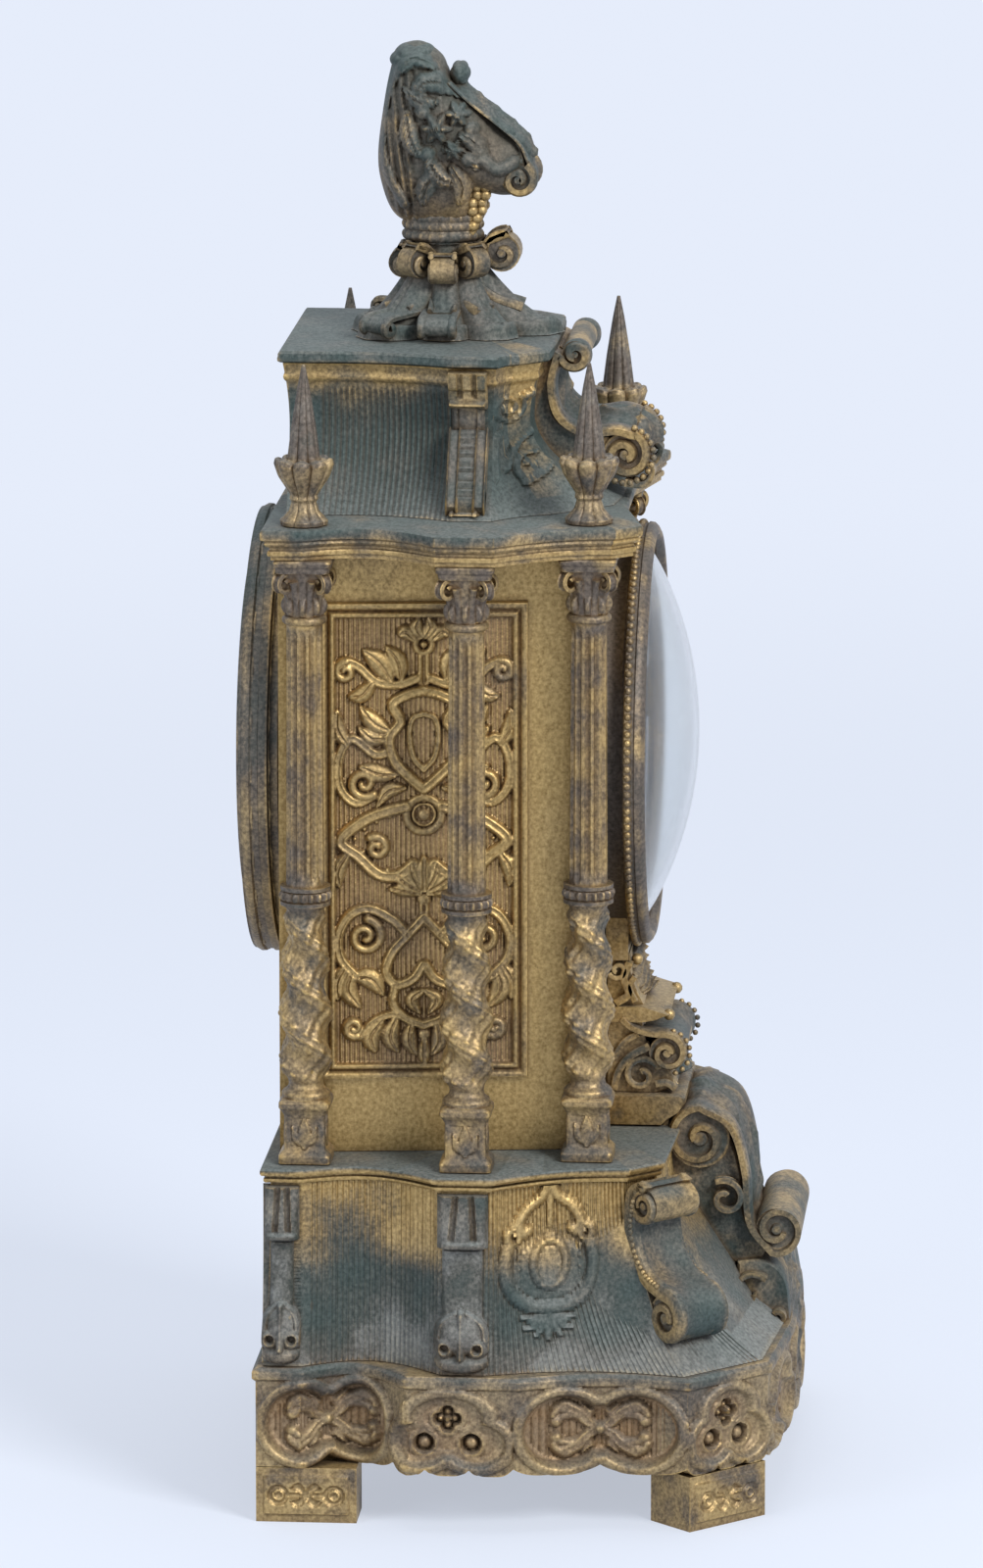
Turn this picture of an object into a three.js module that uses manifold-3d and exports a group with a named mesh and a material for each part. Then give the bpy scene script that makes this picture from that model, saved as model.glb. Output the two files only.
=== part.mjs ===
// Bronze mantel clock: a columned case on a flared base, a ribbed roof with a crest, a round striking movement.
// Millimetres, +Z up, the dial faces -Y. Depth is measured forward from the back face of the case.
import * as THREE from "three";
import { mergeVertices } from "three/addons/utils/BufferGeometryUtils.js";
import Module from "manifold-3d";

const wasm = await Module();
wasm.setup();

// Heights of the storeys, from the table up
const FOOT_HEIGHT = 17.5;
const PLINTH_HEIGHT = 31.5;
const CAVETTO_HEIGHT = 61;
const APRON_HEIGHT = 18;
const APRON_HALF = 64;
const APRON_FRONT_HALF = 26;
const APRON_SIDE_SETBACK = 14;
const APRON_FRONT_SETBACK = 4;
const PLATFORM_THICKNESS = 5;
const COLUMN_HEIGHT = 188;
const ENTABLATURE_HEIGHT = 10;
const ROOF_HEIGHT = 44;
const CAP_HEIGHT = 4;
const FOLIAGE_HEIGHT = 32;
const CARTOUCHE_HEIGHT = 58;

// Where the columns stand: half the width of the clock, and depth
const REAR_COLUMN_X = 77;
const REAR_COLUMN_DEPTH = 9;
const MID_COLUMN_X = 84;
const MID_COLUMN_SETBACK = 38;
const FRONT_COLUMN_X = 67;
const FRONT_COLUMN_SETBACK = 2;
const SHAFT_RADIUS = 5.9;
const PEDESTAL_HALF = 8;
const PEDESTAL_HEIGHT = 20;
const TWIST_HEIGHT = 60;
const CAPITAL_HEIGHT = 18;
const ABACUS_HALF = 9;
const COLUMN_SIDES = 10;
const ROUND_SIDES = 28;

// Case walls
const CASE_DEPTH = 97;
const CASE_REAR_HALF = 68;
const CASE_FRONT_HALF = 56.5;
const CASE_WALL = 3;
const BASE_WALL = 5;
const PANEL_WIDTH = 64;
const PANEL_HEIGHT = 149;
const PANEL_THICKNESS = 2;
const PANEL_BORDER = 4.5;
const PANEL_RELIEF = 1;
const STRAP_HALF = 6.6;
const REAR_STRAP_HALF = 4.2;
const STRAP_RISE = 2.4;
const BRACKET_HALF = 10;
const BRACKET_SHIFT = 6.5;
const BRACKET_REACH = 36;
const BRACKET_THICKNESS = 6;
const BRACKET_HEAD_RADIUS = 6;
const BRACKET_FOOT_RADIUS = 8;
const BADGE_HALF = 13;
const BADGE_RISE = 1.8;
const FOOT_LENGTH = 31;
const FOOT_WIDTH = 18;
const PLINTH_FILLET = 4;
const PLINTH_LIP = 1.2;
const CONSOLE_HALF = 27;
const CONSOLE_RUN = 29;
const CONSOLE_FOOT_RADIUS = 8;
const CONSOLE_SCROLL_RADIUS = 9.5;
const STAGE_HALF = 24;
const STAGE_REACH = 22;
const STAGE_GAP = 1.5;

// Roof and crest
const ROOF_WALL = 5;
const GABLE_HALF = 25;
const GABLE_OVERHANG = 12;
const GABLE_THROAT = 28.5;
const GABLE_VOLUTE_RADIUS = 7.5;
const GABLE_ROLL_RADIUS = 4.8;
const CREST_DEPTH = 46;
const CREST_NECK_RADIUS = 8;
const FOLIAGE_RADIUS = 33;
const CARTOUCHE_HALF_WIDTH = 19;
const TIE_ROD_RADIUS = 2.5;
const TIE_NUT_RADIUS = 5.5;
const TIE_NUT_HEIGHT = 5;
const SPIRE_HEIGHT = 50;
const SPIRE_RADIUS = 8.4;

// Round openings, dial and doors
const MOVEMENT_DROP = 68;
const DRUM_RADIUS = 58.5;
const DRUM_FRONT = 8;
const DRUM_WALL = 3;
const SPIGOT_RADIUS = 52.7;
const FLANGE_INNER_RADIUS = 43;
const LEDGE_RADIUS = 50;
const DIAL_THICKNESS = 1.5;
const BEZEL_BORDER = 5.2;
const BEZEL_THICKNESS = 4.2;
const GLASS_RADIUS = 60.3;
const GLASS_THICKNESS = 1.8;
const GLASS_RISE = 15.5;
const BACK_RING_RADIUS = 67;
const BACK_OPENING_RADIUS = 60;
const BACK_DOOR_RADIUS = 69.5;
const BACK_DOOR_DEPTH = 8.5;
const HINGE_PIN_RADIUS = 1.2;
const HINGE_BARREL_RADIUS = 2.3;
const HINGE_LENGTH = 15;
const HOUR_HAND_LENGTH = 31;
const MINUTE_HAND_LENGTH = 46;

// Movement
const PLATE_RADIUS = 46;
const PLATE_THICKNESS = 2;
const PLATE_GAP = 38;
const PILLAR_RADIUS = 3;
const BARREL_X = 21.5;
const BARREL_DROP = 11;
const BARREL_RADIUS = 18.3;
const BARREL_TEETH = 48;
const BARREL_MODULE = 0.84;
const SECOND_LEAVES = 8;
const SECOND_TEETH = 48;
const SECOND_MODULE = 0.62;
const CENTRE_LEAVES = 8;
const TRAIN_TEETH = 72;
const TRAIN_LEAVES = 6;
const CENTRE_MODULE = 0.4;
const THIRD_MODULE = 0.36;
const THIRD_ANGLE = 120;
const PIN_ANGLE = 100;
const PIN_MODULE = 0.5;
const FLY_ANGLE = 75;
const FLY_LEAVES = 6;
const ESCAPE_TEETH = 36;
const ESCAPE_RADIUS = 9;
const CANNON_LEAVES = 8;
const MINUTE_TEETH = 24;
const MINUTE_MODULE = 0.6;
const MINUTE_LEAVES = 8;
const HOUR_TEETH = 32;
const ARBOR_RADIUS = 1.1;
const PIVOT_RADIUS = 0.8;
const WINDING_RADIUS = 2.2;
const PENDULUM_ROOM = 12.6;
const RATING_NUT_DROP = 7;
const BOB_RADIUS = 17;
const BELL_RADIUS = 33;
const BELL_HEIGHT = 21;
const HAMMER_X = -28;
const HAMMER_Z = -33.5;
const STRAP_X = 49.3;

// Clearances
const SEAT = 0.2;
const RUN = 0.2;
const WELD = 1e-4;

const bronze = new THREE.MeshStandardMaterial({ color: 0xa88442, roughness: 0.45, metalness: 0.9 });
const verdigris = new THREE.MeshStandardMaterial({ color: 0x3d4f48, roughness: 0.6, metalness: 0.7 });
const brass = new THREE.MeshStandardMaterial({ color: 0xc9a552, roughness: 0.35, metalness: 0.95 });
const steel = new THREE.MeshStandardMaterial({ color: 0x7d838a, roughness: 0.3, metalness: 1 });
const enamel = new THREE.MeshStandardMaterial({ color: 0xf3efe4, roughness: 0.25, metalness: 0 });
const crystal = new THREE.MeshStandardMaterial({
  color: 0xe8f1f5, roughness: 0.05, metalness: 0, transparent: true, opacity: 0.35,
});

const plinthZ = FOOT_HEIGHT;
const cavettoZ = plinthZ + PLINTH_HEIGHT;
const platformZ = cavettoZ + CAVETTO_HEIGHT;
const entablatureZ = platformZ + COLUMN_HEIGHT;
const roofZ = entablatureZ + ENTABLATURE_HEIGHT;
const capZ = roofZ + ROOF_HEIGHT;
const crestZ = capZ + CAP_HEIGHT;
const cartoucheZ = crestZ + FOLIAGE_HEIGHT;
const axisZ = entablatureZ - MOVEMENT_DROP;
const midColumnDepth = CASE_DEPTH - MID_COLUMN_SETBACK;
const frontColumnDepth = CASE_DEPTH - FRONT_COLUMN_SETBACK;
const bezelRadius = GLASS_RADIUS + BEZEL_BORDER;

const radians = THREE.MathUtils.degToRad;
const clock = new THREE.Group();
clock.name = "bronze_mantel_clock";

function weld(geometry) {
  const bare = new THREE.BufferGeometry();
  bare.setAttribute("position", geometry.getAttribute("position"));
  if (geometry.index) bare.setIndex(geometry.index);
  return mergeVertices(bare, WELD);
}

function solid(geometry) {
  const welded = geometry.userData.welded ? geometry : weld(geometry);
  const spots = welded.getAttribute("position").array;
  const index = welded.index.array;
  const corners = [];
  let volume = 0;
  for (let i = 0; i < index.length; i += 3) {
    const [a, b, c] = [index[i], index[i + 1], index[i + 2]];
    if (a === b || b === c || c === a) continue;
    corners.push(a, b, c);
    const [p, q, r] = [a, b, c].map((k) => new THREE.Vector3().fromArray(spots, 3 * k));
    volume += p.dot(q.cross(r));
  }
  if (volume < 0) corners.reverse();
  return new wasm.Manifold(new wasm.Mesh({
    numProp: 3,
    vertProperties: new Float32Array(spots),
    triVerts: new Uint32Array(corners),
  }));
}

function skin(made) {
  const mesh = made.getMesh();
  const geometry = new THREE.BufferGeometry();
  geometry.setAttribute("position", new THREE.Float32BufferAttribute(mesh.vertProperties, 3));
  geometry.setIndex(new THREE.Uint32BufferAttribute(mesh.triVerts, 1));
  geometry.computeVertexNormals();
  geometry.userData.welded = true;
  return geometry;
}

function unite(first, ...others) {
  return skin(others.reduce((made, piece) => made.add(solid(piece)), solid(first)));
}

function cut(first, ...others) {
  return skin(others.reduce((made, piece) => made.subtract(solid(piece)), solid(first)));
}

function add(name, geometry, look) {
  const mesh = new THREE.Mesh(skin(solid(geometry)), look);
  mesh.name = name;
  clock.add(mesh);
}

// A box by its limits across, in depth and in height
function block(x0, x1, depth0, depth1, z0, z1) {
  const box = new THREE.BoxGeometry(x1 - x0, depth1 - depth0, z1 - z0);
  return box.translate((x0 + x1) / 2, -(depth0 + depth1) / 2, (z0 + z1) / 2);
}

// Rings of equal count joined into one closed body
function joinRings(rings) {
  const count = rings[0].length;
  const spots = rings.flat().flatMap((p) => [p.x, p.y, p.z]);
  const faces = [];
  for (let i = 0; i + 1 < rings.length; i += 1) {
    for (let j = 0; j < count; j += 1) {
      const a = i * count + j;
      const b = i * count + (j + 1) % count;
      faces.push(a, b, b + count, a, b + count, a + count);
    }
  }
  const flat = (ring) => ring.map((p) => new THREE.Vector2(p.x, p.y));
  const last = (rings.length - 1) * count;
  THREE.ShapeUtils.triangulateShape(flat(rings[0]), []).forEach(([a, b, c]) => faces.push(c, b, a));
  THREE.ShapeUtils.triangulateShape(flat(rings.at(-1)), []).forEach(([a, b, c]) => {
    faces.push(last + a, last + b, last + c);
  });
  const geometry = new THREE.BufferGeometry();
  geometry.setAttribute("position", new THREE.Float32BufferAttribute(spots, 3));
  geometry.setIndex(faces);
  return geometry;
}

function loft(levels) {
  return joinRings(levels.map(({ plan, z }) => plan.map((p) => new THREE.Vector3(p.x, p.y, z))));
}

// A lobed, twisted or plain turned body on a vertical axis. Rows: height, radius, lobe share, lobes, turn.
function turned(rows, sides) {
  return joinRings(rows.map(([z, radius, share = 0, lobes = 0, turn = 0]) => {
    return Array.from({ length: sides }, (_, k) => {
      const angle = (2 * Math.PI * k) / sides;
      const reach = radius * (1 + share * Math.cos(lobes * angle - turn));
      return new THREE.Vector3(reach * Math.cos(angle), reach * Math.sin(angle), z);
    });
  }));
}

// A body turned on the axis of the dial. Points: radius, depth.
function spun(points, sides) {
  const outline = points.map(([radius, depth]) => new THREE.Vector2(radius, depth));
  const lathe = new THREE.LatheGeometry(outline, sides);
  return lathe.rotateX(Math.PI).translate(0, 0, axisZ);
}

// A flat shape, drawn as the front view, between two depths
function slab(shape, depth0, depth1) {
  const geometry = new THREE.ExtrudeGeometry(shape, { depth: depth1 - depth0, bevelEnabled: false, curveSegments: 6 });
  return geometry.rotateX(Math.PI / 2).translate(0, -depth0, 0);
}

// A side profile of depth and height, drawn out across the clock
function profile(points, half) {
  const shape = new THREE.Shape(points.map(([depth, z]) => new THREE.Vector2(depth, z)));
  const geometry = new THREE.ExtrudeGeometry(shape, { depth: 2 * half, bevelEnabled: false });
  geometry.rotateX(Math.PI / 2).rotateZ(-Math.PI / 2);
  return geometry.translate(half, 0, 0);
}

function rim(radius, sides, x = 0, z = 0, start = 0) {
  return Array.from({ length: sides }, (_, k) => {
    const angle = start + (2 * Math.PI * k) / sides;
    return new THREE.Vector2(x + radius * Math.cos(angle), z + radius * Math.sin(angle));
  });
}

function arc(depth, z, radius, from, to, steps) {
  return Array.from({ length: steps + 1 }, (_, k) => {
    const angle = radians(from + ((to - from) * k) / steps);
    return [depth + radius * Math.cos(angle), z + radius * Math.sin(angle)];
  });
}

// A round bar along depth, at a place on the movement
function bar(radius, x, z, depth0, depth1, sides = 8) {
  return slab(new THREE.Shape(rim(radius, sides, x, axisZ + z)), depth0, depth1);
}

// Pointed clock teeth. Pinion leaves stand on flat roots, wheel teeth meet in a point.
function toothed(teeth, module, phase, x, z) {
  const pitch = (2 * Math.PI) / teeth;
  const root = (module * teeth) / 2 - 1.1 * module;
  const tip = (module * teeth) / 2 + 0.8 * module;
  const points = [];
  for (let k = 0; k < teeth; k += 1) {
    const middle = phase + k * pitch;
    const flank = teeth < 12 ? [[root, -0.28], [tip, 0], [root, 0.28]] : [[root, -0.5], [tip, 0]];
    flank.forEach(([radius, share]) => {
      const angle = middle + share * pitch;
      points.push(new THREE.Vector2(x + radius * Math.cos(angle), axisZ + z + radius * Math.sin(angle)));
    });
  }
  return new THREE.Shape(points);
}

// Phase that sets the teeth of a follower into the gaps of its driver
function meshed(driver, driverTeeth, driverPhase, follower, followerTeeth) {
  const line = Math.atan2(follower.y - driver.y, follower.x - driver.x);
  const share = ((line - driverPhase) * driverTeeth) / (2 * Math.PI);
  return line + Math.PI - ((0.5 - share) * 2 * Math.PI) / followerTeeth;
}

function centres(module, first, second) {
  return (module * (first + second)) / 2;
}

function polar(from, distance, degrees) {
  const angle = radians(degrees);
  return new THREE.Vector2(from.x + distance * Math.cos(angle), from.y + distance * Math.sin(angle));
}

// Plan of a storey: rear pier, hollow, middle pier, hollow, front corner, cant and bowed front
function storeyPlan({ side, rear, corner, cant, bow, bowHalf, pier, hollow }) {
  const rearHalf = REAR_COLUMN_X + side;
  const midHalf = MID_COLUMN_X + side;
  const cornerHalf = FRONT_COLUMN_X + corner;
  const rearDepth = REAR_COLUMN_DEPTH - rear;
  const cornerDepth = frontColumnDepth + corner;
  const cantHalf = cornerHalf - cant * Math.SQRT1_2;
  const cantDepth = cornerDepth + cant * Math.SQRT1_2;
  const half = [[rearHalf, rearDepth], [rearHalf, REAR_COLUMN_DEPTH]];
  const bay = (from, to, sink) => {
    for (let k = 1; k < 5; k += 1) {
      const share = k / 5;
      const x = THREE.MathUtils.lerp(from[0], to[0], share) - sink * Math.sin(Math.PI * share);
      half.push([x, THREE.MathUtils.lerp(from[1], to[1], share)]);
    }
  };
  bay([rearHalf, REAR_COLUMN_DEPTH], [midHalf, midColumnDepth - pier], hollow);
  half.push([midHalf, midColumnDepth - pier], [midHalf, midColumnDepth + pier]);
  bay([midHalf, midColumnDepth + pier], [cornerHalf, cornerDepth], 0.5 * hollow);
  half.push([cornerHalf, cornerDepth], [cantHalf, cantDepth], [bowHalf, cantDepth + bow]);
  const left = half.map(([x, depth]) => new THREE.Vector2(-x, -depth));
  const right = half.map(([x, depth]) => new THREE.Vector2(x, -depth)).reverse();
  return [...left, ...right];
}

function inset(plan, distance) {
  return plan.map((point, k) => {
    const before = point.clone().sub(plan.at(k - 1)).normalize();
    const after = plan[(k + 1) % plan.length].clone().sub(point).normalize();
    const first = new THREE.Vector2(-before.y, before.x);
    const second = new THREE.Vector2(-after.y, after.x);
    const share = distance / (1 + first.dot(second));
    return point.clone().add(first.add(second).multiplyScalar(share));
  });
}

function blend(from, to, share) {
  return from.map((point, k) => point.clone().lerp(to[k], share));
}

const bandPlan = storeyPlan({
  side: 20, rear: 14, corner: 33, cant: 33, bow: 4.5, bowHalf: 28, pier: 17, hollow: 12,
});
const platformPlan = storeyPlan({
  side: 14, rear: 13, corner: 14, cant: 14, bow: 2, bowHalf: 28, pier: 10, hollow: 9,
});
const entablaturePlan = storeyPlan({
  side: 10, rear: 12, corner: 9, cant: 10, bow: -7, bowHalf: 36, pier: 9, hollow: 9,
});
const roofFootPlan = storeyPlan({
  side: -16, rear: 7, corner: -13, cant: 26, bow: 2, bowHalf: 18, pier: 6, hollow: 5,
});
const roofNeckPlan = storeyPlan({
  side: -38, rear: 8, corner: -27, cant: 9, bow: 1, bowHalf: 18, pier: 5, hollow: 3,
});
const capPlan = storeyPlan({
  side: -33, rear: 11, corner: -23, cant: 12, bow: 1, bowHalf: 18, pier: 7, hollow: 3,
});

// Feet: blocks under the rear corners and under the canted front corners
const bandRearHalf = -bandPlan[0].x;
const bandRearDepth = -bandPlan[0].y;
const [bandCorner, bandCant, bandBow] = bandPlan.slice(12, 15);
const cantMiddle = bandCorner.clone().lerp(bandCant, 0.5);
[[-1, "left"], [1, "right"]].forEach(([hand, word]) => {
  const rearFoot = block(
    bandRearHalf - FOOT_WIDTH, bandRearHalf, bandRearDepth, bandRearDepth + FOOT_LENGTH, 0, plinthZ - SEAT,
  );
  add(`foot_rear_${word}`, rearFoot.scale(hand, 1, 1), bronze);
  const frontFoot = new THREE.BoxGeometry(FOOT_WIDTH, FOOT_LENGTH, plinthZ - SEAT);
  frontFoot.translate(-FOOT_WIDTH / 2, 0, (plinthZ - SEAT) / 2).rotateZ(-Math.PI / 4);
  frontFoot.translate(-cantMiddle.x, cantMiddle.y, 0);
  add(`foot_front_${word}`, frontFoot.scale(hand, 1, 1), bronze);
});

// Base: panelled plinth, hollow inside, with a fillet along its top
const filletZ = cavettoZ - PLINTH_FILLET;
const bandLip = inset(bandPlan, -PLINTH_LIP);
const bandHollow = inset(bandPlan, BASE_WALL);
add("base_plinth", cut(
  loft([
    { plan: bandPlan, z: plinthZ },
    { plan: bandPlan, z: filletZ },
    { plan: bandLip, z: filletZ },
    { plan: bandLip, z: cavettoZ - SEAT },
  ]),
  loft([{ plan: bandHollow, z: plinthZ - 1 }, { plan: bandHollow, z: cavettoZ + 1 }]),
), bronze);

// Flared cavetto with the platform that carries the columns, and a bowed apron block on its front
const cavettoTop = platformZ - PLATFORM_THICKNESS;
const cavettoFoot = inset(bandPlan, 2);
const cavettoNeck = inset(platformPlan, 3);
const flare = [0, 0.14, 0.34, 0.62, 1];
const cavettoLevels = flare.map((share) => ({
  plan: blend(cavettoNeck, cavettoFoot, (1 - share) ** 2.4),
  z: THREE.MathUtils.lerp(cavettoZ, cavettoTop, share),
}));
const cavettoBody = loft([
  ...cavettoLevels,
  { plan: platformPlan, z: cavettoTop },
  { plan: platformPlan, z: platformZ - SEAT },
]);
const cavettoHollow = loft([
  { plan: inset(cavettoLevels[0].plan, BASE_WALL), z: cavettoZ - 1 },
  ...cavettoLevels.slice(1).map(({ plan, z }) => ({ plan: inset(plan, BASE_WALL), z: z - BASE_WALL })),
]);
const apronFront = -bandBow.y;
const apronSide = -bandCant.y;
const apronTop = cavettoZ + APRON_HEIGHT;
const apronHalf = [
  [APRON_HALF, CASE_DEPTH], [APRON_HALF, apronSide - APRON_SIDE_SETBACK],
  [APRON_FRONT_HALF, apronFront - APRON_FRONT_SETBACK],
];
const apron = new THREE.Shape([
  ...apronHalf.map(([x, depth]) => new THREE.Vector2(-x, -depth)),
  ...apronHalf.map(([x, depth]) => new THREE.Vector2(x, -depth)).reverse(),
]);
const apronBlock = new THREE.ExtrudeGeometry(apron, { depth: APRON_HEIGHT, bevelEnabled: false });

// Cast on the cavetto: straps under the columns, a badge in each front bay, a scrolled bracket on each cant
const cavettoAt = (share) => ({
  plan: blend(cavettoNeck, cavettoFoot, (1 - share) ** 2.4),
  z: THREE.MathUtils.lerp(cavettoZ, cavettoTop, share),
});
function sideAt(plan, depth) {
  const k = plan.findIndex((point) => -point.y >= depth);
  const [from, to] = [plan[k - 1], plan[k]];
  return THREE.MathUtils.lerp(from.x, to.x, (depth + from.y) / (from.y - to.y));
}
function castOn(depth, rows) {
  return loft(rows.map(([share, rise, half]) => {
    const { plan, z } = cavettoAt(share);
    const spots = [depth - half, depth, depth + half];
    const front = spots.map((at) => new THREE.Vector2(sideAt(plan, at) - rise, -at));
    const back = spots.map((at) => new THREE.Vector2(sideAt(plan, at) + BASE_WALL / 2, -at)).reverse();
    return { plan: [...front, ...back], z };
  }));
}
const strapRows = (half) => [
  [0.01, 1.9 * STRAP_RISE, 1.15 * half], [0.13, 2 * STRAP_RISE, 1.2 * half], [0.3, STRAP_RISE, half],
  [0.68, STRAP_RISE, half], [0.7, 1.5 * STRAP_RISE, 1.2 * half], [0.98, 1.3 * STRAP_RISE, 1.1 * half],
];
const badgeRows = [
  [0.2, 0.2], [0.36, 0.8], [0.6, 1], [0.78, 0.85], [0.98, 0.1],
].map(([share, wide]) => [share, BADGE_RISE, wide * BADGE_HALF]);
const bayMiddle = (midColumnDepth + frontColumnDepth + STRAP_HALF + REAR_COLUMN_DEPTH) / 2;
function stripe(points, half) {
  const side = (hand) => points.map(([a, b], k) => {
    const before = points[Math.max(k - 1, 0)];
    const after = points[Math.min(k + 1, points.length - 1)];
    const run = new THREE.Vector2(after[0] - before[0], after[1] - before[1]).normalize();
    return [a - hand * half * run.y, b + hand * half * run.x];
  });
  return [...side(1), ...side(-1).reverse()];
}
const bracketSpot = (out, rise) => [out * BRACKET_REACH, THREE.MathUtils.lerp(cavettoZ, cavettoTop, rise)];
const bracketRun = [
  [0.66, 0.97], [0.55, 0.93], [0.515, 0.79], [0.57, 0.63], [0.71, 0.49], [0.93, 0.42],
].map(([out, rise]) => bracketSpot(out, rise));
const bracket = unite(
  profile(stripe(bracketRun, BRACKET_THICKNESS / 2), BRACKET_HALF),
  profile(arc(...bracketSpot(0.72, 0.89), BRACKET_HEAD_RADIUS, 0, 324, 9), BRACKET_HALF),
  profile(arc(...bracketSpot(1, 0.295), BRACKET_FOOT_RADIUS, 0, 324, 9), BRACKET_HALF),
);
bracket.rotateZ(-Math.PI / 4).translate(BRACKET_SHIFT - FRONT_COLUMN_X, -frontColumnDepth - BRACKET_SHIFT, 0);
const castOnLeft = [
  castOn(midColumnDepth, strapRows(STRAP_HALF)),
  castOn(REAR_COLUMN_DEPTH, strapRows(REAR_STRAP_HALF)),
  castOn(bayMiddle, badgeRows),
  bracket,
];
const castOnRight = castOnLeft.map((piece) => piece.clone().scale(-1, 1, 1));
add("base_cavetto", unite(
  cut(unite(cavettoBody, apronBlock.translate(0, 0, cavettoZ)), cavettoHollow), ...castOnLeft, ...castOnRight,
), verdigris);

// Scrolled console that stands on the apron
const cavettoRoom = loft([
  { plan: inset(cavettoFoot, -SEAT), z: cavettoZ - 1 },
  ...cavettoLevels.slice(0, -1).map(({ plan, z }) => ({ plan: inset(plan, -2 * SEAT), z: z + SEAT })),
  { plan: inset(cavettoNeck, -2 * SEAT), z: cavettoTop - SEAT },
  { plan: inset(platformPlan, -SEAT), z: cavettoTop - SEAT },
  { plan: inset(platformPlan, -SEAT), z: platformZ },
]);
const consoleHeight = cavettoTop - apronTop;
const consoleSpot = (back, rise) => [apronFront - back * CONSOLE_RUN, apronTop + rise * consoleHeight];
const [scrollDepth, scrollZ] = consoleSpot(0.9, 1);
const [curlDepth, curlZ] = consoleSpot(0.2, 0.25);
const consoleOutline = [
  [CASE_DEPTH, apronTop + SEAT],
  [apronFront - 0.28 * CONSOLE_RUN, apronTop + SEAT],
  ...arc(curlDepth, curlZ, CONSOLE_FOOT_RADIUS, -70, 120, 7),
  consoleSpot(0.52, 0.34), consoleSpot(0.79, 0.4), consoleSpot(1, 0.58),
  ...arc(scrollDepth, scrollZ, CONSOLE_SCROLL_RADIUS, -120, 170, 10),
  [CASE_DEPTH, cavettoTop],
];
add("front_console", cut(profile(consoleOutline, CONSOLE_HALF), cavettoRoom), verdigris);

// Case: four walls, narrower at the front, pierced for the movement
const wallPlan = (margin) => [
  new THREE.Vector2(-(CASE_REAR_HALF - margin), -margin),
  new THREE.Vector2(-(CASE_FRONT_HALF - margin), -(CASE_DEPTH - margin)),
  new THREE.Vector2(CASE_FRONT_HALF - margin, -(CASE_DEPTH - margin)),
  new THREE.Vector2(CASE_REAR_HALF - margin, -margin),
];
const outerWall = wallPlan(0);
const innerWall = wallPlan(CASE_WALL);
add("case_shell", cut(
  loft([{ plan: outerWall, z: platformZ }, { plan: outerWall, z: entablatureZ - SEAT }]),
  loft([{ plan: innerWall, z: platformZ - 1 }, { plan: innerWall, z: entablatureZ + 1 }]),
  spun([[0, -1], [BACK_OPENING_RADIUS, -1], [BACK_OPENING_RADIUS, CASE_WALL + 1], [0, CASE_WALL + 1]], ROUND_SIDES),
  spun([
    [0, CASE_DEPTH - CASE_WALL - 1], [SPIGOT_RADIUS + RUN, CASE_DEPTH - CASE_WALL - 1],
    [SPIGOT_RADIUS + RUN, CASE_DEPTH + 1], [0, CASE_DEPTH + 1],
  ], ROUND_SIDES),
), bronze);

// Framed ornamental panels on the side walls
const wallTaper = Math.atan2(CASE_REAR_HALF - CASE_FRONT_HALF, CASE_DEPTH);
const panelMiddle = 0.455 * CASE_DEPTH;
const scrollLines = [
  [[0, 0.642], [0.3, 0.584], [0.225, 0.513], [0.33, 0.443], [0.144, 0.282], [0, 0.228]],
  [[0.06, 0.69], [0.45, 0.678], [0.73, 0.765], [0.83, 0.71], [0.72, 0.685]],
  [[0.31, 0.39], [0.69, 0.443], [0.81, 0.32], [0.66, 0.17], [0.47, 0.2]],
  [[0.175, 0.154], [0.59, 0.094], [0.8, 0.013], [0.44, -0.128], [0.1, -0.087]],
  [[0.156, -0.383], [0.53, -0.271], [0.825, -0.39], [0.656, -0.557]],
  [[0, -0.31], [0.306, -0.456], [0.27, -0.593], [0.3, -0.67], [0, -0.765]],
  [[0.094, -0.75], [0.47, -0.744], [0.625, -0.812]],
];
const panelScrolls = [1, -1].flatMap((hand) => scrollLines.map((line) => {
  const spots = line.map(([across, up]) => [hand * across * 0.5 * PANEL_WIDTH, up * 0.5 * PANEL_HEIGHT]);
  return profile(stripe(spots, 0.35 * PANEL_BORDER), 0.5 * PANEL_RELIEF).translate(0.5 * PANEL_RELIEF, 0, 0);
}));
panelScrolls.push(
  profile(arc(0, 0.06 * PANEL_HEIGHT, 0.1 * PANEL_WIDTH, 0, 324, 9), 0.5 * PANEL_RELIEF).translate(0.5 * PANEL_RELIEF, 0, 0),
);
const panelX = THREE.MathUtils.lerp(CASE_REAR_HALF, CASE_FRONT_HALF, panelMiddle / CASE_DEPTH);
[[-1, "left"], [1, "right"]].forEach(([hand, word]) => {
  const sheet = new THREE.BoxGeometry(PANEL_THICKNESS, PANEL_WIDTH, PANEL_HEIGHT);
  const field = new THREE.BoxGeometry(
    PANEL_THICKNESS, PANEL_WIDTH - 2 * PANEL_BORDER, PANEL_HEIGHT - 2 * PANEL_BORDER,
  );
  const panel = unite(cut(sheet, field.translate(0.6 * PANEL_THICKNESS, 0, 0)), ...panelScrolls);
  panel.translate(PANEL_THICKNESS / 2 + SEAT, 0, 0).rotateZ(-wallTaper);
  panel.translate(panelX, -panelMiddle, platformZ + 0.52 * COLUMN_HEIGHT).scale(hand, 1, 1);
  add(`side_panel_${word}`, panel, brass);
});

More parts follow.
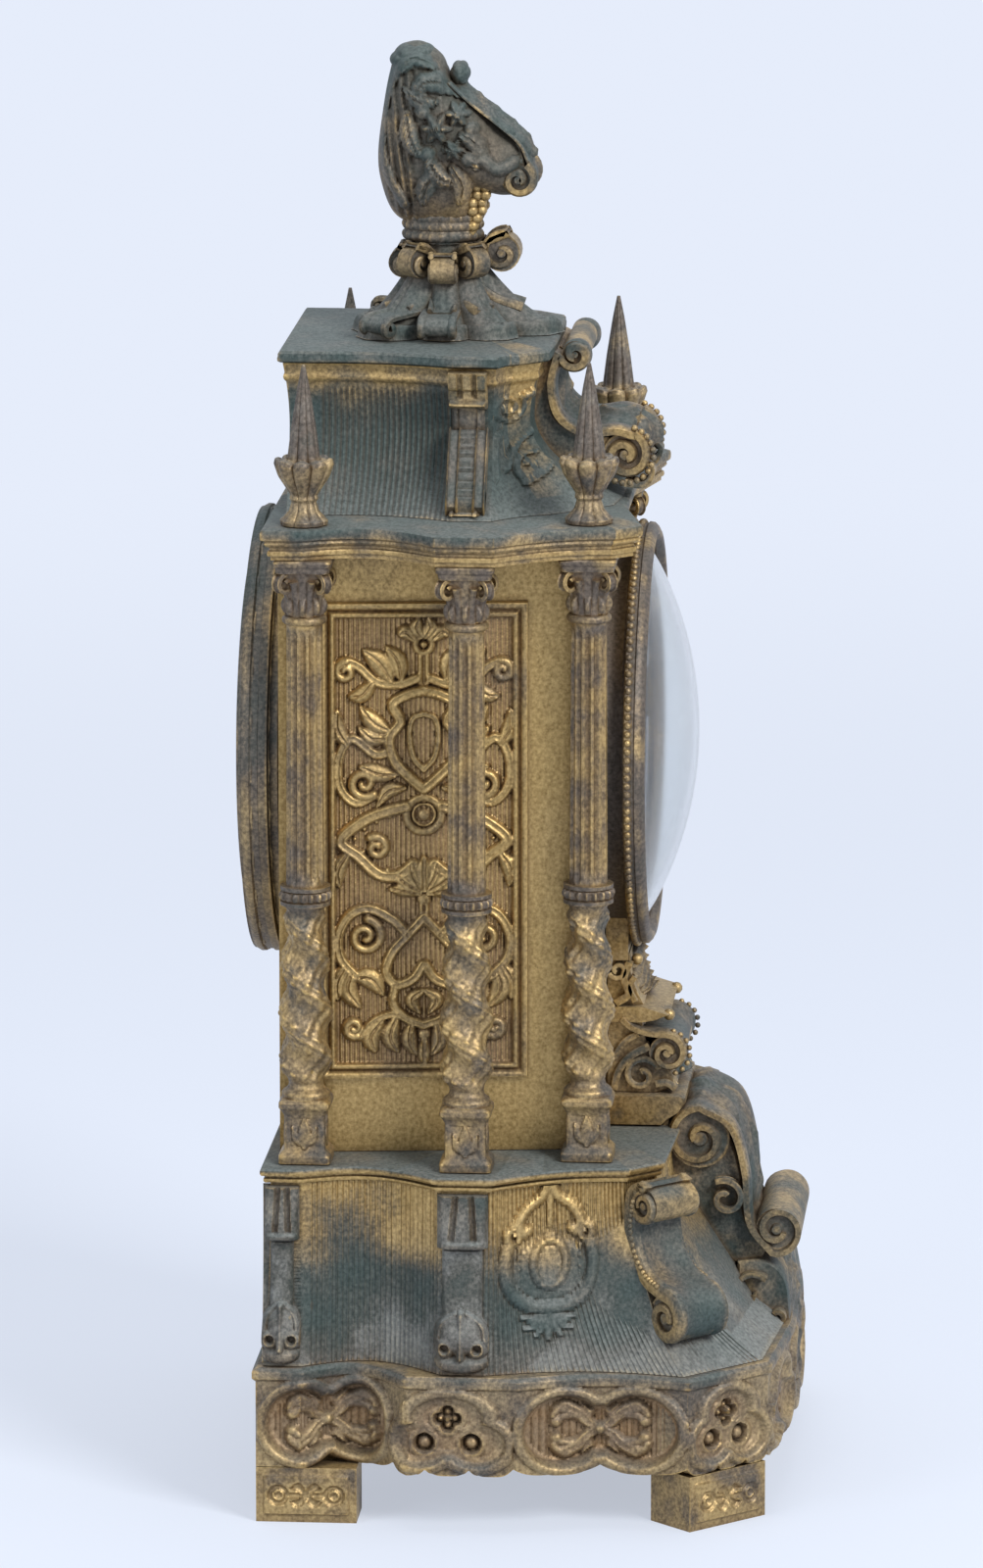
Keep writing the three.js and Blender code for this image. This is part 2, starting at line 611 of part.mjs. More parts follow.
// Columns: pedestal, twisted foot, beaded ring, fluted shaft and capital
const ringZ = PEDESTAL_HEIGHT + TWIST_HEIGHT;
const capitalZ = COLUMN_HEIGHT - CAPITAL_HEIGHT;
const twistRows = Array.from({ length: 6 }, (_, k) => {
  const share = k / 5;
  const z = PEDESTAL_HEIGHT + 5 + share * (TWIST_HEIGHT - 6);
  return [z, SHAFT_RADIUS * 1.04, 0.14, 2, share * 2.4 * Math.PI];
});
const columnRows = [
  [0.3 * PEDESTAL_HEIGHT, PEDESTAL_HALF],
  [PEDESTAL_HEIGHT, 0.92 * PEDESTAL_HALF],
  [PEDESTAL_HEIGHT + 0.5, 1.5 * SHAFT_RADIUS],
  [PEDESTAL_HEIGHT + 4, 1.5 * SHAFT_RADIUS],
  ...twistRows,
  [ringZ + 0.5, 1.4 * SHAFT_RADIUS],
  [ringZ + 6, 1.4 * SHAFT_RADIUS],
  [ringZ + 7, SHAFT_RADIUS, 0.05, 5],
  [capitalZ - 2, 0.92 * SHAFT_RADIUS, 0.05, 5],
  [capitalZ - 1.5, 1.15 * SHAFT_RADIUS],
  [capitalZ + 0.4 * CAPITAL_HEIGHT, 1.12 * SHAFT_RADIUS],
  [capitalZ + 0.85 * CAPITAL_HEIGHT, 0.98 * ABACUS_HALF],
];
function column() {
  const foot = new THREE.BoxGeometry(2 * PEDESTAL_HALF, 2 * PEDESTAL_HALF, 0.32 * PEDESTAL_HEIGHT);
  foot.translate(0, 0, 0.16 * PEDESTAL_HEIGHT);
  const abacus = new THREE.BoxGeometry(2 * ABACUS_HALF, 2 * ABACUS_HALF, 0.2 * CAPITAL_HEIGHT - SEAT);
  abacus.translate(0, 0, COLUMN_HEIGHT - SEAT - (0.2 * CAPITAL_HEIGHT - SEAT) / 2);
  return unite(turned(columnRows, COLUMN_SIDES), foot, abacus);
}
const columnPlaces = [
  ["rear", REAR_COLUMN_X, REAR_COLUMN_DEPTH],
  ["mid", MID_COLUMN_X, midColumnDepth],
  ["front", FRONT_COLUMN_X, frontColumnDepth],
];
columnPlaces.forEach(([row, x, depth]) => {
  add(`column_${row}_left`, column().translate(-x, -depth, platformZ), bronze);
  add(`column_${row}_right`, column().translate(x, -depth, platformZ), bronze);
});

// Ornament stage on the front of the case, under the dial
const stageTop = axisZ - bezelRadius - STAGE_GAP;
const stageSpot = (reach, rise) => [
  CASE_DEPTH + reach * STAGE_REACH, THREE.MathUtils.lerp(platformZ, stageTop, rise),
];
const stageOutline = [
  [CASE_DEPTH + SEAT, platformZ], stageSpot(0.77, 0), stageSpot(0.68, 0.075), stageSpot(1, 0.13),
  stageSpot(1, 0.245), stageSpot(0.73, 0.3), stageSpot(0.95, 0.38), stageSpot(0.91, 0.47), stageSpot(0.55, 0.51),
  stageSpot(0.73, 0.585), stageSpot(0.41, 0.68), stageSpot(0.32, 1), [CASE_DEPTH + SEAT, stageTop],
];
add("front_stage", profile(stageOutline, STAGE_HALF), verdigris);

// Entablature: a moulded frame over the columns, open over the case
const entablatureHollow = inset(wallPlan(-2), 12);
const architrave = inset(entablaturePlan, 2.5);
add("entablature", cut(
  loft([
    { plan: architrave, z: entablatureZ },
    { plan: architrave, z: entablatureZ + 0.45 * ENTABLATURE_HEIGHT },
    { plan: entablaturePlan, z: entablatureZ + 0.45 * ENTABLATURE_HEIGHT },
    { plan: entablaturePlan, z: roofZ - SEAT },
  ]),
  loft([{ plan: entablatureHollow, z: entablatureZ - 1 }, { plan: entablatureHollow, z: roofZ + 1 }]),
), verdigris);

// Spires on the four corners of the entablature
const spireRows = [
  [0, 0.75 * SPIRE_RADIUS, 0.06, 5],
  [0.1 * SPIRE_HEIGHT, 0.5 * SPIRE_RADIUS, 0.06, 5],
  [0.2 * SPIRE_HEIGHT, 0.5 * SPIRE_RADIUS, 0.06, 5],
  [0.38 * SPIRE_HEIGHT, 0.93 * SPIRE_RADIUS, 0.06, 5],
  [0.46 * SPIRE_HEIGHT, 0.94 * SPIRE_RADIUS, 0.06, 5],
  [0.49 * SPIRE_HEIGHT, 0.55 * SPIRE_RADIUS, 0.06, 5],
  [SPIRE_HEIGHT, 0.06 * SPIRE_RADIUS],
];
[columnPlaces[0], columnPlaces[2]].forEach(([row, x, depth]) => {
  add(`spire_${row}_left`, turned(spireRows, 10).translate(-x, -depth, roofZ), verdigris);
  add(`spire_${row}_right`, turned(spireRows, 10).translate(x, -depth, roofZ), verdigris);
});

// Roof: concave ribbed shell, flat cap and scrolled front gable
const roofShares = [0, 0.18, 0.4, 0.62, 0.84, 1];
const roofLevels = roofShares.map((share) => {
  const foot = Math.max(0, 1 - share / 0.6) ** 2;
  const lip = 0.6 * Math.max(0, (share - 0.55) / 0.45) ** 2;
  const neck = blend(roofNeckPlan, roofFootPlan, foot);
  return { plan: blend(neck, capPlan, lip), z: THREE.MathUtils.lerp(roofZ, capZ - SEAT, share) };
});
const roofHollow = loft([
  { plan: inset(roofLevels[0].plan, ROOF_WALL + 1), z: roofZ - 1 },
  ...roofLevels.slice(1, -1).map(({ plan, z }) => ({ plan: inset(plan, ROOF_WALL), z: z - 2 })),
]);
const rodHole = new THREE.CylinderGeometry(
  TIE_ROD_RADIUS + RUN, TIE_ROD_RADIUS + RUN, 2 * (cartoucheZ + CARTOUCHE_HEIGHT - roofZ), 10,
);
rodHole.rotateX(Math.PI / 2).translate(0, -CREST_DEPTH, roofZ);
add("roof_shell", cut(loft(roofLevels), roofHollow, rodHole), verdigris);
add("roof_cap", cut(loft([
  { plan: inset(capPlan, 1.5), z: capZ },
  { plan: capPlan, z: capZ + 0.4 * CAP_HEIGHT },
  { plan: capPlan, z: crestZ - SEAT },
]), rodHole), verdigris);

const roofRoom = loft([
  { plan: inset(roofFootPlan, -2 * SEAT), z: roofZ - 1 },
  ...roofLevels.slice(0, -1).map(({ plan, z }) => ({ plan: inset(plan, -2 * SEAT), z: z + SEAT })),
  { plan: inset(roofLevels.at(-1).plan, -2 * SEAT), z: capZ - 2 * SEAT },
  { plan: inset(capPlan, -SEAT), z: capZ - 2 * SEAT },
  { plan: inset(capPlan, -SEAT), z: crestZ + 1 },
]);
const gableFront = CASE_DEPTH + GABLE_OVERHANG;
const gableRear = gableFront - 1.8 * GABLE_THROAT;
const gableSpot = (back, rise) => [gableFront - back * GABLE_THROAT, roofZ + rise * ROOF_HEIGHT];
const [gableRollDepth] = gableSpot(0.81, 1);
const gableOutline = [
  [gableRear, roofZ], gableSpot(0.21, 0), gableSpot(0.175, 0.068),
  ...arc(gableFront - GABLE_VOLUTE_RADIUS, roofZ + 0.25 * ROOF_HEIGHT, GABLE_VOLUTE_RADIUS, -60, 100, 6),
  gableSpot(0.53, 0.432), gableSpot(0.81, 0.545), gableSpot(0.98, 0.705), gableSpot(1, 0.818),
  ...arc(gableRollDepth, capZ - 1, GABLE_ROLL_RADIUS, -120, 150, 7),
  [gableRear, capZ - 2],
];
add("roof_gable", cut(profile(gableOutline, GABLE_HALF), roofRoom), bronze);

// Crest: spreading foliage, cartouche, and the rod that ties them through the roof
const foliageRows = [
  [0, FOLIAGE_RADIUS, 0.12, 6],
  [0.12 * FOLIAGE_HEIGHT, 0.95 * FOLIAGE_RADIUS, 0.12, 6],
  [0.25 * FOLIAGE_HEIGHT, 0.68 * FOLIAGE_RADIUS, 0.08, 6],
  [0.5 * FOLIAGE_HEIGHT, 0.45 * FOLIAGE_RADIUS],
  [0.62 * FOLIAGE_HEIGHT, 1.5 * CREST_NECK_RADIUS],
  [0.82 * FOLIAGE_HEIGHT, 1.5 * CREST_NECK_RADIUS],
  [0.9 * FOLIAGE_HEIGHT, CREST_NECK_RADIUS],
  [FOLIAGE_HEIGHT - SEAT, CREST_NECK_RADIUS],
];
add("crest_foliage", cut(turned(foliageRows, 18).translate(0, -CREST_DEPTH, crestZ), rodHole), verdigris);

const cartoucheOutline = [
  [-8, 0], [4, 0], [10, 0.12], [14, 0.28], [22, 0.26], [27, 0.34], [27, 0.5],
  [20, 0.62], [10, 0.78], [1, 0.86], [-2, 0.97], [-10, 1], [-18, 0.94], [-17, 0.8], [-22, 0.5], [-18, 0.16],
].map(([forward, share]) => [CREST_DEPTH + forward, cartoucheZ + share * CARTOUCHE_HEIGHT]);
const crown = rim(1, 12).map((p) => [
  CARTOUCHE_HALF_WIDTH * Math.sign(p.x) * Math.abs(p.x) ** 0.7,
  cartoucheZ + CARTOUCHE_HEIGHT * (0.5 + 0.52 * p.y),
]);
const shield = slab(
  new THREE.Shape(crown.map(([x, z]) => new THREE.Vector2(x, z))), CREST_DEPTH - 40, CREST_DEPTH + 40,
);
const cartouche = skin(solid(profile(cartoucheOutline, CARTOUCHE_HALF_WIDTH)).intersect(solid(shield)));
const rodTop = cartoucheZ + 0.35 * CARTOUCHE_HEIGHT;
const rodSocket = new THREE.CylinderGeometry(
  TIE_ROD_RADIUS + RUN, TIE_ROD_RADIUS + RUN, rodTop + SEAT - crestZ, 10,
);
rodSocket.rotateX(Math.PI / 2).translate(0, -CREST_DEPTH, (rodTop + SEAT + crestZ) / 2);
add("crest_cartouche", cut(cartouche, rodSocket), verdigris);

const nutZ = roofLevels.at(-2).z - 2;
const rod = new THREE.CylinderGeometry(TIE_ROD_RADIUS, TIE_ROD_RADIUS, rodTop - nutZ + 8, 10);
rod.rotateX(Math.PI / 2).translate(0, -CREST_DEPTH, (rodTop + nutZ - 8) / 2);
const nut = new THREE.CylinderGeometry(TIE_NUT_RADIUS, TIE_NUT_RADIUS, TIE_NUT_HEIGHT, 6);
nut.rotateX(Math.PI / 2).translate(0, -CREST_DEPTH, nutZ - SEAT - TIE_NUT_HEIGHT / 2);
add("crest_tie_rod", unite(rod, nut), steel);

// Dial drum: spigot through the front wall, ledge for the dial, seat for the bezel, hinge barrel and pin
const plateFront = CASE_DEPTH - 8;
const drumFront = CASE_DEPTH + DRUM_FRONT;
const ledge = CASE_DEPTH + 2;
const hingeX = bezelRadius + HINGE_BARREL_RADIUS + RUN;
const hingeDepth = drumFront + 0.2;
function upright(radius, x, depth, z0, z1, sides) {
  const post = new THREE.CylinderGeometry(radius, radius, z1 - z0, sides);
  return post.rotateX(Math.PI / 2).translate(x, -depth, axisZ + (z0 + z1) / 2);
}
const knuckle = HINGE_LENGTH / 6;
const drumBody = spun([
  [FLANGE_INNER_RADIUS, plateFront + SEAT], [SPIGOT_RADIUS, plateFront + SEAT],
  [SPIGOT_RADIUS, CASE_DEPTH + SEAT], [DRUM_RADIUS, CASE_DEPTH + SEAT],
  [DRUM_RADIUS, drumFront], [DRUM_RADIUS - DRUM_WALL, drumFront],
  [DRUM_RADIUS - DRUM_WALL, ledge], [LEDGE_RADIUS, ledge],
  [LEDGE_RADIUS, plateFront + 3], [FLANGE_INNER_RADIUS, plateFront + 3],
  [FLANGE_INNER_RADIUS, plateFront + SEAT],
], ROUND_SIDES);
const drumLug = unite(
  drumBody,
  block(
    DRUM_RADIUS - 1, hingeX, hingeDepth - 2, hingeDepth - 0.4,
    axisZ - knuckle + RUN, axisZ + knuckle - RUN,
  ),
  upright(HINGE_BARREL_RADIUS, hingeX, hingeDepth, -knuckle + RUN, knuckle - RUN, 8),
);
add("dial_drum", unite(drumLug, upright(
  HINGE_PIN_RADIUS, hingeX, hingeDepth, -HINGE_LENGTH / 2 - 0.6, HINGE_LENGTH / 2 + 0.6, 8,
)), bronze);

// Bezel: beaded ring with a rebate for the domed glass, two hinge barrels
const bezelBack = drumFront + 0.3;
const bezelFront = bezelBack + BEZEL_THICKNESS;
const glassSeat = bezelBack + 2;
const bezelBody = spun([
  [GLASS_RADIUS - 4, bezelBack], [bezelRadius - 1, bezelBack], [bezelRadius, bezelBack + 1],
  [bezelRadius, bezelFront - 1.6], [bezelRadius - 2, bezelFront],
  [GLASS_RADIUS + RUN, bezelFront], [GLASS_RADIUS + RUN, glassSeat],
  [GLASS_RADIUS - 4, glassSeat], [GLASS_RADIUS - 4, bezelBack],
], ROUND_SIDES);
function doorLug(z0, z1) {
  return [
    block(bezelRadius - 3, hingeX, bezelBack + 0.3, bezelBack + 2, axisZ + z0, axisZ + z1),
    upright(HINGE_BARREL_RADIUS, hingeX, hingeDepth, z0, z1, 8),
  ];
}
add("bezel_ring", cut(
  unite(bezelBody, ...doorLug(knuckle + RUN, HINGE_LENGTH / 2), ...doorLug(-HINGE_LENGTH / 2, -knuckle - RUN)),
  upright(HINGE_PIN_RADIUS + RUN, hingeX, hingeDepth, -HINGE_LENGTH, HINGE_LENGTH, 8),
), brass);
const domeSteps = [1, 0.82, 0.58, 0.3];
const dome = (radius, foot) => domeSteps.slice(1).map((share) => (
  [radius * share, foot + GLASS_RISE * (1 - share ** 2)]
));
const glassFoot = glassSeat + RUN;
add("bezel_glass", spun([
  [GLASS_RADIUS - 3.5, glassFoot], [GLASS_RADIUS, glassFoot], [GLASS_RADIUS, glassFoot + GLASS_THICKNESS],
  ...dome(GLASS_RADIUS, glassFoot + GLASS_THICKNESS), [0, glassFoot + GLASS_THICKNESS + GLASS_RISE],
  [0, glassFoot + GLASS_RISE], ...dome(GLASS_RADIUS, glassFoot).reverse(), [GLASS_RADIUS - 3.5, glassFoot],
], ROUND_SIDES), crystal);

// Back: ring in the rear wall, dished door, hinge
const backHingeX = BACK_DOOR_RADIUS + HINGE_BARREL_RADIUS + RUN;
const backHingeDepth = -3.7;
const backRingBody = spun([
  [FLANGE_INNER_RADIUS + 3, 1], [BACK_OPENING_RADIUS - RUN, 1], [BACK_OPENING_RADIUS - RUN, -SEAT],
  [BACK_RING_RADIUS, -SEAT], [BACK_RING_RADIUS, -3.4], [BACK_OPENING_RADIUS - 3, -3.4],
  [BACK_OPENING_RADIUS - 3, -1.5], [FLANGE_INNER_RADIUS + 3, -1.5], [FLANGE_INNER_RADIUS + 3, 1],
], ROUND_SIDES);
const backRing = unite(
  backRingBody,
  block(
    BACK_RING_RADIUS - 2, backHingeX, backHingeDepth + 0.5, backHingeDepth + 2,
    axisZ - knuckle + RUN, axisZ + knuckle - RUN,
  ),
  upright(HINGE_BARREL_RADIUS, backHingeX, backHingeDepth, -knuckle + RUN, knuckle - RUN, 8),
);
const backPinHole = upright(
  HINGE_PIN_RADIUS + RUN, backHingeX, backHingeDepth, -HINGE_LENGTH, HINGE_LENGTH, 12,
);
add("back_ring", unite(backRing, upright(
  HINGE_PIN_RADIUS, backHingeX, backHingeDepth, -HINGE_LENGTH / 2 - 0.6, HINGE_LENGTH / 2 + 0.6, 8,
)), bronze);
const doorFace = -3.7;
const doorBack = doorFace - BACK_DOOR_DEPTH;
const doorBody = spun([
  [0, doorBack + 5.5], [BACK_DOOR_RADIUS - 12, doorBack + 5.5], [BACK_DOOR_RADIUS - 9, doorFace],
  [BACK_DOOR_RADIUS - 3, doorFace], [BACK_DOOR_RADIUS - 3, doorBack + 5], [BACK_DOOR_RADIUS, doorBack + 4],
  [BACK_DOOR_RADIUS, doorBack + 1.2], [BACK_DOOR_RADIUS - 2, doorBack], [BACK_DOOR_RADIUS - 6, doorBack + 1.5],
  [BACK_DOOR_RADIUS - 10, doorBack + 4], [0, doorBack + 3.5],
], ROUND_SIDES);
function backLug(z0, z1) {
  return [
    block(
      BACK_DOOR_RADIUS - 4, backHingeX, backHingeDepth - 2.2, backHingeDepth - 0.6, axisZ + z0, axisZ + z1,
    ),
    upright(HINGE_BARREL_RADIUS, backHingeX, backHingeDepth, z0, z1, 8),
  ];
}
add("back_door", cut(
  unite(doorBody, ...backLug(knuckle + RUN, HINGE_LENGTH / 2), ...backLug(-HINGE_LENGTH / 2, -knuckle - RUN)),
  backPinHole,
), bronze);

// Straps that draw the dial drum and the back ring together
add("strap_left", block(-STRAP_X - 1.3, -STRAP_X + 1.3, 1 + SEAT, plateFront, axisZ - 4, axisZ + 4), steel);
add("strap_right", block(STRAP_X - 1.3, STRAP_X + 1.3, 1 + SEAT, plateFront, axisZ - 4, axisZ + 4), steel);

// Places of the arbors on the movement, seen from the front
const frontPlateBack = plateFront - PLATE_THICKNESS;
const backPlateFront = frontPlateBack - PLATE_GAP;
const backPlateBack = backPlateFront - PLATE_THICKNESS;
const level = (share) => backPlateFront + share * PLATE_GAP;
const centreAt = new THREE.Vector2(0, 0);
const goingAt = new THREE.Vector2(BARREL_X, -BARREL_DROP);
const strikeAt = new THREE.Vector2(-BARREL_X, -BARREL_DROP);
const greatReach = centres(BARREL_MODULE, BARREL_TEETH, SECOND_LEAVES);
const secondReach = centres(SECOND_MODULE, SECOND_TEETH, CENTRE_LEAVES);
const span = goingAt.length();
const along = (secondReach ** 2 - greatReach ** 2 + span ** 2) / (2 * span);
const across = Math.sqrt(secondReach ** 2 - along ** 2);
const toward = goingAt.clone().normalize();
const secondAt = toward.clone().multiplyScalar(along).add(
  new THREE.Vector2(-toward.y, toward.x).multiplyScalar(across),
);
const thirdAt = polar(centreAt, centres(CENTRE_MODULE, TRAIN_TEETH, TRAIN_LEAVES), THIRD_ANGLE);
const escapeReach = centres(THIRD_MODULE, TRAIN_TEETH, TRAIN_LEAVES);
const escapeAt = new THREE.Vector2(0, thirdAt.y + Math.sqrt(escapeReach ** 2 - thirdAt.x ** 2));
const palletAt = new THREE.Vector2(0, escapeAt.y + ESCAPE_RADIUS + 2.4);
const pinAt = polar(strikeAt, greatReach, PIN_ANGLE);
const flyAt = polar(pinAt, centres(PIN_MODULE, SECOND_TEETH, FLY_LEAVES), FLY_ANGLE);
const hammerAt = new THREE.Vector2(HAMMER_X, HAMMER_Z);
const minuteAt = new THREE.Vector2(0, centres(MINUTE_MODULE, MINUTE_TEETH, CANNON_LEAVES));
const hourModule = (2 * minuteAt.y) / (HOUR_TEETH + MINUTE_LEAVES);
const pillarPlaces = [[-22, 36.5], [22, 36.5], [-14, -40], [14, -40]];

// Plates, with pivot holes, and pillars riveted into the back plate
function plate(holes) {
  const shape = new THREE.Shape(rim(PLATE_RADIUS, ROUND_SIDES, 0, axisZ));
  shape.holes = holes.map(([place, radius]) => new THREE.Path(rim(radius, 8, place.x, axisZ + place.y)));
  return shape;
}
const trainHoles = [secondAt, thirdAt, escapeAt, pinAt, flyAt].map((place) => [place, PIVOT_RADIUS + RUN]);
const windingHole = WINDING_RADIUS + RUN;
const pillarSpots = pillarPlaces.map(([x, z]) => new THREE.Vector2(x, z));
add("front_plate", unite(
  slab(plate([
    ...trainHoles, [centreAt, 1.4 + RUN], [palletAt, PIVOT_RADIUS + RUN], [hammerAt, PIVOT_RADIUS + RUN],
    [goingAt, windingHole], [strikeAt, windingHole], ...pillarSpots.map((place) => [place, 1.5 + RUN]),
  ]), frontPlateBack, plateFront),
  bar(PIVOT_RADIUS, minuteAt.x, minuteAt.y, frontPlateBack + 0.5, plateFront + 6.4),
), brass);
const pillars = pillarPlaces.flatMap(([x, z]) => [
  bar(PILLAR_RADIUS, x, z, backPlateFront - 0.5, frontPlateBack - SEAT),
  bar(1.5, x, z, frontPlateBack - 2, plateFront - 0.3),
]);
add("back_plate", unite(
  slab(plate([
    ...trainHoles, [centreAt, PIVOT_RADIUS + RUN], [palletAt, ARBOR_RADIUS + 0.5],
    [hammerAt, ARBOR_RADIUS + 0.3], [goingAt, PIVOT_RADIUS + RUN], [strikeAt, PIVOT_RADIUS + RUN],
  ]), backPlateBack, backPlateFront),
  ...pillars,
), brass);

// An arbor with its two pivots
function arbor(place, radius = ARBOR_RADIUS) {
  return unite(
    bar(radius, place.x, place.y, backPlateFront + 0.5, frontPlateBack - 0.5),
    bar(PIVOT_RADIUS, place.x, place.y, backPlateBack + 0.3, plateFront - 0.3),
  );
}
function gear(teeth, module, phase, place, depth0, depth1) {
  return slab(toothed(teeth, module, phase, place.x, place.y), depth0, depth1);
}

// Mainspring barrels with their great wheels, and the winding arbors through them
const greatPhase = radians(4);
function barrel(place) {
  const body = unite(
    bar(BARREL_RADIUS, place.x, place.y, level(0.08), level(0.6), 24),
    gear(BARREL_TEETH, BARREL_MODULE, greatPhase, place, level(0.59), level(0.645)),
  );
  return cut(body, bar(windingHole, place.x, place.y, backPlateFront, frontPlateBack));
}
function windingArbor(place) {
  const square = new THREE.Shape(rim(1.9, 4, place.x, axisZ + place.y, Math.PI / 4));
  const ratchet = slab(toothed(14, 0.9, 0, place.x, place.y), plateFront + 0.8, plateFront + 2.4);
  return unite(
    bar(WINDING_RADIUS, place.x, place.y, backPlateFront + 0.5, plateFront + 5.5),
    bar(PIVOT_RADIUS, place.x, place.y, backPlateBack + 0.3, backPlateFront + 2),
    ratchet,
    slab(square, plateFront + 5, ledge + DIAL_THICKNESS - 0.3),
  );
}
add("going_barrel", barrel(goingAt), brass);
add("strike_barrel", barrel(strikeAt), brass);
add("going_winding_arbor", windingArbor(goingAt), steel);
add("strike_winding_arbor", windingArbor(strikeAt), steel);

// Going train: second, centre, third and escape arbors
const secondPinion = meshed(goingAt, BARREL_TEETH, greatPhase, secondAt, SECOND_LEAVES);
add("second_wheel", unite(
  arbor(secondAt),
  gear(SECOND_LEAVES, BARREL_MODULE, secondPinion, secondAt, level(0.57), level(0.665)),
  gear(SECOND_TEETH, SECOND_MODULE, 0, secondAt, level(0.775), level(0.805)),
), brass);
const centrePinion = meshed(secondAt, SECOND_TEETH, 0, centreAt, CENTRE_LEAVES);
const cannonFront = ledge + DIAL_THICKNESS + 4.5;
add("centre_wheel", unite(
  bar(1.4, 0, 0, backPlateFront + 0.5, cannonFront + 1),
  bar(PIVOT_RADIUS, 0, 0, backPlateBack + 0.3, backPlateFront + 2),
  gear(CENTRE_LEAVES, SECOND_MODULE, centrePinion, centreAt, level(0.76), level(0.82)),
  gear(TRAIN_TEETH, CENTRE_MODULE, 0, centreAt, level(0.87), level(0.9)),
), brass);
const thirdPinion = meshed(centreAt, TRAIN_TEETH, 0, thirdAt, TRAIN_LEAVES);
add("third_wheel", unite(
  arbor(thirdAt, PIVOT_RADIUS),
  gear(TRAIN_LEAVES, CENTRE_MODULE, thirdPinion, thirdAt, level(0.85), level(0.92)),
  gear(TRAIN_TEETH, THIRD_MODULE, 0, thirdAt, level(0.71), level(0.737)),
), brass);
const escapePinion = meshed(thirdAt, TRAIN_TEETH, 0, escapeAt, TRAIN_LEAVES);
const escapeModule = (2 * ESCAPE_RADIUS) / (ESCAPE_TEETH + 1.6);
add("escape_wheel", unite(
  bar(0.6, escapeAt.x, escapeAt.y, backPlateBack + 0.3, plateFront - 0.3),
  gear(TRAIN_LEAVES, THIRD_MODULE, escapePinion, escapeAt, level(0.69), level(0.76)),
  gear(ESCAPE_TEETH, escapeModule, 0, escapeAt, level(0.37), level(0.4)),
), brass);

// Strike train: pin wheel and fly
const strikePinion = meshed(strikeAt, BARREL_TEETH, greatPhase, pinAt, SECOND_LEAVES);
const liftingPins = Array.from({ length: 8 }, (_, k) => {
  const spot = polar(pinAt, 0.72 * 0.5 * PIN_MODULE * SECOND_TEETH, 45 * k);
  return bar(0.7, spot.x, spot.y, level(0.74), level(0.79), 6);
});
add("pin_wheel", unite(
  arbor(pinAt),
  gear(SECOND_LEAVES, BARREL_MODULE, strikePinion, pinAt, level(0.57), level(0.665)),
  gear(SECOND_TEETH, PIN_MODULE, 0, pinAt, level(0.775), level(0.805)),
  ...liftingPins,
), brass);
const flyPinion = meshed(pinAt, SECOND_TEETH, 0, flyAt, FLY_LEAVES);
add("fly", unite(
  bar(PIVOT_RADIUS, flyAt.x, flyAt.y, backPlateBack + 0.3, plateFront - 0.3),
  gear(FLY_LEAVES, PIN_MODULE, flyPinion, flyAt, level(0.755), level(0.825)),
  block(flyAt.x - 6, flyAt.x + 6, level(0.2), level(0.52), axisZ + flyAt.y - 0.4, axisZ + flyAt.y + 0.4),
), brass);

// Escapement anchor with its crutch behind the back plate
const anchorDrop = ESCAPE_RADIUS + 2.4;
const anchorPoint = (x, lift) => {
  const reach = Math.sqrt((ESCAPE_RADIUS + lift) ** 2 - x ** 2);
  return new THREE.Vector2(palletAt.x + x, axisZ + palletAt.y - anchorDrop + reach);
};
const anchorArm = new THREE.Shape([
  anchorPoint(-5.6, 0.75), anchorPoint(-4.4, 0.8), anchorPoint(-2.2, 1.1), anchorPoint(2.2, 1.1),
  anchorPoint(4.4, 0.8), anchorPoint(5.6, 0.75), anchorPoint(6.2, 2.2), anchorPoint(3, 3.4),
  anchorPoint(-3, 3.4), anchorPoint(-6.2, 2.2),
]);
const crutchDepth = backPlateBack - 2.6;
const rodDepth = crutchDepth - 2;
const forkZ = axisZ + palletAt.y - 27;
add("pallet_anchor", unite(
  bar(PIVOT_RADIUS, 0, palletAt.y, crutchDepth - 0.4, plateFront - 0.3),
  slab(anchorArm, level(0.37), level(0.4)),
  block(-1.5, 1.5, crutchDepth, crutchDepth + 1.2, forkZ, axisZ + palletAt.y + 2),
  block(-4, 4, crutchDepth, crutchDepth + 1.2, forkZ, forkZ + 2.5),
  block(-4, -2.4, crutchDepth - 4.5, crutchDepth + 0.6, forkZ, forkZ + 2.5),
  block(2.4, 4, crutchDepth - 4.5, crutchDepth + 0.6, forkZ, forkZ + 2.5),
), steel);

// Pendulum on its pin in the back cock
const cockDepth = rodDepth - 6;
const cockFoot = backPlateBack - SEAT;
add("back_cock", unite(
  block(-11, 11, cockDepth, cockDepth + 2, axisZ + palletAt.y - 3, axisZ + palletAt.y + 6),
  block(-11, -7, cockDepth + 1, cockFoot, axisZ + palletAt.y + 1, axisZ + palletAt.y + 6),
  block(7, 11, cockDepth + 1, cockFoot, axisZ + palletAt.y + 1, axisZ + palletAt.y + 6),
  bar(PIVOT_RADIUS, 0, palletAt.y, cockDepth + 1, rodDepth + 0.6),
), brass);
const rodBottom = platformZ + PENDULUM_ROOM;
const bobZ = rodBottom + RATING_NUT_DROP + BOB_RADIUS;
add("pendulum_rod", cut(
  unite(
    bar(2.6, 0, palletAt.y, rodDepth - 2, rodDepth, 12),
    block(-1.2, 1.2, rodDepth - 2, rodDepth, rodBottom, axisZ + palletAt.y - 1),
    block(-2.6, 2.6, rodDepth - 3.2, rodDepth + 1.2, rodBottom + 1.5, rodBottom + 4.5),
  ),
  bar(PIVOT_RADIUS + RUN, 0, palletAt.y, rodDepth - 3, rodDepth + 1),
), steel);
const bobMiddle = rodDepth - 1;
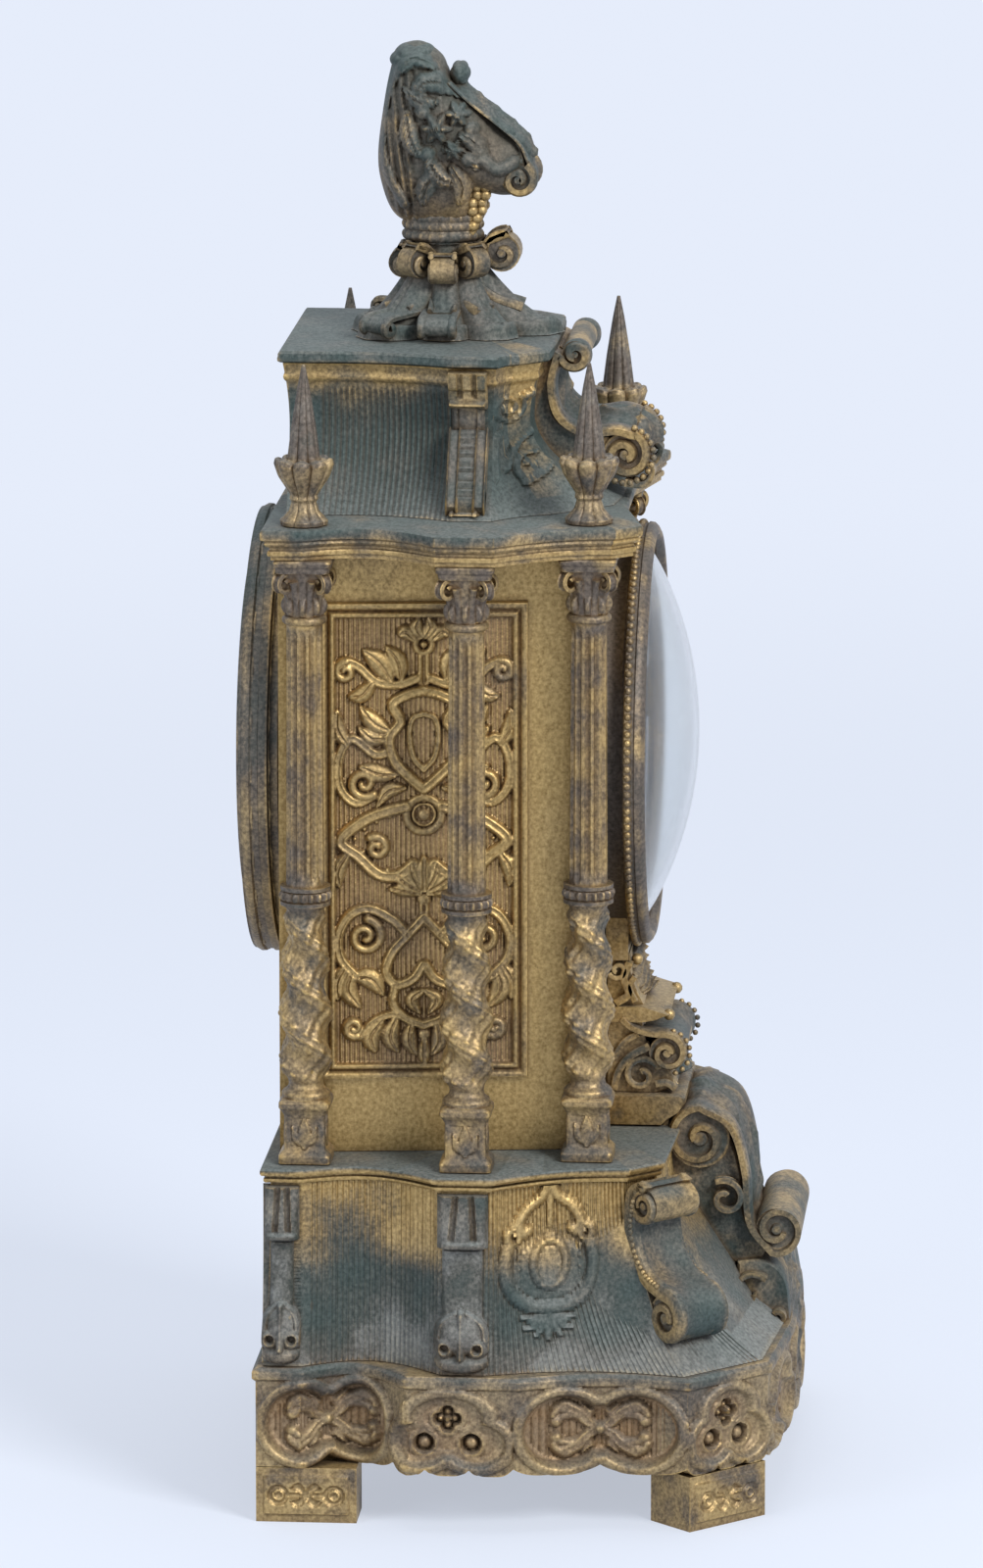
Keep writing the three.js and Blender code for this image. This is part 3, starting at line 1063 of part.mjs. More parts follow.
const bob = spun([
  [0, bobMiddle - 4], [0.5 * BOB_RADIUS, bobMiddle - 3.4], [BOB_RADIUS, bobMiddle - 0.8],
  [BOB_RADIUS, bobMiddle + 0.8], [0.5 * BOB_RADIUS, bobMiddle + 3.4], [0, bobMiddle + 4],
], 24).translate(0, 0, bobZ - axisZ);
add("pendulum_bob", cut(
  bob, block(-1.4, 1.4, rodDepth - 2.2, rodDepth + 0.2, bobZ - 2 * BOB_RADIUS, bobZ + 2 * BOB_RADIUS),
), brass);

// Bell, and the stand with its nut
const bellRim = backPlateBack - 12;
const bellTop = bellRim - BELL_HEIGHT;
const bellCurve = [[1, 1], [0.98, 0.8], [0.9, 0.5], [0.72, 0.24], [0.42, 0.06]];
add("bell", spun([
  ...bellCurve.map(([r, h]) => [BELL_RADIUS * r, bellTop + BELL_HEIGHT * h]),
  [2.3, bellTop], [2.3, bellTop + 2.2],
  ...bellCurve.map(([r, h]) => [(BELL_RADIUS - 2) * r, bellTop + 2.2 + (BELL_HEIGHT - 2.2) * h]).reverse(),
  [BELL_RADIUS, bellRim],
], 24), brass);
const standX = 14;
const standZ = -12;
const standArm = bellTop + 9;
add("bell_stand", unite(
  bar(2.5, standX, standZ, standArm, backPlateBack - SEAT),
  bar(4, 0, 0, bellTop + 2.2 + SEAT, standArm + 3.5, 12),
  bar(2, 0, 0, bellTop - 1, standArm + 2, 10),
  bar(4, 0, 0, bellTop - 3, bellTop - SEAT, 6),
  slab(new THREE.Shape([
    new THREE.Vector2(-1, axisZ - 3), new THREE.Vector2(standX - 1, axisZ + standZ - 2.4),
    new THREE.Vector2(standX + 1.5, axisZ + standZ + 2), new THREE.Vector2(2, axisZ + 3),
  ]), standArm + 0.4, standArm + 3),
), steel);

// Hammer on its arbor
const headAt = polar(centreAt, BELL_RADIUS + 5.6, 200);
const armTurn = Math.atan2(headAt.y - hammerAt.y, headAt.x - hammerAt.x);
const armDepth = backPlateBack - 4.5;
const hammerArm = new THREE.BoxGeometry(headAt.distanceTo(hammerAt), 1.6, 2.6);
hammerArm.rotateY(-armTurn).translate(
  (headAt.x + hammerAt.x) / 2, -(armDepth + 0.8), axisZ + (headAt.y + hammerAt.y) / 2,
);
add("strike_hammer", unite(
  bar(ARBOR_RADIUS, hammerAt.x, hammerAt.y, armDepth - 0.3, frontPlateBack - 0.5),
  bar(PIVOT_RADIUS, hammerAt.x, hammerAt.y, frontPlateBack - 2, plateFront - 0.3),
  hammerArm,
  bar(3.2, headAt.x, headAt.y, bellRim - 6, armDepth + 1.4, 12),
), steel);

// Dial with winding holes
const dialShape = new THREE.Shape(rim(DRUM_RADIUS - DRUM_WALL - RUN, ROUND_SIDES, 0, axisZ));
dialShape.holes = [
  new THREE.Path(rim(4.3, 12, 0, axisZ)),
  new THREE.Path(rim(3.2, 10, goingAt.x, axisZ + goingAt.y)),
  new THREE.Path(rim(3.2, 10, strikeAt.x, axisZ + strikeAt.y)),
];
add("dial", slab(dialShape, ledge + SEAT, ledge + SEAT + DIAL_THICKNESS), enamel);

// Motion work behind the dial, and the hands at nine minutes past ten
const cannonPhase = 0;
const minutePhase = meshed(centreAt, CANNON_LEAVES, cannonPhase, minuteAt, MINUTE_TEETH);
const motionA = plateFront + 1;
const motionB = plateFront + 3;
add("cannon_pinion", cut(
  unite(
    gear(CANNON_LEAVES, MINUTE_MODULE, cannonPhase, centreAt, motionA - 0.4, motionA + 1.8),
    bar(1.7 + RUN, 0, 0, motionA + 1.4, cannonFront, 12),
  ),
  bar(1.4 + RUN, 0, 0, plateFront - 1, cannonFront + 2, 12),
), steel);
add("minute_wheel", cut(
  unite(
    gear(MINUTE_TEETH, MINUTE_MODULE, minutePhase, minuteAt, motionA, motionA + 1.4),
    gear(MINUTE_LEAVES, hourModule, 0, minuteAt, motionA + 1, motionB + 2.2),
  ),
  bar(PIVOT_RADIUS + RUN, minuteAt.x, minuteAt.y, plateFront, motionB + 4),
), brass);
const hourPhase = meshed(minuteAt, MINUTE_LEAVES, 0, centreAt, HOUR_TEETH);
const hourFront = ledge + DIAL_THICKNESS + 1.8;
add("hour_wheel", cut(
  unite(
    gear(HOUR_TEETH, hourModule, hourPhase, centreAt, motionB + 0.4, motionB + 1.6),
    bar(3.2, 0, 0, motionB + 0.6, hourFront, 12),
  ),
  bar(2.3, 0, 0, plateFront, hourFront + 2, 12),
), brass);
function hand(length, hub, bore, width, clockwise, depth0, depth1) {
  const ring = new THREE.Shape(rim(hub, 14, 0, 0));
  const blade = new THREE.Shape([
    new THREE.Vector2(-0.35 * width, 0), new THREE.Vector2(-0.3 * width, 0.5 * length),
    new THREE.Vector2(-width, 0.66 * length), new THREE.Vector2(-0.3 * width, 0.8 * length),
    new THREE.Vector2(0, length), new THREE.Vector2(0.3 * width, 0.8 * length),
    new THREE.Vector2(width, 0.66 * length), new THREE.Vector2(0.3 * width, 0.5 * length),
    new THREE.Vector2(0.35 * width, 0),
  ]);
  const made = cut(
    unite(slab(ring, depth0, depth1), slab(blade, depth0, depth1)),
    slab(new THREE.Shape(rim(bore, 12)), depth0 - 1, depth1 + 1),
  );
  return made.rotateY(radians(clockwise)).translate(0, 0, axisZ);
}
const minutesShown = 9;
const hoursShown = 10 + minutesShown / 60;
add("hour_hand", hand(
  HOUR_HAND_LENGTH, 5.2, 3.2 + RUN, 3.6, 30 * hoursShown, hourFront - 1, hourFront - 0.2,
), steel);
add("minute_hand", hand(
  MINUTE_HAND_LENGTH, 4.2, 1.7 + 2 * RUN, 2.8, 6 * minutesShown, cannonFront - 1, cannonFront - 0.2,
), steel);

// The middle of the clock, front to back, stands on the origin
const bounds = new THREE.Box3().setFromObject(clock);
const middle = (bounds.min.y + bounds.max.y) / 2;
clock.children.forEach((piece) => piece.position.set(0, -middle, 0));

export default clock;
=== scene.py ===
import math

import bmesh
import bpy
import numpy as np
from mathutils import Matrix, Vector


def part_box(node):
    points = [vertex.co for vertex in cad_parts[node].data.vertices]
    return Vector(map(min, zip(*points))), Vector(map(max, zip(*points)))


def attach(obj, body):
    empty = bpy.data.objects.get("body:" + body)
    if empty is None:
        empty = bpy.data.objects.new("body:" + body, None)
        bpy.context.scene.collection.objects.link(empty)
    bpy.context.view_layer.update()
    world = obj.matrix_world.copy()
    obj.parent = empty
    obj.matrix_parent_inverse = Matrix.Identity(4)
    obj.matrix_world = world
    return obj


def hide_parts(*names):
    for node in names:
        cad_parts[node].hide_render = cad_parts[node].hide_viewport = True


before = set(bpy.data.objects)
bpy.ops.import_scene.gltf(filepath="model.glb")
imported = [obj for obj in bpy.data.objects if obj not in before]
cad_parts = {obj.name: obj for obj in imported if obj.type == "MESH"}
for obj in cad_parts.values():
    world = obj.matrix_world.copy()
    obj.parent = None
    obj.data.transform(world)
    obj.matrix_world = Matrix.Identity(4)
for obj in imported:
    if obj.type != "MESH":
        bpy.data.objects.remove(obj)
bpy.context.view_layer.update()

# Feet: four cast bronze blocks under the corners of the base, screwed to it from below.
# Each long face has a sunk panel with a small foliate rosette between two rings.
MM = 0.001
FOOT_HEIGHT = 17.3
FOOT_LENGTH = 31.0
FOOT_WIDTH = 18.0
FOOT_BORDER = 2.2
FOOT_SINK = 0.9
FOOT_STEPS = 72
BACK_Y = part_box("case_shell")[1].y


def place(x, depth, z):
    """Across, depth forward from the back of the case, and height in millimetres, as points in metres."""
    return np.stack(np.broadcast_arrays(x * MM, BACK_Y - depth * MM, z * MM), -1)


def quads(rows, cols, wrap=False):
    """Corner numbers of the faces of a grid that closes across, and also along if wrapped."""
    r, c = np.meshgrid(np.arange(rows if wrap else rows - 1), np.arange(cols), indexing="ij")
    r2, c2 = (r + 1) % rows, (c + 1) % cols
    return np.stack([r * cols + c, r * cols + c2, r2 * cols + c2, r2 * cols + c], -1).reshape(-1, 4)


def tube(rings, wrap=False, hollow=0.0):
    """Rings of points joined into one closed skin; the two ends get flat caps unless the rings wrap round.
    The hollow share of each point, 0 to 1, goes with it: the finish puts copper and painted shade there."""
    rows, cols = rings.shape[:2]
    faces = quads(rows, cols, wrap).tolist()
    if not wrap:
        faces.append(list(range(cols))[::-1])
        faces.append(list(range((rows - 1) * cols, rows * cols)))
    return rings.reshape(-1, 3), faces, np.broadcast_to(hollow, (rows, cols)).ravel()


def mirrored(part):
    """The same skin on the other side of the clock."""
    points, faces, hollow = part
    return points * (-1, 1, 1), faces, hollow


def cast(name, parts, look, slot, *nodes, body="case", crease=38):
    """One bronze piece made of closed skins, with its finish, on its body, in place of its plain solids."""
    starts = np.cumsum([0] + [len(part[0]) for part in parts])
    faces = [[k + start for k in face] for part, start in zip(parts, starts) for face in part[1]]
    mesh = bpy.data.meshes.new(name)
    mesh.from_pydata(np.concatenate([part[0] for part in parts]).tolist(), [], faces)
    hollow = mesh.attributes.new("hollow", "FLOAT", "POINT")
    hollow.data.foreach_set("value", np.concatenate([part[2] for part in parts]).astype(np.float32))
    work = bmesh.new()
    work.from_mesh(mesh)
    bmesh.ops.remove_doubles(work, verts=work.verts, dist=2e-6)
    bmesh.ops.recalc_face_normals(work, faces=work.faces)
    work.to_mesh(mesh)
    work.free()
    mesh.shade_smooth()
    mesh.set_sharp_from_angle(angle=math.radians(crease))
    mesh.materials.append(look)
    made = bpy.data.objects.new(name, mesh)
    bpy.context.scene.collection.objects.link(made)
    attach(made, body)
    if nodes:
        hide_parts(*nodes)


def cast_pair(name, parts, look, slot, node, crease=38):
    """One piece for the left side and its mirror image for the right."""
    cast(f"{name}_left", parts, look, slot, f"{node}_left", crease=crease)
    cast(f"{name}_right", [mirrored(part) for part in parts], look, slot, f"{node}_right", crease=crease)


def step(value, low, high):
    """Smooth rise from 0 at low to 1 at high."""
    share = np.clip((value - low) / (high - low), 0, 1)
    return share * share * (3 - 2 * share)


def arched(share):
    """Height of a half circle of radius 1: sqrt(1 - share^2), and 0 past its ends."""
    return np.sqrt(np.clip(1 - share ** 2, 0, None))


def ridge(u, v, path, half, height):
    """Rounded ridge along a path: height x the half circle of (distance / half), the highest stretch kept."""
    path = np.asarray(path, float)
    half = np.broadcast_to(half, len(path)).astype(float)
    height = np.broadcast_to(height, len(path)).astype(float)
    low, high = path.min(0) - half.max(), path.max(0) + half.max()
    near = (u > low[0]) & (u < high[0]) & (v > low[1]) & (v < high[1])
    rise = np.zeros(u.shape)
    if not near.any():
        return rise
    spots = np.stack([u[near], v[near]], -1)[:, None]
    run = np.diff(path, axis=0)
    share = np.clip(((spots - path[:-1]) * run).sum(-1) / (run ** 2).sum(-1), 0, 1)
    gap = np.linalg.norm(spots - path[:-1] - share[..., None] * run, axis=-1)
    wide = half[:-1] + share * np.diff(half)
    tall = height[:-1] + share * np.diff(height)
    rise[near] = (tall * arched(gap / wide)).max(-1)
    return rise


def knob(u, v, centre, radius, height):
    """Half ball: height x the half circle of (distance / radius)."""
    return height * arched(np.hypot(u - centre[0], v - centre[1]) / radius)


def spiral(centre, start, end, angle, turn, count=26):
    """Scroll whose radius runs evenly from start to end while it turns, in degrees."""
    share = np.linspace(0, 1, count)
    radius = start + (end - start) * share
    way = np.radians(angle + turn * share)
    return np.stack([centre[0] + radius * np.cos(way), centre[1] + radius * np.sin(way)], -1)


def bend(*points, count=18):
    """Smooth curve through the given points (Catmull-Rom)."""
    points = np.asarray(points, float)
    ends = np.concatenate([[2 * points[0] - points[1]], points, [2 * points[-1] - points[-2]]])
    t = np.linspace(0, len(points) - 1, count)
    k = np.minimum(t.astype(int), len(points) - 2)
    s = (t - k)[:, None]
    a, b, c, d = ends[k], ends[k + 1], ends[k + 2], ends[k + 3]
    square, cube = 2 * a - 5 * b + 4 * c - d, 3 * b - a - 3 * c + d
    return 0.5 * (2 * b + (c - a) * s + square * s ** 2 + cube * s ** 3)


def patina_and_shade_group():
    """Worn gilding, brown bronze, verdigris and dust, mixed by noise, hollows, edges and facing, with painted
    shade:
    crevices found by ambient occlusion and hollows are darkened towards black.
    """
    group = bpy.data.node_groups.new("patina_and_shade", "ShaderNodeTree")
    shares = {"Gilt": 0.5, "Green": 0.2, "Dust": 0.2, "Copper": 0.4, "Dark": 0.15, "Coarse": 60.0}
    for label, value in shares.items():
        socket = group.interface.new_socket(label, in_out="INPUT", socket_type="NodeSocketFloat")
        socket.default_value = value
    for label in ("Color", "Roughness", "Metallic", "Height"):
        kind = "NodeSocketColor" if label == "Color" else "NodeSocketFloat"
        group.interface.new_socket(label, in_out="OUTPUT", socket_type=kind)
    nodes, links = group.nodes, group.links
    given = nodes.new("NodeGroupInput")
    gilding, verdigris, dusting, coppering, hollow_shade_share, coarse = given.outputs[:6]
    result = nodes.new("NodeGroupOutput")
    spot = nodes.new("ShaderNodeTexCoord").outputs["Object"]
    shape = nodes.new("ShaderNodeNewGeometry")

    def feed(socket, value):
        """Link a socket to another node, or set it to a plain value."""
        if isinstance(value, bpy.types.NodeSocket):
            links.new(value, socket)
        else:
            socket.default_value = value

    def maths(kind, a, b, clamp=False):
        """One sum of two values, kept between 0 and 1 if clamped."""
        node = nodes.new("ShaderNodeMath")
        node.operation, node.use_clamp = kind, clamp
        feed(node.inputs[0], a)
        feed(node.inputs[1], b)
        return node.outputs[0]

    def plus(a, b):
        """a + b."""
        return maths("ADD", a, b)

    def minus(a, b):
        """a - b."""
        return maths("SUBTRACT", a, b)

    def times(a, b, clamp=False):
        """a x b."""
        return maths("MULTIPLY", a, b, clamp)

    def most(a, b, clamp=False):
        """The larger of a and b."""
        return maths("MAXIMUM", a, b, clamp)

    def speckle(scale, detail, rough):
        """Noise over the piece, 0 to 1, with so many grains to the metre."""
        node = nodes.new("ShaderNodeTexNoise")
        links.new(spot, node.inputs["Vector"])
        feed(node.inputs["Scale"], scale)
        node.inputs["Detail"].default_value = detail
        node.inputs["Roughness"].default_value = rough
        return node.outputs["Fac"]

    def ramp(value, low, high):
        """Smooth rise from 0 at low to 1 at high."""
        node = nodes.new("ShaderNodeMapRange")
        node.interpolation_type = "SMOOTHSTEP"
        feed(node.inputs["Value"], value)
        node.inputs["From Min"].default_value = low
        node.inputs["From Max"].default_value = high
        return node.outputs["Result"]

    def mix(share, a, b, kind="FLOAT"):
        """a + (b - a) x share."""
        node = nodes.new("ShaderNodeMix")
        node.data_type = kind
        first, second, mixed = {"RGBA": (6, 7, 2), "FLOAT": (2, 3, 0)}[kind]
        feed(node.inputs[0], share)
        feed(node.inputs[first], a)
        feed(node.inputs[second], b)
        return node.outputs[mixed]

    def tinted(share, a, b):
        """The same for two colours."""
        return mix(share, a, b, "RGBA")

    broad = speckle(coarse, 2, 0.45)
    fine = speckle(850, 5, 0.6)
    grain = ramp(fine, 0.15, 0.85)
    grit = speckle(2600, 2, 0.5)
    pits = ramp(speckle(1100, 4, 0.6), 0.6, 0.72)
    # Ambient occlusion finds the crevices, where shade falls; the crevice mask below puts copper and painted
    # shade in them.
    shade = nodes.new("ShaderNodeAmbientOcclusion")
    shade.samples = 6
    shade.inputs["Distance"].default_value = 0.0035
    attribute = nodes.new("ShaderNodeAttribute")
    attribute.attribute_name = "hollow"
    carved = attribute.outputs["Fac"]
    deep = ramp(shade.outputs["AO"], 0.8, 0.25)
    edge = ramp(shape.outputs["Pointiness"], 0.515, 0.59)
    split = nodes.new("ShaderNodeSeparateXYZ")
    links.new(shape.outputs["Normal"], split.inputs[0])
    facing_up = ramp(split.outputs["Z"], 0.15, 0.95)

    brown = tinted(grain, (0.046, 0.036, 0.029, 1), (0.18, 0.146, 0.117, 1))
    gold = tinted(grain, (0.23, 0.146, 0.05, 1), (0.6, 0.42, 0.175, 1))
    green = tinted(grain, (0.018, 0.029, 0.026, 1), (0.068, 0.095, 0.09, 1))
    copper = tinted(grain, (0.2, 0.116, 0.055, 1), (0.44, 0.285, 0.145, 1))
    dust = tinted(grain, (0.125, 0.136, 0.13, 1), (0.28, 0.3, 0.29, 1))
    tone = plus(times(minus(broad, 0.5), 1.2), times(minus(fine, 0.5), 0.36))
    gilt = ramp(plus(plus(gilding, tone), times(edge, 0.35)), 0.18, 0.82)
    grown = ramp(minus(minus(verdigris, tone), times(edge, 0.2)), 0.15, 0.85)
    rust = times(most(deep, carved), coppering, clamp=True)
    lying = times(times(facing_up, ramp(fine, -0.3, 0.6)), dusting, clamp=True)
    film = times(ramp(plus(broad, tone), 0.35, 0.85), times(dusting, 0.75))
    settled = most(lying, film)
    # Painted shade: crevices and, by the dark share, hollows darkened towards near black; the pits are real.
    black = most(plus(times(deep, 0.5), times(carved, hollow_shade_share)), times(pits, 0.3), clamp=True)

    colour = tinted(grown, tinted(gilt, brown, gold), green)
    colour = tinted(settled, tinted(rust, colour, copper), dust)
    links.new(tinted(black, colour, (0.012, 0.01, 0.008, 1)), result.inputs["Color"])
    rough = mix(settled, mix(grown, mix(gilt, 0.52, 0.4), 0.62), 0.9)
    links.new(plus(rough, times(minus(grit, 0.5), 0.18)), result.inputs["Roughness"])
    metal = mix(grown, mix(gilt, 0.45, 0.78), 0.12)
    links.new(mix(settled, metal, 0.0), result.inputs["Metallic"])
    links.new(plus(fine, times(grit, 0.5)), result.inputs["Height"])
    return group


PATINA_AND_SHADE = patina_and_shade_group()


def bronze(name, gilt, green, dust, copper=0.4, dark=0.15, coarse=60.0, bump=0.3):
    """Aged bronze of one piece, with painted shade in its crevices and hollows. A share is one number, or
    pairs of height in millimetres and share.
    """
    look = bpy.data.materials.new(name)
    look.use_nodes = True
    nodes, links = look.node_tree.nodes, look.node_tree.links
    shader = nodes["Principled BSDF"]
    aged_and_shaded = nodes.new("ShaderNodeGroup")
    aged_and_shaded.node_tree = PATINA_AND_SHADE
    spot = nodes.new("ShaderNodeTexCoord")
    shares = {"Gilt": gilt, "Green": green, "Dust": dust, "Copper": copper, "Dark": dark, "Coarse": coarse}
    for label, value in shares.items():
        if isinstance(value, float):
            aged_and_shaded.inputs[label].default_value = value
            continue
        split = nodes.new("ShaderNodeSeparateXYZ")
        links.new(spot.outputs["Object"], split.inputs[0])
        low, high = value[0][0], value[-1][0]
        share = nodes.new("ShaderNodeMapRange")
        links.new(split.outputs["Z"], share.inputs["Value"])
        share.inputs["From Min"].default_value = low * MM
        share.inputs["From Max"].default_value = high * MM
        ramp = nodes.new("ShaderNodeValToRGB")
        links.new(share.outputs["Result"], ramp.inputs["Fac"])
        stops = ramp.color_ramp.elements
        for _ in value[2:]:
            stops.new(0.5)
        for stop, (height, amount) in zip(stops, value):
            stop.position = (height - low) / (high - low)
            stop.color = (amount, amount, amount, 1)
        links.new(ramp.outputs["Color"], aged_and_shaded.inputs[label])
    relief = nodes.new("ShaderNodeBump")
    relief.inputs["Strength"].default_value = bump
    relief.inputs["Distance"].default_value = 0.0004
    links.new(aged_and_shaded.outputs["Height"], relief.inputs["Height"])
    links.new(relief.outputs["Normal"], shader.inputs["Normal"])
    for given, socket in (("Color", "Base Color"), ("Roughness", "Roughness"), ("Metallic", "Metallic")):
        links.new(aged_and_shaded.outputs[given], shader.inputs[socket])
    shader.inputs["Specular IOR Level"].default_value = 0.3
    return look


def foot_relief(u, v):
    """Sunk panel, a rosette of four leaves on a small square, and a looped ring at each end."""
    inner = np.minimum(FOOT_LENGTH / 2 - FOOT_BORDER - np.abs(u), FOOT_HEIGHT / 2 - FOOT_BORDER - np.abs(v))
    rise = -FOOT_SINK * step(inner, 0.0, 0.6)
    u, v = np.abs(u), np.abs(v)
    end = (8.6, 0)
    swell = [0.5, 0.9, 1.2, 1.4, 1.2, 0.8, 0.4]
    return rise + np.maximum.reduce([
        ridge(u, v, bend((0.6, 0.6), (2.4, 2.6), (4.4, 2.2), count=7), swell, 1.1),
        ridge(u, v, spiral(end, 2.6, 2.6, 0, 360), 0.75, 0.9),
        ridge(u, v, [(2.4, 0), (6.0, 0)], 0.8, 0.9),
        knob(u, v, (0, 0), 1.5, 1.2),
        knob(u, v, end, 1.1, 0.9),
    ])


def foot(start, along, inward):
    """Upright block: its plan runs a foot's length along and a foot's width inward from a corner, and each
    long side is a grid pushed out along its normal by the relief."""
    start, along, inward = np.array(start), np.array(along) * FOOT_LENGTH, np.array(inward) * FOOT_WIDTH
    corners = np.array([start, start + along, start + along + inward, start + inward])
    share = np.linspace(0, 1, FOOT_STEPS, endpoint=False)
    z = np.linspace(0, FOOT_HEIGHT, 44)[:, None]
    sides = []
    for first, second in zip(corners, np.roll(corners, -1, axis=0)):
        run = second - first
        length = np.hypot(*run)
        normal = np.array([run[1], -run[0]]) / length
        relief = foot_relief(*np.broadcast_arrays((share - 0.5) * length, z - FOOT_HEIGHT / 2))
        rise = relief * (length > FOOT_WIDTH + 1)
        sides.append(first + share[:, None] * run + normal * rise[..., None])
    out = np.concatenate(sides, 1)
    return tube(place(out[..., 0], out[..., 1], z))


foot_bronze = bronze("foot_bronze", 0.52, 0.05, 0.15, copper=0.7, coarse=90.0)
BAND_REAR_HALF, BAND_REAR_DEPTH = 97.0, -5.0
DIAGONAL = math.sqrt(0.5)
CANT_MIDDLE = (-88.33, 139.67)
CANT_CORNER = np.array(CANT_MIDDLE) - np.array((DIAGONAL, DIAGONAL)) * FOOT_LENGTH / 2
rear_foot = foot((-BAND_REAR_HALF, BAND_REAR_DEPTH), (0.0, 1.0), (1.0, 0.0))
front_foot = foot(CANT_CORNER, (DIAGONAL, DIAGONAL), (DIAGONAL, -DIAGONAL))
cast_pair("rear_foot", [rear_foot], foot_bronze, "gilt_bronze", "foot_rear")
cast_pair("front_foot", [front_foot], foot_bronze, "gilt_bronze", "foot_front")

# Plinth band: a hollow cast frame that carries everything above it, chased and gilded.
# Lobed panels with rolled rims are sunk in its sides, cants and front, and its lower edge follows the lobes.
# The back has one plain sunk field.
BAND_Z = 17.5
BAND_LIP_Z = 45.0
BAND_TOP_Z = 48.8
BAND_LIP = 1.2
CAST_WALL = 5.0
BAND_SHELF = 17.0
BAND_SINK = 3.0
REAR_HALF, MID_HALF, CORNER_HALF = 77.0, 84.0, 67.0
REAR_DEPTH, MID_DEPTH, CORNER_DEPTH = 9.0, 59.0, 95.0
CORNER_DRAW, CANT_DRAW = 0.707, 0.414
STRETCHES = (50, 20, 74, 66, 116, 64, 20, 80)


def storey(side, rear, corner, cant, bow, bow_half, pier, hollow, counts=STRETCHES):
    """Plan of one storey, left rear round to right rear: piers at the columns, hollow bays of half a sine
    wave between them, a cant at 45 degrees across each front corner and a bowed front."""
    rear_half, mid_half, corner_half = REAR_HALF + side, MID_HALF + side, CORNER_HALF + corner
    reach = cant * DIAGONAL
    front = CORNER_DEPTH + corner + reach
    knots = [
        (0, REAR_DEPTH - rear), (rear_half, REAR_DEPTH - rear), (rear_half, REAR_DEPTH),
        (mid_half, MID_DEPTH - pier), (mid_half, MID_DEPTH + pier), (corner_half, CORNER_DEPTH + corner),
        (corner_half - reach, front), (bow_half, front + bow), (0, front + bow),
    ]
    depths = (0, 0, hollow, 0, 0.5 * hollow, 0, 0, 0)
    half = []
    for (x0, d0), (x1, d1), count, dip in zip(knots, knots[1:], counts, depths):
        share = np.linspace(0, 1, count, endpoint=False)
        x = x0 + (x1 - x0) * share - dip * np.sin(np.pi * share)
        half.append(np.stack([-x, d0 + (d1 - d0) * share], -1))
    half = np.concatenate(half + [[[0, knots[-1][1]]]])
    return np.concatenate([half, half[-2:0:-1] * (-1, 1)])


def drawn_in(by, side, rear, corner, cant, *rest):
    """Plan of a storey drawn in by the same distance all round; its cants shorten to suit."""
    return storey(side - by, rear - by, corner - CORNER_DRAW * by, cant - CANT_DRAW * by, *rest)


def outward(plan):
    """Unit normals of a closed plan, square to the chord between each point's two neighbours."""
    chord = np.roll(plan, -1, axis=0) - np.roll(plan, 1, axis=0)
    chord = chord / np.maximum(np.linalg.norm(chord, axis=1), 1e-9)[:, None]
    return np.stack([-chord[:, 1], chord[:, 0]], -1)


def run_along(path):
    """Length along a path up to each of its points."""
    return np.cumsum(np.r_[0, np.linalg.norm(np.diff(path, axis=0), axis=1)])


def lobes(u, v, *ovals):
    """Distance from the edge of joined ovals (centre u, centre v, half width, half height), minus inside."""
    gaps = [
        (np.hypot((u - a) / wide, (v - b) / tall) - 1) * min(wide, tall)
        for a, b, wide, tall in ovals
    ]
    return np.minimum.reduce(gaps)


def sunk(edge, sink):
    """A sunk field with a rolled rim and a fine inner bead, from the distance to its edge."""
    bead = 0.55 * arched((edge + 1.6) / 0.7)
    return 2.0 * arched((edge - 1.3) / 1.6) - sink * step(-edge, 0.2, 1.6) + bead * (edge < 0)


def wide_panel(u, v, width, height):
    """Two lobes side by side, filled with a crossed foliate scroll round a boss on a combed ground."""
    half, tall = width / 2 - 2.6, height / 2 - 2.4
    lobe = (half * 0.46, 0, half * 0.54, tall)
    edge = lobes(np.abs(u), v, lobe, (0, 0, half * 0.5, tall * 0.72))
    a, b = np.abs(u) / 1.28, np.abs(v) / 1.16
    arm = bend((0.4, 0.3), (2.6, 1.5), (5.2, 4.4), (8.2, 6.0), count=12)
    curl = bend((5.0, 4.0), (8.6, 3.6), (10.6, 1.9), count=8)
    hook = bend((8.0, 6.0), (10.2, 5.4), (11.2, 3.8), count=6)
    spray = bend((3.0, 2.4), (2.6, 5.0), (4.4, 7.4), count=8)
    carving = np.maximum.reduce([
        ridge(a, b, arm, np.linspace(1.2, 2.3, 12), 2.6) - ridge(a, b, arm, 0.6, 0.6),
        ridge(a, b, curl, np.linspace(1.6, 1.2, 8), 2.3),
        ridge(a, b, hook, np.linspace(1.8, 1.0, 6), 2.4),
        ridge(a, b, spray, [1.0, 1.2, 1.4, 1.5, 1.4, 1.2, 0.8, 0.4], 2.1),
        knob(a, b, (10.4, 2.2), 1.7, 2.8),
        knob(u, v, (0, 0), 2.3, 3.6),
        0.22 * (1 + np.cos(2 * np.pi * u / 1.2)),
    ])
    return sunk(edge, BAND_SINK) + step(-edge, 1.6, 2.4) * carving


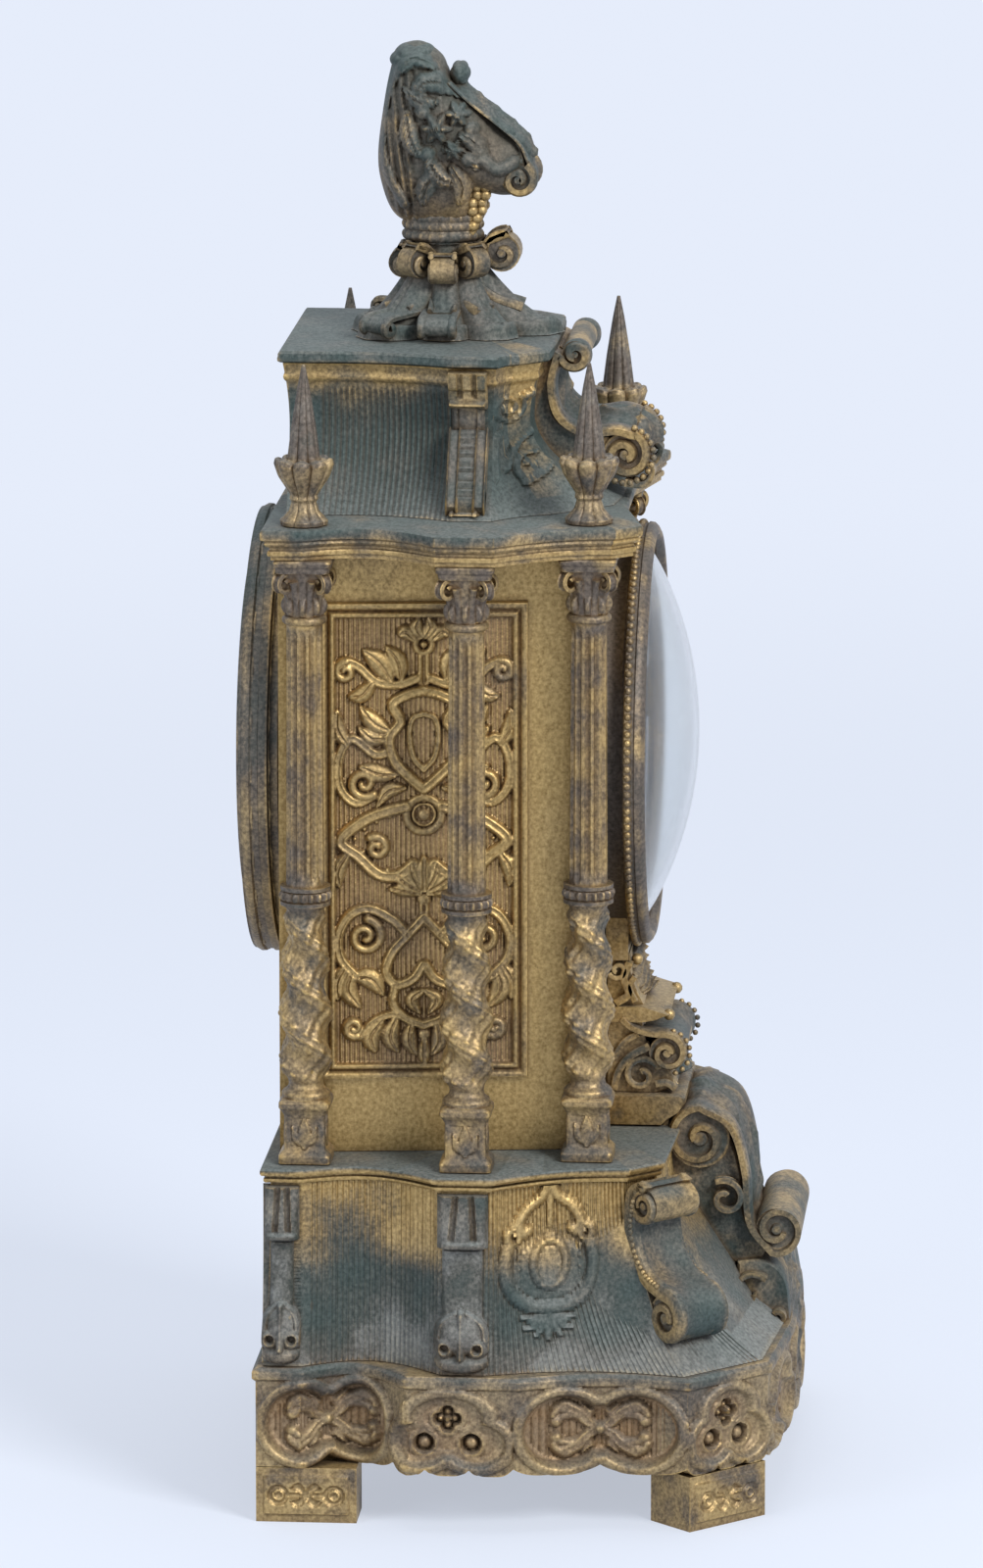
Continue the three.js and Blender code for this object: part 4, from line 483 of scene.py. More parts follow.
def trefoil_panel(u, v, width, height):
    """One lobe over two, with a four-lobed eye above and two round eyes below, each with a boss."""
    half, tall = width / 2 - 2.2, height / 2 - 2.4
    a, up = np.abs(u), v - tall * 0.36
    edge = lobes(a, v, (0, tall * 0.42, half * 0.62, tall * 0.58), (0, -tall * 0.2, half * 0.5, tall * 0.5),
                 (half * 0.48, -tall * 0.32, half * 0.52, tall * 0.6))
    low_eye = (half * 0.4, -tall * 0.32)
    eye = np.hypot(a - low_eye[0], v - low_eye[1]) - tall * 0.27
    hole = np.minimum(eye, lobes(a, up, (0, 2.3, 1.9, 1.9), (0, -2.3, 1.9, 1.9), (2.3, 0, 1.9, 1.9)))
    rims = 0.6 * arched((hole - 0.8) / 0.9)
    bosses = [knob(a, up, spot, 1.2, 2.2) for spot in ((0, 0), (0, 2.2), (0, -2.2), (2.2, 0))]
    bosses = np.maximum.reduce(bosses + [knob(a, v, low_eye, tall * 0.2, 2.6)])
    carving = rims - 2.4 * step(-hole, -0.2, 0.6) + bosses
    return sunk(edge, BAND_SINK * 0.45) + step(-edge, 1.4, 2.2) * carving


BAND = (20, 14, 33, 33, 4.5, 28, 17, 12)
band_plan = storey(*BAND)
band_run = run_along(band_plan)
band_marks = band_run[np.cumsum((0,) + STRETCHES)]
front_mark = band_marks[-1]
FRONT_PANEL_HALF = 30


def band_at(depth):
    """Run of the left side's band at a depth."""
    first, last = STRETCHES[0], sum(STRETCHES[:6])
    return np.interp(depth, band_plan[first:last, 1], band_run[first:last])


PANEL_ENDS = (band_at(BAND_REAR_DEPTH), band_at(37.4), band_at(74.8), band_marks[5], band_marks[6],
              front_mark - FRONT_PANEL_HALF, front_mark + FRONT_PANEL_HALF)
PANEL_KINDS = (wide_panel, trefoil_panel, wide_panel, trefoil_panel, trefoil_panel, wide_panel)
PANEL_LOBES = {wide_panel: 2, trefoil_panel: 3}
PANEL_HIGH = BAND_LIP_Z - BAND_Z
run = np.minimum(band_run, 2 * front_mark - band_run)
foot_line = np.full(len(run), BAND_Z)
for start, end, panel in zip(PANEL_ENDS, PANEL_ENDS[1:], PANEL_KINDS):
    lobe = np.abs(np.sin(np.pi * PANEL_LOBES[panel] * (run - start) / (end - start)))
    foot_line = np.where((run >= start) & (run <= end), BAND_Z + 2.6 * (1 - lobe) ** 2, foot_line)
foot_line = np.where(run < band_marks[2], BAND_Z, foot_line)
band_z = foot_line + (BAND_TOP_Z - foot_line) * np.linspace(0, 1, 66)[:, None]
band_u = np.broadcast_to(run, band_z.shape)
band_rise = np.zeros(band_z.shape)
for start, end, panel in zip(PANEL_ENDS, PANEL_ENDS[1:], PANEL_KINDS):
    local = panel(band_u - (start + end) / 2, band_z - (BAND_Z + BAND_LIP_Z) / 2, end - start, PANEL_HIGH)
    band_rise = np.where((band_u > start) & (band_u <= end), local, band_rise)
rear_field = (band_u < band_marks[1] - 4) & (band_z < BAND_LIP_Z - 3) & (band_z > BAND_Z + 4)
band_rise = np.where(rear_field, -0.8, band_rise)
lip_share = step(band_z, BAND_LIP_Z - 0.6, BAND_LIP_Z + 0.4)
band_lip = BAND_LIP - 1.3 * step(band_z, BAND_TOP_Z - 1.4, BAND_TOP_Z)
band_rise = band_rise * (1 - lip_share) + lip_share * band_lip
band_skin = band_plan + outward(band_plan) * band_rise[..., None]
band_inside = ((BAND_SHELF, BAND_TOP_Z), (BAND_SHELF, BAND_LIP_Z),
               (CAST_WALL, BAND_LIP_Z), (CAST_WALL, foot_line))
band_rings = [place(band_skin[..., 0], band_skin[..., 1], band_z)]
for by, z in band_inside:
    plan = drawn_in(by, *BAND)
    band_rings.append(place(plan[:, 0], plan[:, 1], z)[None])
# The sunk grounds of the panels get a hollow share, which the finish turns to copper and a little painted
# shade.
band_hollow = np.concatenate([np.clip(-band_rise / BAND_SINK, 0, 1), np.zeros((len(band_inside), len(run)))])
band_bronze = bronze(
    "band_bronze", ((17, 0.5), (30, 0.4), (44, 0.36), (46, 0.36), (48.4, 0.2)),
    ((17, 0.1), (44, 0.18), (48, 0.45)), 0.3, copper=0.9, coarse=60.0)
band_tube = tube(np.concatenate(band_rings), wrap=True, hollow=band_hollow)
cast("plinth_band", [band_tube], band_bronze, "gilt_bronze", "base_plinth")

# Base cavetto: the hollow, flared shell between the plinth and the platform, one casting with fine ribs.
# Each side carries a strap under the rear and the middle column and a cartouche in its front bay, and each
# cant has a scrolled bracket.
CAVETTO_Z = 49.0
CAVETTO_HEIGHT = 56.0
CAVETTO_TOP = CAVETTO_Z + CAVETTO_HEIGHT
PLATFORM_TOP = 109.8
PLATFORM_EDGE = 3.0
CAVETTO_EDGE = 2.0
RIB_PITCH = 1.8
RIB_DEPTH = 0.42
FINE = (40, 16, 150, 60, 210, 70, 90, 100)
STRAP_PIER = 6.5
STRAP_SPOTS = ((58.6, 6.2), (2.6, 3.6))
PLATFORM = (14, 13, 14, 14, 2, 28, 10, 9, FINE)
BASE_FOOT = (*BAND[:6], STRAP_PIER, BAND[7], FINE)
BASE_NECK = (*PLATFORM[:6], STRAP_PIER, *PLATFORM[7:])
platform_plan = storey(*PLATFORM)
cavetto_foot = drawn_in(CAVETTO_EDGE, *BASE_FOOT)
cavetto_neck = drawn_in(PLATFORM_EDGE, *BASE_NECK)


def flared(share):
    """Share of the foot's spread left at a share of the height: (1 - share)^2.4."""
    return (1 - np.clip(share, 0, 1)) ** 2.4


def half_width(plan, depth, first, last):
    """Half width of a plan's left side at a depth, found between two of its points."""
    return np.interp(depth, plan[first:last, 1], -plan[first:last, 0])


def flare(depth, z):
    """Half width of the cavetto's side: neck + (foot - neck) x the spread left at that height."""
    ends = FINE[0] + 1, sum(FINE[:6])
    near, far = (half_width(plan, depth, *ends) for plan in (cavetto_neck, cavetto_foot))
    return near + (far - near) * flared((z - CAVETTO_Z) / CAVETTO_HEIGHT)


def cartouche_relief(u, v):
    """Cartouche about its axis: pointed head, scrolled ears, an oval ring with bars and a leaf pendant."""
    a = np.abs(u)
    head = bend((0, 25), (2.4, 20.5), (6.5, 17.5), (9.5, 12.5), (8.2, 9.6), (6.6, 10.4), count=22)
    ear = spiral((10.6, 8.6), 3.2, 0.8, 160, -420, 26)
    side = bend((12.6, 5.5), (13.4, -1), (11.4, -8), (6.5, -12.4), (0, -13.6), count=20)
    turn = np.linspace(-1.6, 1.6, 24)
    ring = np.stack([5.0 * np.cos(turn), 7.0 * np.sin(turn)], -1)
    swell = [0.5, 0.9, 1.2, 1.3, 1.2, 1.0, 0.7, 0.3]
    leaves = []
    for reach, drop in ((8.5, -0.5), (7.5, 3.0), (4.5, 5.5), (0.4, 6.6)):
        path = bend((0.2, -15), (reach * 0.5, -17 - drop * 0.5), (reach, -16.4 - drop), count=8)
        leaves.append(ridge(a, v, path, swell, 1.5))
    dots = [knob(a, v, (9.2, y), 0.8, 1.3) for y in (4.5, 1.7, -1.1, -3.9, -6.4)]
    return np.maximum.reduce(leaves + dots + [
        ridge(a, v, head, 1.8, 2.1),
        ridge(a, v, ear, np.linspace(1.5, 0.9, 26), 2.0),
        ridge(a, v, side, 2.1, 2.2),
        ridge(a, v, ring, 1.5, 2.0),
        ridge(a, v, [(0, 25), (0, 12)], 1.2, 1.3),
        0.5 * (1 + np.cos(2 * np.pi * v / 2.0)) * (np.hypot(a / 4.6, v / 6.6) < 0.92),
        0.6 * step(9.5 - np.hypot(a / 1.2, v + 2), 0, 1),
    ])


share = np.linspace(0, 1, 54)[:, None, None]
cavetto_plan = cavetto_neck + (cavetto_foot - cavetto_neck) * flared(share)
cavetto_z = np.broadcast_to(CAVETTO_Z + share[..., 0] * CAVETTO_HEIGHT, cavetto_plan.shape[:2])
cavetto_run = run_along(cavetto_foot)
marks = np.cumsum((0,) + FINE)
ends = cavetto_run[marks]
run = np.minimum(cavetto_run, ends[-1] * 2 - cavetto_run)
side_bay = step(run, ends[2] + 1, ends[2] + 3) * (1 - step(run, ends[3] - 1, ends[3] + 1))
bays = np.maximum(side_bay, step(run, ends[4] - 1, ends[4] + 1))
BAY_MIDDLE, BAY_Z = 84.6, 81.0
point = np.arange(len(run))
on_side = (point < marks[5]) | (point > len(run) - marks[5])
badge = cartouche_relief(cavetto_plan[..., 1] - BAY_MIDDLE, cavetto_z - BAY_Z) * on_side
plain = badge < 0.3
cavetto_rise = np.maximum(RIB_DEPTH * bays * np.cos(2 * np.pi * run / RIB_PITCH) * plain, badge)
cavetto_skin = cavetto_plan + outward(cavetto_foot) * cavetto_rise[..., None]


def level(plan, z):
    """A flat ring: the plan at one height."""
    return np.concatenate([plan, np.full((len(plan), 1), z)], 1)


def closed(plan, z):
    """A ring drawn together to one point in the middle of its plan."""
    return level(np.broadcast_to(plan.mean(0), plan.shape), z)


slab = [(-0.4, 105.2), (1.6, 105.4), (2.0, 106.0), (2.0, 106.6), (1.2, 107.0), (1.2, 107.4), (2.6, 107.7),
        (3.0, 108.4), (3.0, 109.3), (2.5, PLATFORM_TOP)]
slab_rings = [level(cavetto_neck + (platform_plan - cavetto_neck) * by / PLATFORM_EDGE, z) for by, z in slab]
inner = [
    closed(platform_plan, PLATFORM_TOP),
    closed(platform_plan, CAVETTO_TOP),
    level(drawn_in(PLATFORM_EDGE + CAST_WALL, *BASE_NECK), CAVETTO_TOP),
    level(drawn_in(CAVETTO_EDGE + CAST_WALL, *BASE_FOOT), CAVETTO_Z),
]
rings = np.concatenate([np.concatenate([cavetto_skin, cavetto_z[..., None]], -1), slab_rings, inner])
# The rib grooves get a hollow share, which the finish turns to copper and painted shade.
comb = 0.75 * np.clip(-cavetto_rise / RIB_DEPTH, 0, 1) * bays * plain
comb = np.concatenate([comb, np.zeros((len(slab_rings) + len(inner), len(run)))])


def placed(points):
    """Points in metres from an array of (across, depth, height) in millimetres."""
    return place(points[..., 0], points[..., 1], points[..., 2])


def both_sides(parts):
    """Skins of the left side, then their mirror images."""
    return parts + [mirrored(part) for part in parts]


def unit(vectors):
    """The same directions with length 1."""
    return vectors / np.linalg.norm(vectors, axis=-1, keepdims=True)


def laid(depth, z, rise, host):
    """A relief on the left side: point = side of the host at (depth, z) moved out by the rise; its rim and
    back are sunk 1.5 mm into the host, so the skin is closed."""
    rise = rise.copy()
    rise[[0, -1]], rise[:, [0, -1]] = -1.5, -1.5
    front = place(-host(depth, z) - rise, depth, z)
    back = place(-host(depth, z) + 1.5, depth, z)
    return tube(np.concatenate([front, back[:, ::-1]], 1))


def strap_relief(u, z, half):
    """Strap down a pier: folded head with two grooves, plain convex run, and a claw foot with a bulb,
    two eyes and a cushion under them."""
    wide = half + 1.6
    head = step(z, 87.4, 88.4) * (np.abs(u) < wide)
    fold = (5.4 - 2.2 * step(z, 90, 104)) * arched((u / (wide + 0.4)) ** 2)
    left_groove = ridge(u, z, [(-half * 0.5, 91), (-half * 0.3, 105)], 0.9, 1.7)
    right_groove = ridge(u, z, [(half * 0.6, 91), (half * 0.45, 105)], 0.9, 1.7)
    hem = ridge(u, z, [(-wide, 89.0), (wide, 89.0)], 1.2, 1.0)
    run = (1 - step(z, 87.0, 88.0)) * step(z, 60, 62) * (np.abs(u) < half)
    claw = bend((wide * 0.2, 68), (wide * 0.8, 64.5), (wide * 0.95, 60), count=8)
    eyes = 3.4 * step(1.7 - np.hypot(np.abs(u) - wide * 0.64, z - 57.6), 0, 0.9)
    return np.maximum.reduce([
        head * (fold - left_groove - right_groove + hem),
        run * 2.8 * arched((u / half) ** 2),
        knob(u / wide * 6, (z - 62.0) * 0.8, (0, 0), 6.0, 6.4),
        knob(np.abs(u), z, (wide * 0.6, 58.0), 4.0, 5.8),
        5.0 * arched(np.hypot(u / (wide + 0.6), (z - 52.8) / 3.0)),
        ridge(u, z, [(0, 68), (0, 55)], 1.5, 7.0),
        ridge(np.abs(u), z, claw, 1.2, 4.6),
    ]) - eyes


def strap(depth, half):
    """One strap on the cavetto at a column's depth."""
    u, z = np.meshgrid(np.linspace(-half - 2.4, half + 2.4, 52), np.linspace(104.5, 49.4, 120))
    return laid(depth + u, z, strap_relief(u, z, half), flare)


MIDDLE, FRONT = (0.0, 0.0), (0.0, 1.0)


def faced(ahead, side, origin, forward):
    """Plan place of points so far ahead of an origin and so far to its side, where ahead means forward."""
    forward = unit(np.array(forward, float))
    x = origin[0] + forward[0] * ahead + forward[1] * side
    return x, origin[1] + forward[1] * ahead - forward[0] * side


def turned_scroll(path, thick, half, origin=MIDDLE, forward=FRONT, groove=0.55):
    """A strip as wide as 2 x half, rolled along an (ahead, rise) path and standing square to it: the section
    across it has two rims and a sunk middle on its outer face."""
    path = np.asarray(path, float)
    along = unit(np.gradient(path, axis=0))
    out = np.stack([-along[:, 1], along[:, 0]], -1)
    rim = np.array((1.0, 1.0, 0.93, 0.8, 0.68, 0.58))
    high = np.array((-0.5, 0.15, 0.42, 0.5, 0.4, groove - 0.5))
    high = np.r_[high, high[::-1]] * np.broadcast_to(thick, len(path))[:, None]
    flat = path[:, None] + out[:, None] * high[..., None]
    side = np.broadcast_to(np.r_[-rim, rim[::-1]] * half, flat.shape[:2])
    return tube(place(*faced(flat[..., 0], side, origin, forward), flat[..., 1]))


def eye_disc(centre, radius, half, origin=MIDDLE, forward=FRONT):
    """Web across a volute: a dished disc with a raised eye on each cheek, turned about the volute's axis."""
    rim = np.array((0.0, 0.22, 0.3, 0.55, 0.85, 1.0))
    out = np.r_[rim, rim[::-1]][:, None] * radius
    deep = np.array((0.6, 0.6, -0.8, -1.0, -0.8, -0.4)) + half
    side = np.r_[deep, -deep[::-1]][:, None]
    turn = np.linspace(0, 2 * np.pi, 24, endpoint=False)
    x, depth = faced(centre[0] + out * np.cos(turn), side, origin, forward)
    return tube(place(x, depth, centre[1] + out * np.sin(turn)))


def pearls(spots, radius):
    """Small round beads at given points, each a ball of few faces."""
    up = np.linspace(-np.pi / 2, np.pi / 2, 6)[:, None]
    turn = np.linspace(0, 2 * np.pi, 8, endpoint=False)
    ball = np.broadcast_arrays(np.cos(up) * np.cos(turn), np.cos(up) * np.sin(turn), np.sin(up))
    ball = np.stack(ball, -1) * radius
    return [tube(placed(ball + spot)) for spot in np.asarray(spots, float)]


CANT = ((-60.5, 101.5), (-1.0, 1.0))
CANT_HEAD, CANT_TOE = (26.0, 99.0), (36.0, 65.5)
cant_path = np.concatenate([
    spiral(CANT_HEAD, 2.2, 6.0, 560, -470, 40),
    bend((25.6, 105.0), (21.2, 101.5), (20.2, 93.0), (22.2, 84.0), (27.4, 76.8), (34.6, 73.6), count=30)[1:],
    spiral(CANT_TOE, 8.0, 2.4, 100, -480, 44)[1:],
])
cant_thick = np.interp(np.arange(len(cant_path)), (0, 24, 44, 70, 112), (1.6, 2.6, 4.6, 4.6, 2.0))
bracket_parts = [
    turned_scroll(cant_path, cant_thick, 10.0, *CANT, 0.75),
    eye_disc(CANT_HEAD, 5.4, 9.0, *CANT),
    eye_disc(CANT_TOE, 7.4, 9.0, *CANT),
]
beads = bend((22.0, 100.0), (20.6, 93.0), (22.4, 84.4), (27.2, 78.0), (33.0, 75.4), count=19)
for side in (-9.9, 9.9):
    bracket_parts += pearls(np.stack([*faced(beads[:, 0], side, *CANT), beads[:, 1]], -1), 0.9)

# Its dark share of 0.55 paints shade into the rib grooves.
cavetto_bronze = bronze(
    "cavetto_bronze",
    ((49, 0.06), (66, 0.08), (78, 0.28), (88, 0.56), (104, 0.74), (108.2, 0.7), (109.6, 0.1)),
    ((49, 0.4), (62, 0.62), (78, 0.6), (88, 0.25), (104, 0.08), (108.2, 0.15), (109.6, 0.7)),
    ((49, 0.9), (64, 0.8), (80, 0.2), (104, 0.05), (108.2, 0.1), (109.6, 0.5)),
    copper=0.3, dark=0.55, coarse=45.0)
strap_bronze = bronze(
    "strap_bronze", ((49, 0.36), (60, 0.12), (86, 0.12), (100, 0.22)), ((49, 0.3), (70, 0.5), (100, 0.45)),
    ((49, 0.5), (75, 1.0), (100, 0.6)), copper=0.5, coarse=60.0)
bracket_bronze = bronze("bracket_bronze", ((49, 0.3), (70, 0.12), (100, 0.16)), 0.6, 0.15)
cavetto_tube = tube(placed(rings), wrap=True, hollow=comb)
cast("cavetto_shell", [cavetto_tube], cavetto_bronze, "patinated_bronze", "base_cavetto")
cast("cavetto_straps", both_sides([strap(*spot) for spot in STRAP_SPOTS]), strap_bronze, "gilt_bronze")
cast("cant_brackets", both_sides(bracket_parts), bracket_bronze, "gilt_bronze")

# Console and front stage: cast scroll brackets that carry the front of the case down over the base.
# Broad rolled strips with rimmed edges run between volutes, and leaves and knobs fill the gaps.
CONSOLE_HALF = 27.0
STAGE_HALF = 24.0
STAGE_BACK = 97.4
CONSOLE_HEAD, CONSOLE_TOE = (127.0, 106.5), (151.2, 77.8)
STAGE_VOLUTE = (116.6, 132.8)
FRONT_GROOVE = 0.6
AXIS_Z = 230.0
DRUM_RADIUS = 58.8
console_bronze = bronze(
    "console_bronze",
    ((20, 0.3), (65, 0.08), (90, 0.12), (112, 0.3), (120, 0.14), (138, 0.2), (147, 0.4), (170, 0.42)),
    ((20, 0.2), (65, 0.7), (95, 0.6), (112, 0.35), (122, 0.55), (138, 0.5), (147, 0.25), (170, 0.15)),
    0.25, copper=0.6, coarse=80.0)


def front_block(outline, half):
    """A solid as wide as 2 x half, with the outline given as (depth, height), its cheeks a little crowned."""
    outline = np.asarray(outline, float)
    middle = outline.mean(0)
    sides = np.array((-1.0, -0.97, 0.97, 1.0)) * half
    shrink = np.array((0.94, 1.0, 1.0, 0.94))
    ring = middle + (outline - middle) * shrink[:, None, None]
    return tube(place(sides[:, None], ring[..., 0], ring[..., 1]))


def stage_block(half, low, high, *front):
    """A block of the stage: the outline of its front from low to high, closed along the stage's back."""
    return front_block([(STAGE_BACK, low), *front, (STAGE_BACK, high)], half)


def acanthus(across, share, half, high):
    """Height of a long leaf: rounded across, with a midrib, veins slanting back from it and lobed edges."""
    lobed = 0.84 + 0.16 * np.abs(np.sin(6 * np.pi * share))
    wide = half * np.sin(np.pi * np.clip(share, 0.02, 0.98)) ** 0.5 * lobed
    body = arched(across / wide)
    veins = 0.8 * np.abs(np.cos(6 * np.pi * (share - 0.3 * np.abs(across) / half)))
    return high * (body * (1 - 0.45 * veins) + 0.3 * np.exp(-(across / 1.3) ** 2) * (body > 0))


def leaf_strip(path, half, high=4.0):
    """A leaf lying along a (depth, height) path on the front: path + its normal x the leaf's height, with a
    flat back."""
    path = np.asarray(path, float)
    lead = unit(np.gradient(path, axis=0))
    normal = np.stack([-lead[:, 1], lead[:, 0]], -1)[:, None]
    across, share = np.meshgrid(np.linspace(-half, half, 61), np.linspace(0, 1, len(path)))
    rise = acanthus(across, share, half, high)[..., None] - 0.4
    rise[[0, -1]], rise[:, [0, -1]] = -0.8, -0.8
    flat = path[:, None] + normal * rise
    back = np.broadcast_to(path[:, None] - normal * 1.2, flat.shape)[:, [-1, 0]]
    flat = np.concatenate([flat, back], 1)
    return tube(place(np.concatenate([across, across[:, [-1, 0]]], 1), flat[..., 0], flat[..., 1]))


def pearl_arc(x, centre, reach, turns, radius):
    """Pearls round a volute at one reach from its centre, a pearl to each angle."""
    spots = [(x, centre[0] + reach * math.cos(t), centre[1] + reach * math.sin(t)) for t in turns]
    return pearls(spots, radius)


console_run = np.concatenate([
    spiral(CONSOLE_HEAD, 2.0, 10.2, 560, -470, 56),
    bend((127.2, 116.6), (137.0, 110.5), (141.5, 96.0), (143.0, 80.0), (150.0, 70.6), count=30)[1:],
    spiral(CONSOLE_TOE, 7.6, 2.0, 262, 430, 44)[1:],
])
console_web = np.concatenate([
    bend((124.0, 113.0), (134.5, 108.5), (139.6, 95.6), (141.2, 80.0), (147.6, 70.0), count=24),
    [(146.0, 67.0), (140.0, 66.0)],
    bend((128.0, 68.0), (116.0, 80.0), (110.0, 97.0), (110.0, 108.0), count=14),
])
console_curl = np.concatenate([
    bend((117.5, 99.0), (113.0, 104.0), (110.5, 109.5), (113.0, 113.5), count=12),
    spiral((114.4, 110.6), 3.0, 0.9, 100, -360, 18)[1:],
])
console_parts = [
    turned_scroll(console_run, 2.6, CONSOLE_HALF, groove=FRONT_GROOVE),
    front_block(console_web, CONSOLE_HALF - 4.5),
    leaf_strip(bend(*console_run[44:84], count=90), 15.4, 3.2),
    eye_disc(CONSOLE_HEAD, 9.4, CONSOLE_HALF - 1.0),
    eye_disc(CONSOLE_TOE, 6.6, CONSOLE_HALF - 1.0),
    turned_scroll(console_curl, 2.0, CONSOLE_HALF - 4, groove=FRONT_GROOVE),
]
for side in (-1, 1):
    cheek = (side * (CONSOLE_HALF - 1.6), 0.0)
    console_parts.append(turned_scroll(spiral((135.2, 87.5), 6.2, 1.4, 120, -420, 34), 1.8, 1.8, cheek))

drum_x = np.linspace(-STAGE_HALF + 2, STAGE_HALF - 2, 25)
under_drum = AXIS_Z - np.sqrt(DRUM_RADIUS ** 2 - drum_x ** 2)
saddle_ring = ((STAGE_BACK, 162.0), (104.2, 162.0), (104.6, under_drum - 1.0), (104.2, under_drum),
               (STAGE_BACK, under_drum))
stage_neck = bend((102.5, 144.0), (106.0, 141.0), (111.0, 139.4), (116.6, 139.0), count=14)
stage_run = np.concatenate([stage_neck, spiral(STAGE_VOLUTE, 6.2, 1.6, 90, -450, 40)[1:]])
lower_leaf = bend((108.6, 143.0), (110.0, 136.0), (112.5, 131.0), (118.0, 126.6), (119.6, 121.6), count=60)
upper_leaf = bend((104.6, 163.0), (105.2, 157.0), (107.4, 151.0), (109.6, 147.6), count=50)
stage_parts = [
    stage_block(STAGE_HALF + 1.5, 110.2, 119.8, (115.0, 110.2), (117.0, 112.2), (120.6, 114.4),
                (122.6, 117.6), (122.4, 119.2), (121.0, 119.8)),
    stage_block(STAGE_HALF - 3, 119.4, 143.0, (113.0, 119.4), (119.4, 121.6), (118.0, 126.6), (112.5, 131.0),
                (110.0, 136.0), (108.6, 143.0)),
    stage_block(STAGE_HALF - 1, 142.4, 147.6, (109.0, 142.4), (113.0, 143.2), (117.4, 145.0), (112.0, 146.6),
                (109.0, 147.6)),
    stage_block(STAGE_HALF - 4, 147.0, 163.6, (109.4, 147.0), (107.4, 151.0), (105.2, 157.0), (104.6, 163.6)),
    tube(np.stack([place(drum_x, depth, z) for depth, z in saddle_ring], 1)),
    leaf_strip(lower_leaf, 17.0),
    leaf_strip(upper_leaf, 16.0),
    turned_scroll(stage_run, 2.2, STAGE_HALF, groove=FRONT_GROOVE),
    eye_disc(STAGE_VOLUTE, 5.6, STAGE_HALF - 1.0),
]
stage_tendrils = (
    (spiral((108.6, 125.6), 5.8, 1.2, 20, 440, 34), 1.9),
    (bend((113.0, 123.0), (116.5, 123.5), (119.4, 121.6), count=10), 2.2),
    (bend((100.0, 121.0), (101.5, 127.0), (105.5, 132.0), (111.0, 135.0), count=14), 2.4),
    (bend((100.0, 131.0), (103.0, 136.0), (107.5, 139.0), count=10), 2.0),
    (bend((100.5, 148.5), (104.5, 151.5), (103.0, 156.5), (104.8, 161.5), count=14), 2.4),
    (bend((106.5, 149.0), (104.6, 153.5), (106.4, 157.0), count=10), 1.8),
    (spiral((101.2, 159.0), 2.8, 0.8, 200, 400, 20), 1.4),
)
for side in (-1, 1):
    cheek = (side * (STAGE_HALF - 3.0), 0.0)
    stage_parts += [turned_scroll(path, thick, 2.2, cheek) for path, thick in stage_tendrils]
    stage_parts += pearls([(side * 16.0, 106.8, 161.2), (side * 19.0, 117.0, 144.4)], 1.9)
    stage_parts += pearl_arc(side * (STAGE_HALF - 2.6), STAGE_VOLUTE, 7.0, np.linspace(-1.2, 1.3, 8), 0.9)

# Apron: the block under the console where the base swells forward, cast with it and faced with a long leaf.
# A pair of C scrolls is set on each cheek.
apron_cheeks = []
for side in (-1, 1):
    for centre, big, start, sweep in (((141.5, 58.0), 6.6, 40, 300), ((150.0, 50.5), 3.4, 160, 330)):
        curl = spiral(centre, big, 1.2, start, sweep, 30)
        apron_cheeks.append(turned_scroll(curl, 1.7, 2.4, (side * 27.5, 1.5)))
apron_face = bend((139, 67), (148, 67.5), (153.6, 62), (155.2, 52), (155.8, 38), (155.8, 20), count=20)
apron_leaf = bend((151.6, 65.0), (154.2, 59.0), (155.3, 50.0), (155.8, 38.0), (155.8, 23.0), count=80)
console_parts.append(front_block(np.concatenate([apron_face, [(138, 20)]]), 25.0))
console_parts.append(leaf_strip(apron_leaf, 17.0, 2.2))
cast("apron_scrolls", apron_cheeks, console_bronze, "gilt_bronze")
cast("console_scroll", console_parts, console_bronze, "patinated_bronze", "front_console")
cast("stage_scroll", stage_parts, console_bronze, "gilt_bronze", "front_stage")

# Case: a tapered box of cast brass plates that holds the movement.
# It was lacquered once and is now worn.
CASE_REAR_HALF, CASE_FRONT_HALF, CASE_DEPTH = 68.0, 56.5, 97.0
CASE_Z, CASE_HEIGHT = 110.0, 188.0
# The gilt share falls towards the bottom and the top of the walls, so the walls are darker there.
case_brass = bronze(
    "case_brass", ((110, 0.42), (135, 0.62), (270, 0.6), (298, 0.4)), 0.0, 0.06,
    copper=0.6, coarse=16.0, bump=0.15)


def finish(look, *nodes):
    """Gives a finish to solids that are kept as made."""
    for node in nodes:
        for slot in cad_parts[node].material_slots:
            slot.material = look


finish(case_brass, "case_shell")

# Side panels: thin cast plates pinned to the case walls inside a moulded frame.
# A symmetrical arabesque of scrolls, leaves and straps stands on a combed ground.
PANEL_WIDTH, PANEL_HEIGHT, PANEL_BORDER = 64.0, 149.0, 4.5
PANEL_MIDDLE = 0.455 * CASE_DEPTH
PANEL_Z = CASE_Z + 0.52 * CASE_HEIGHT
PANEL_BACK, PANEL_FIELD, PANEL_RIM = 0.2, 0.9, 2.4
PANEL_COMB = 1.5
ARABESQUE_Z = 207.0


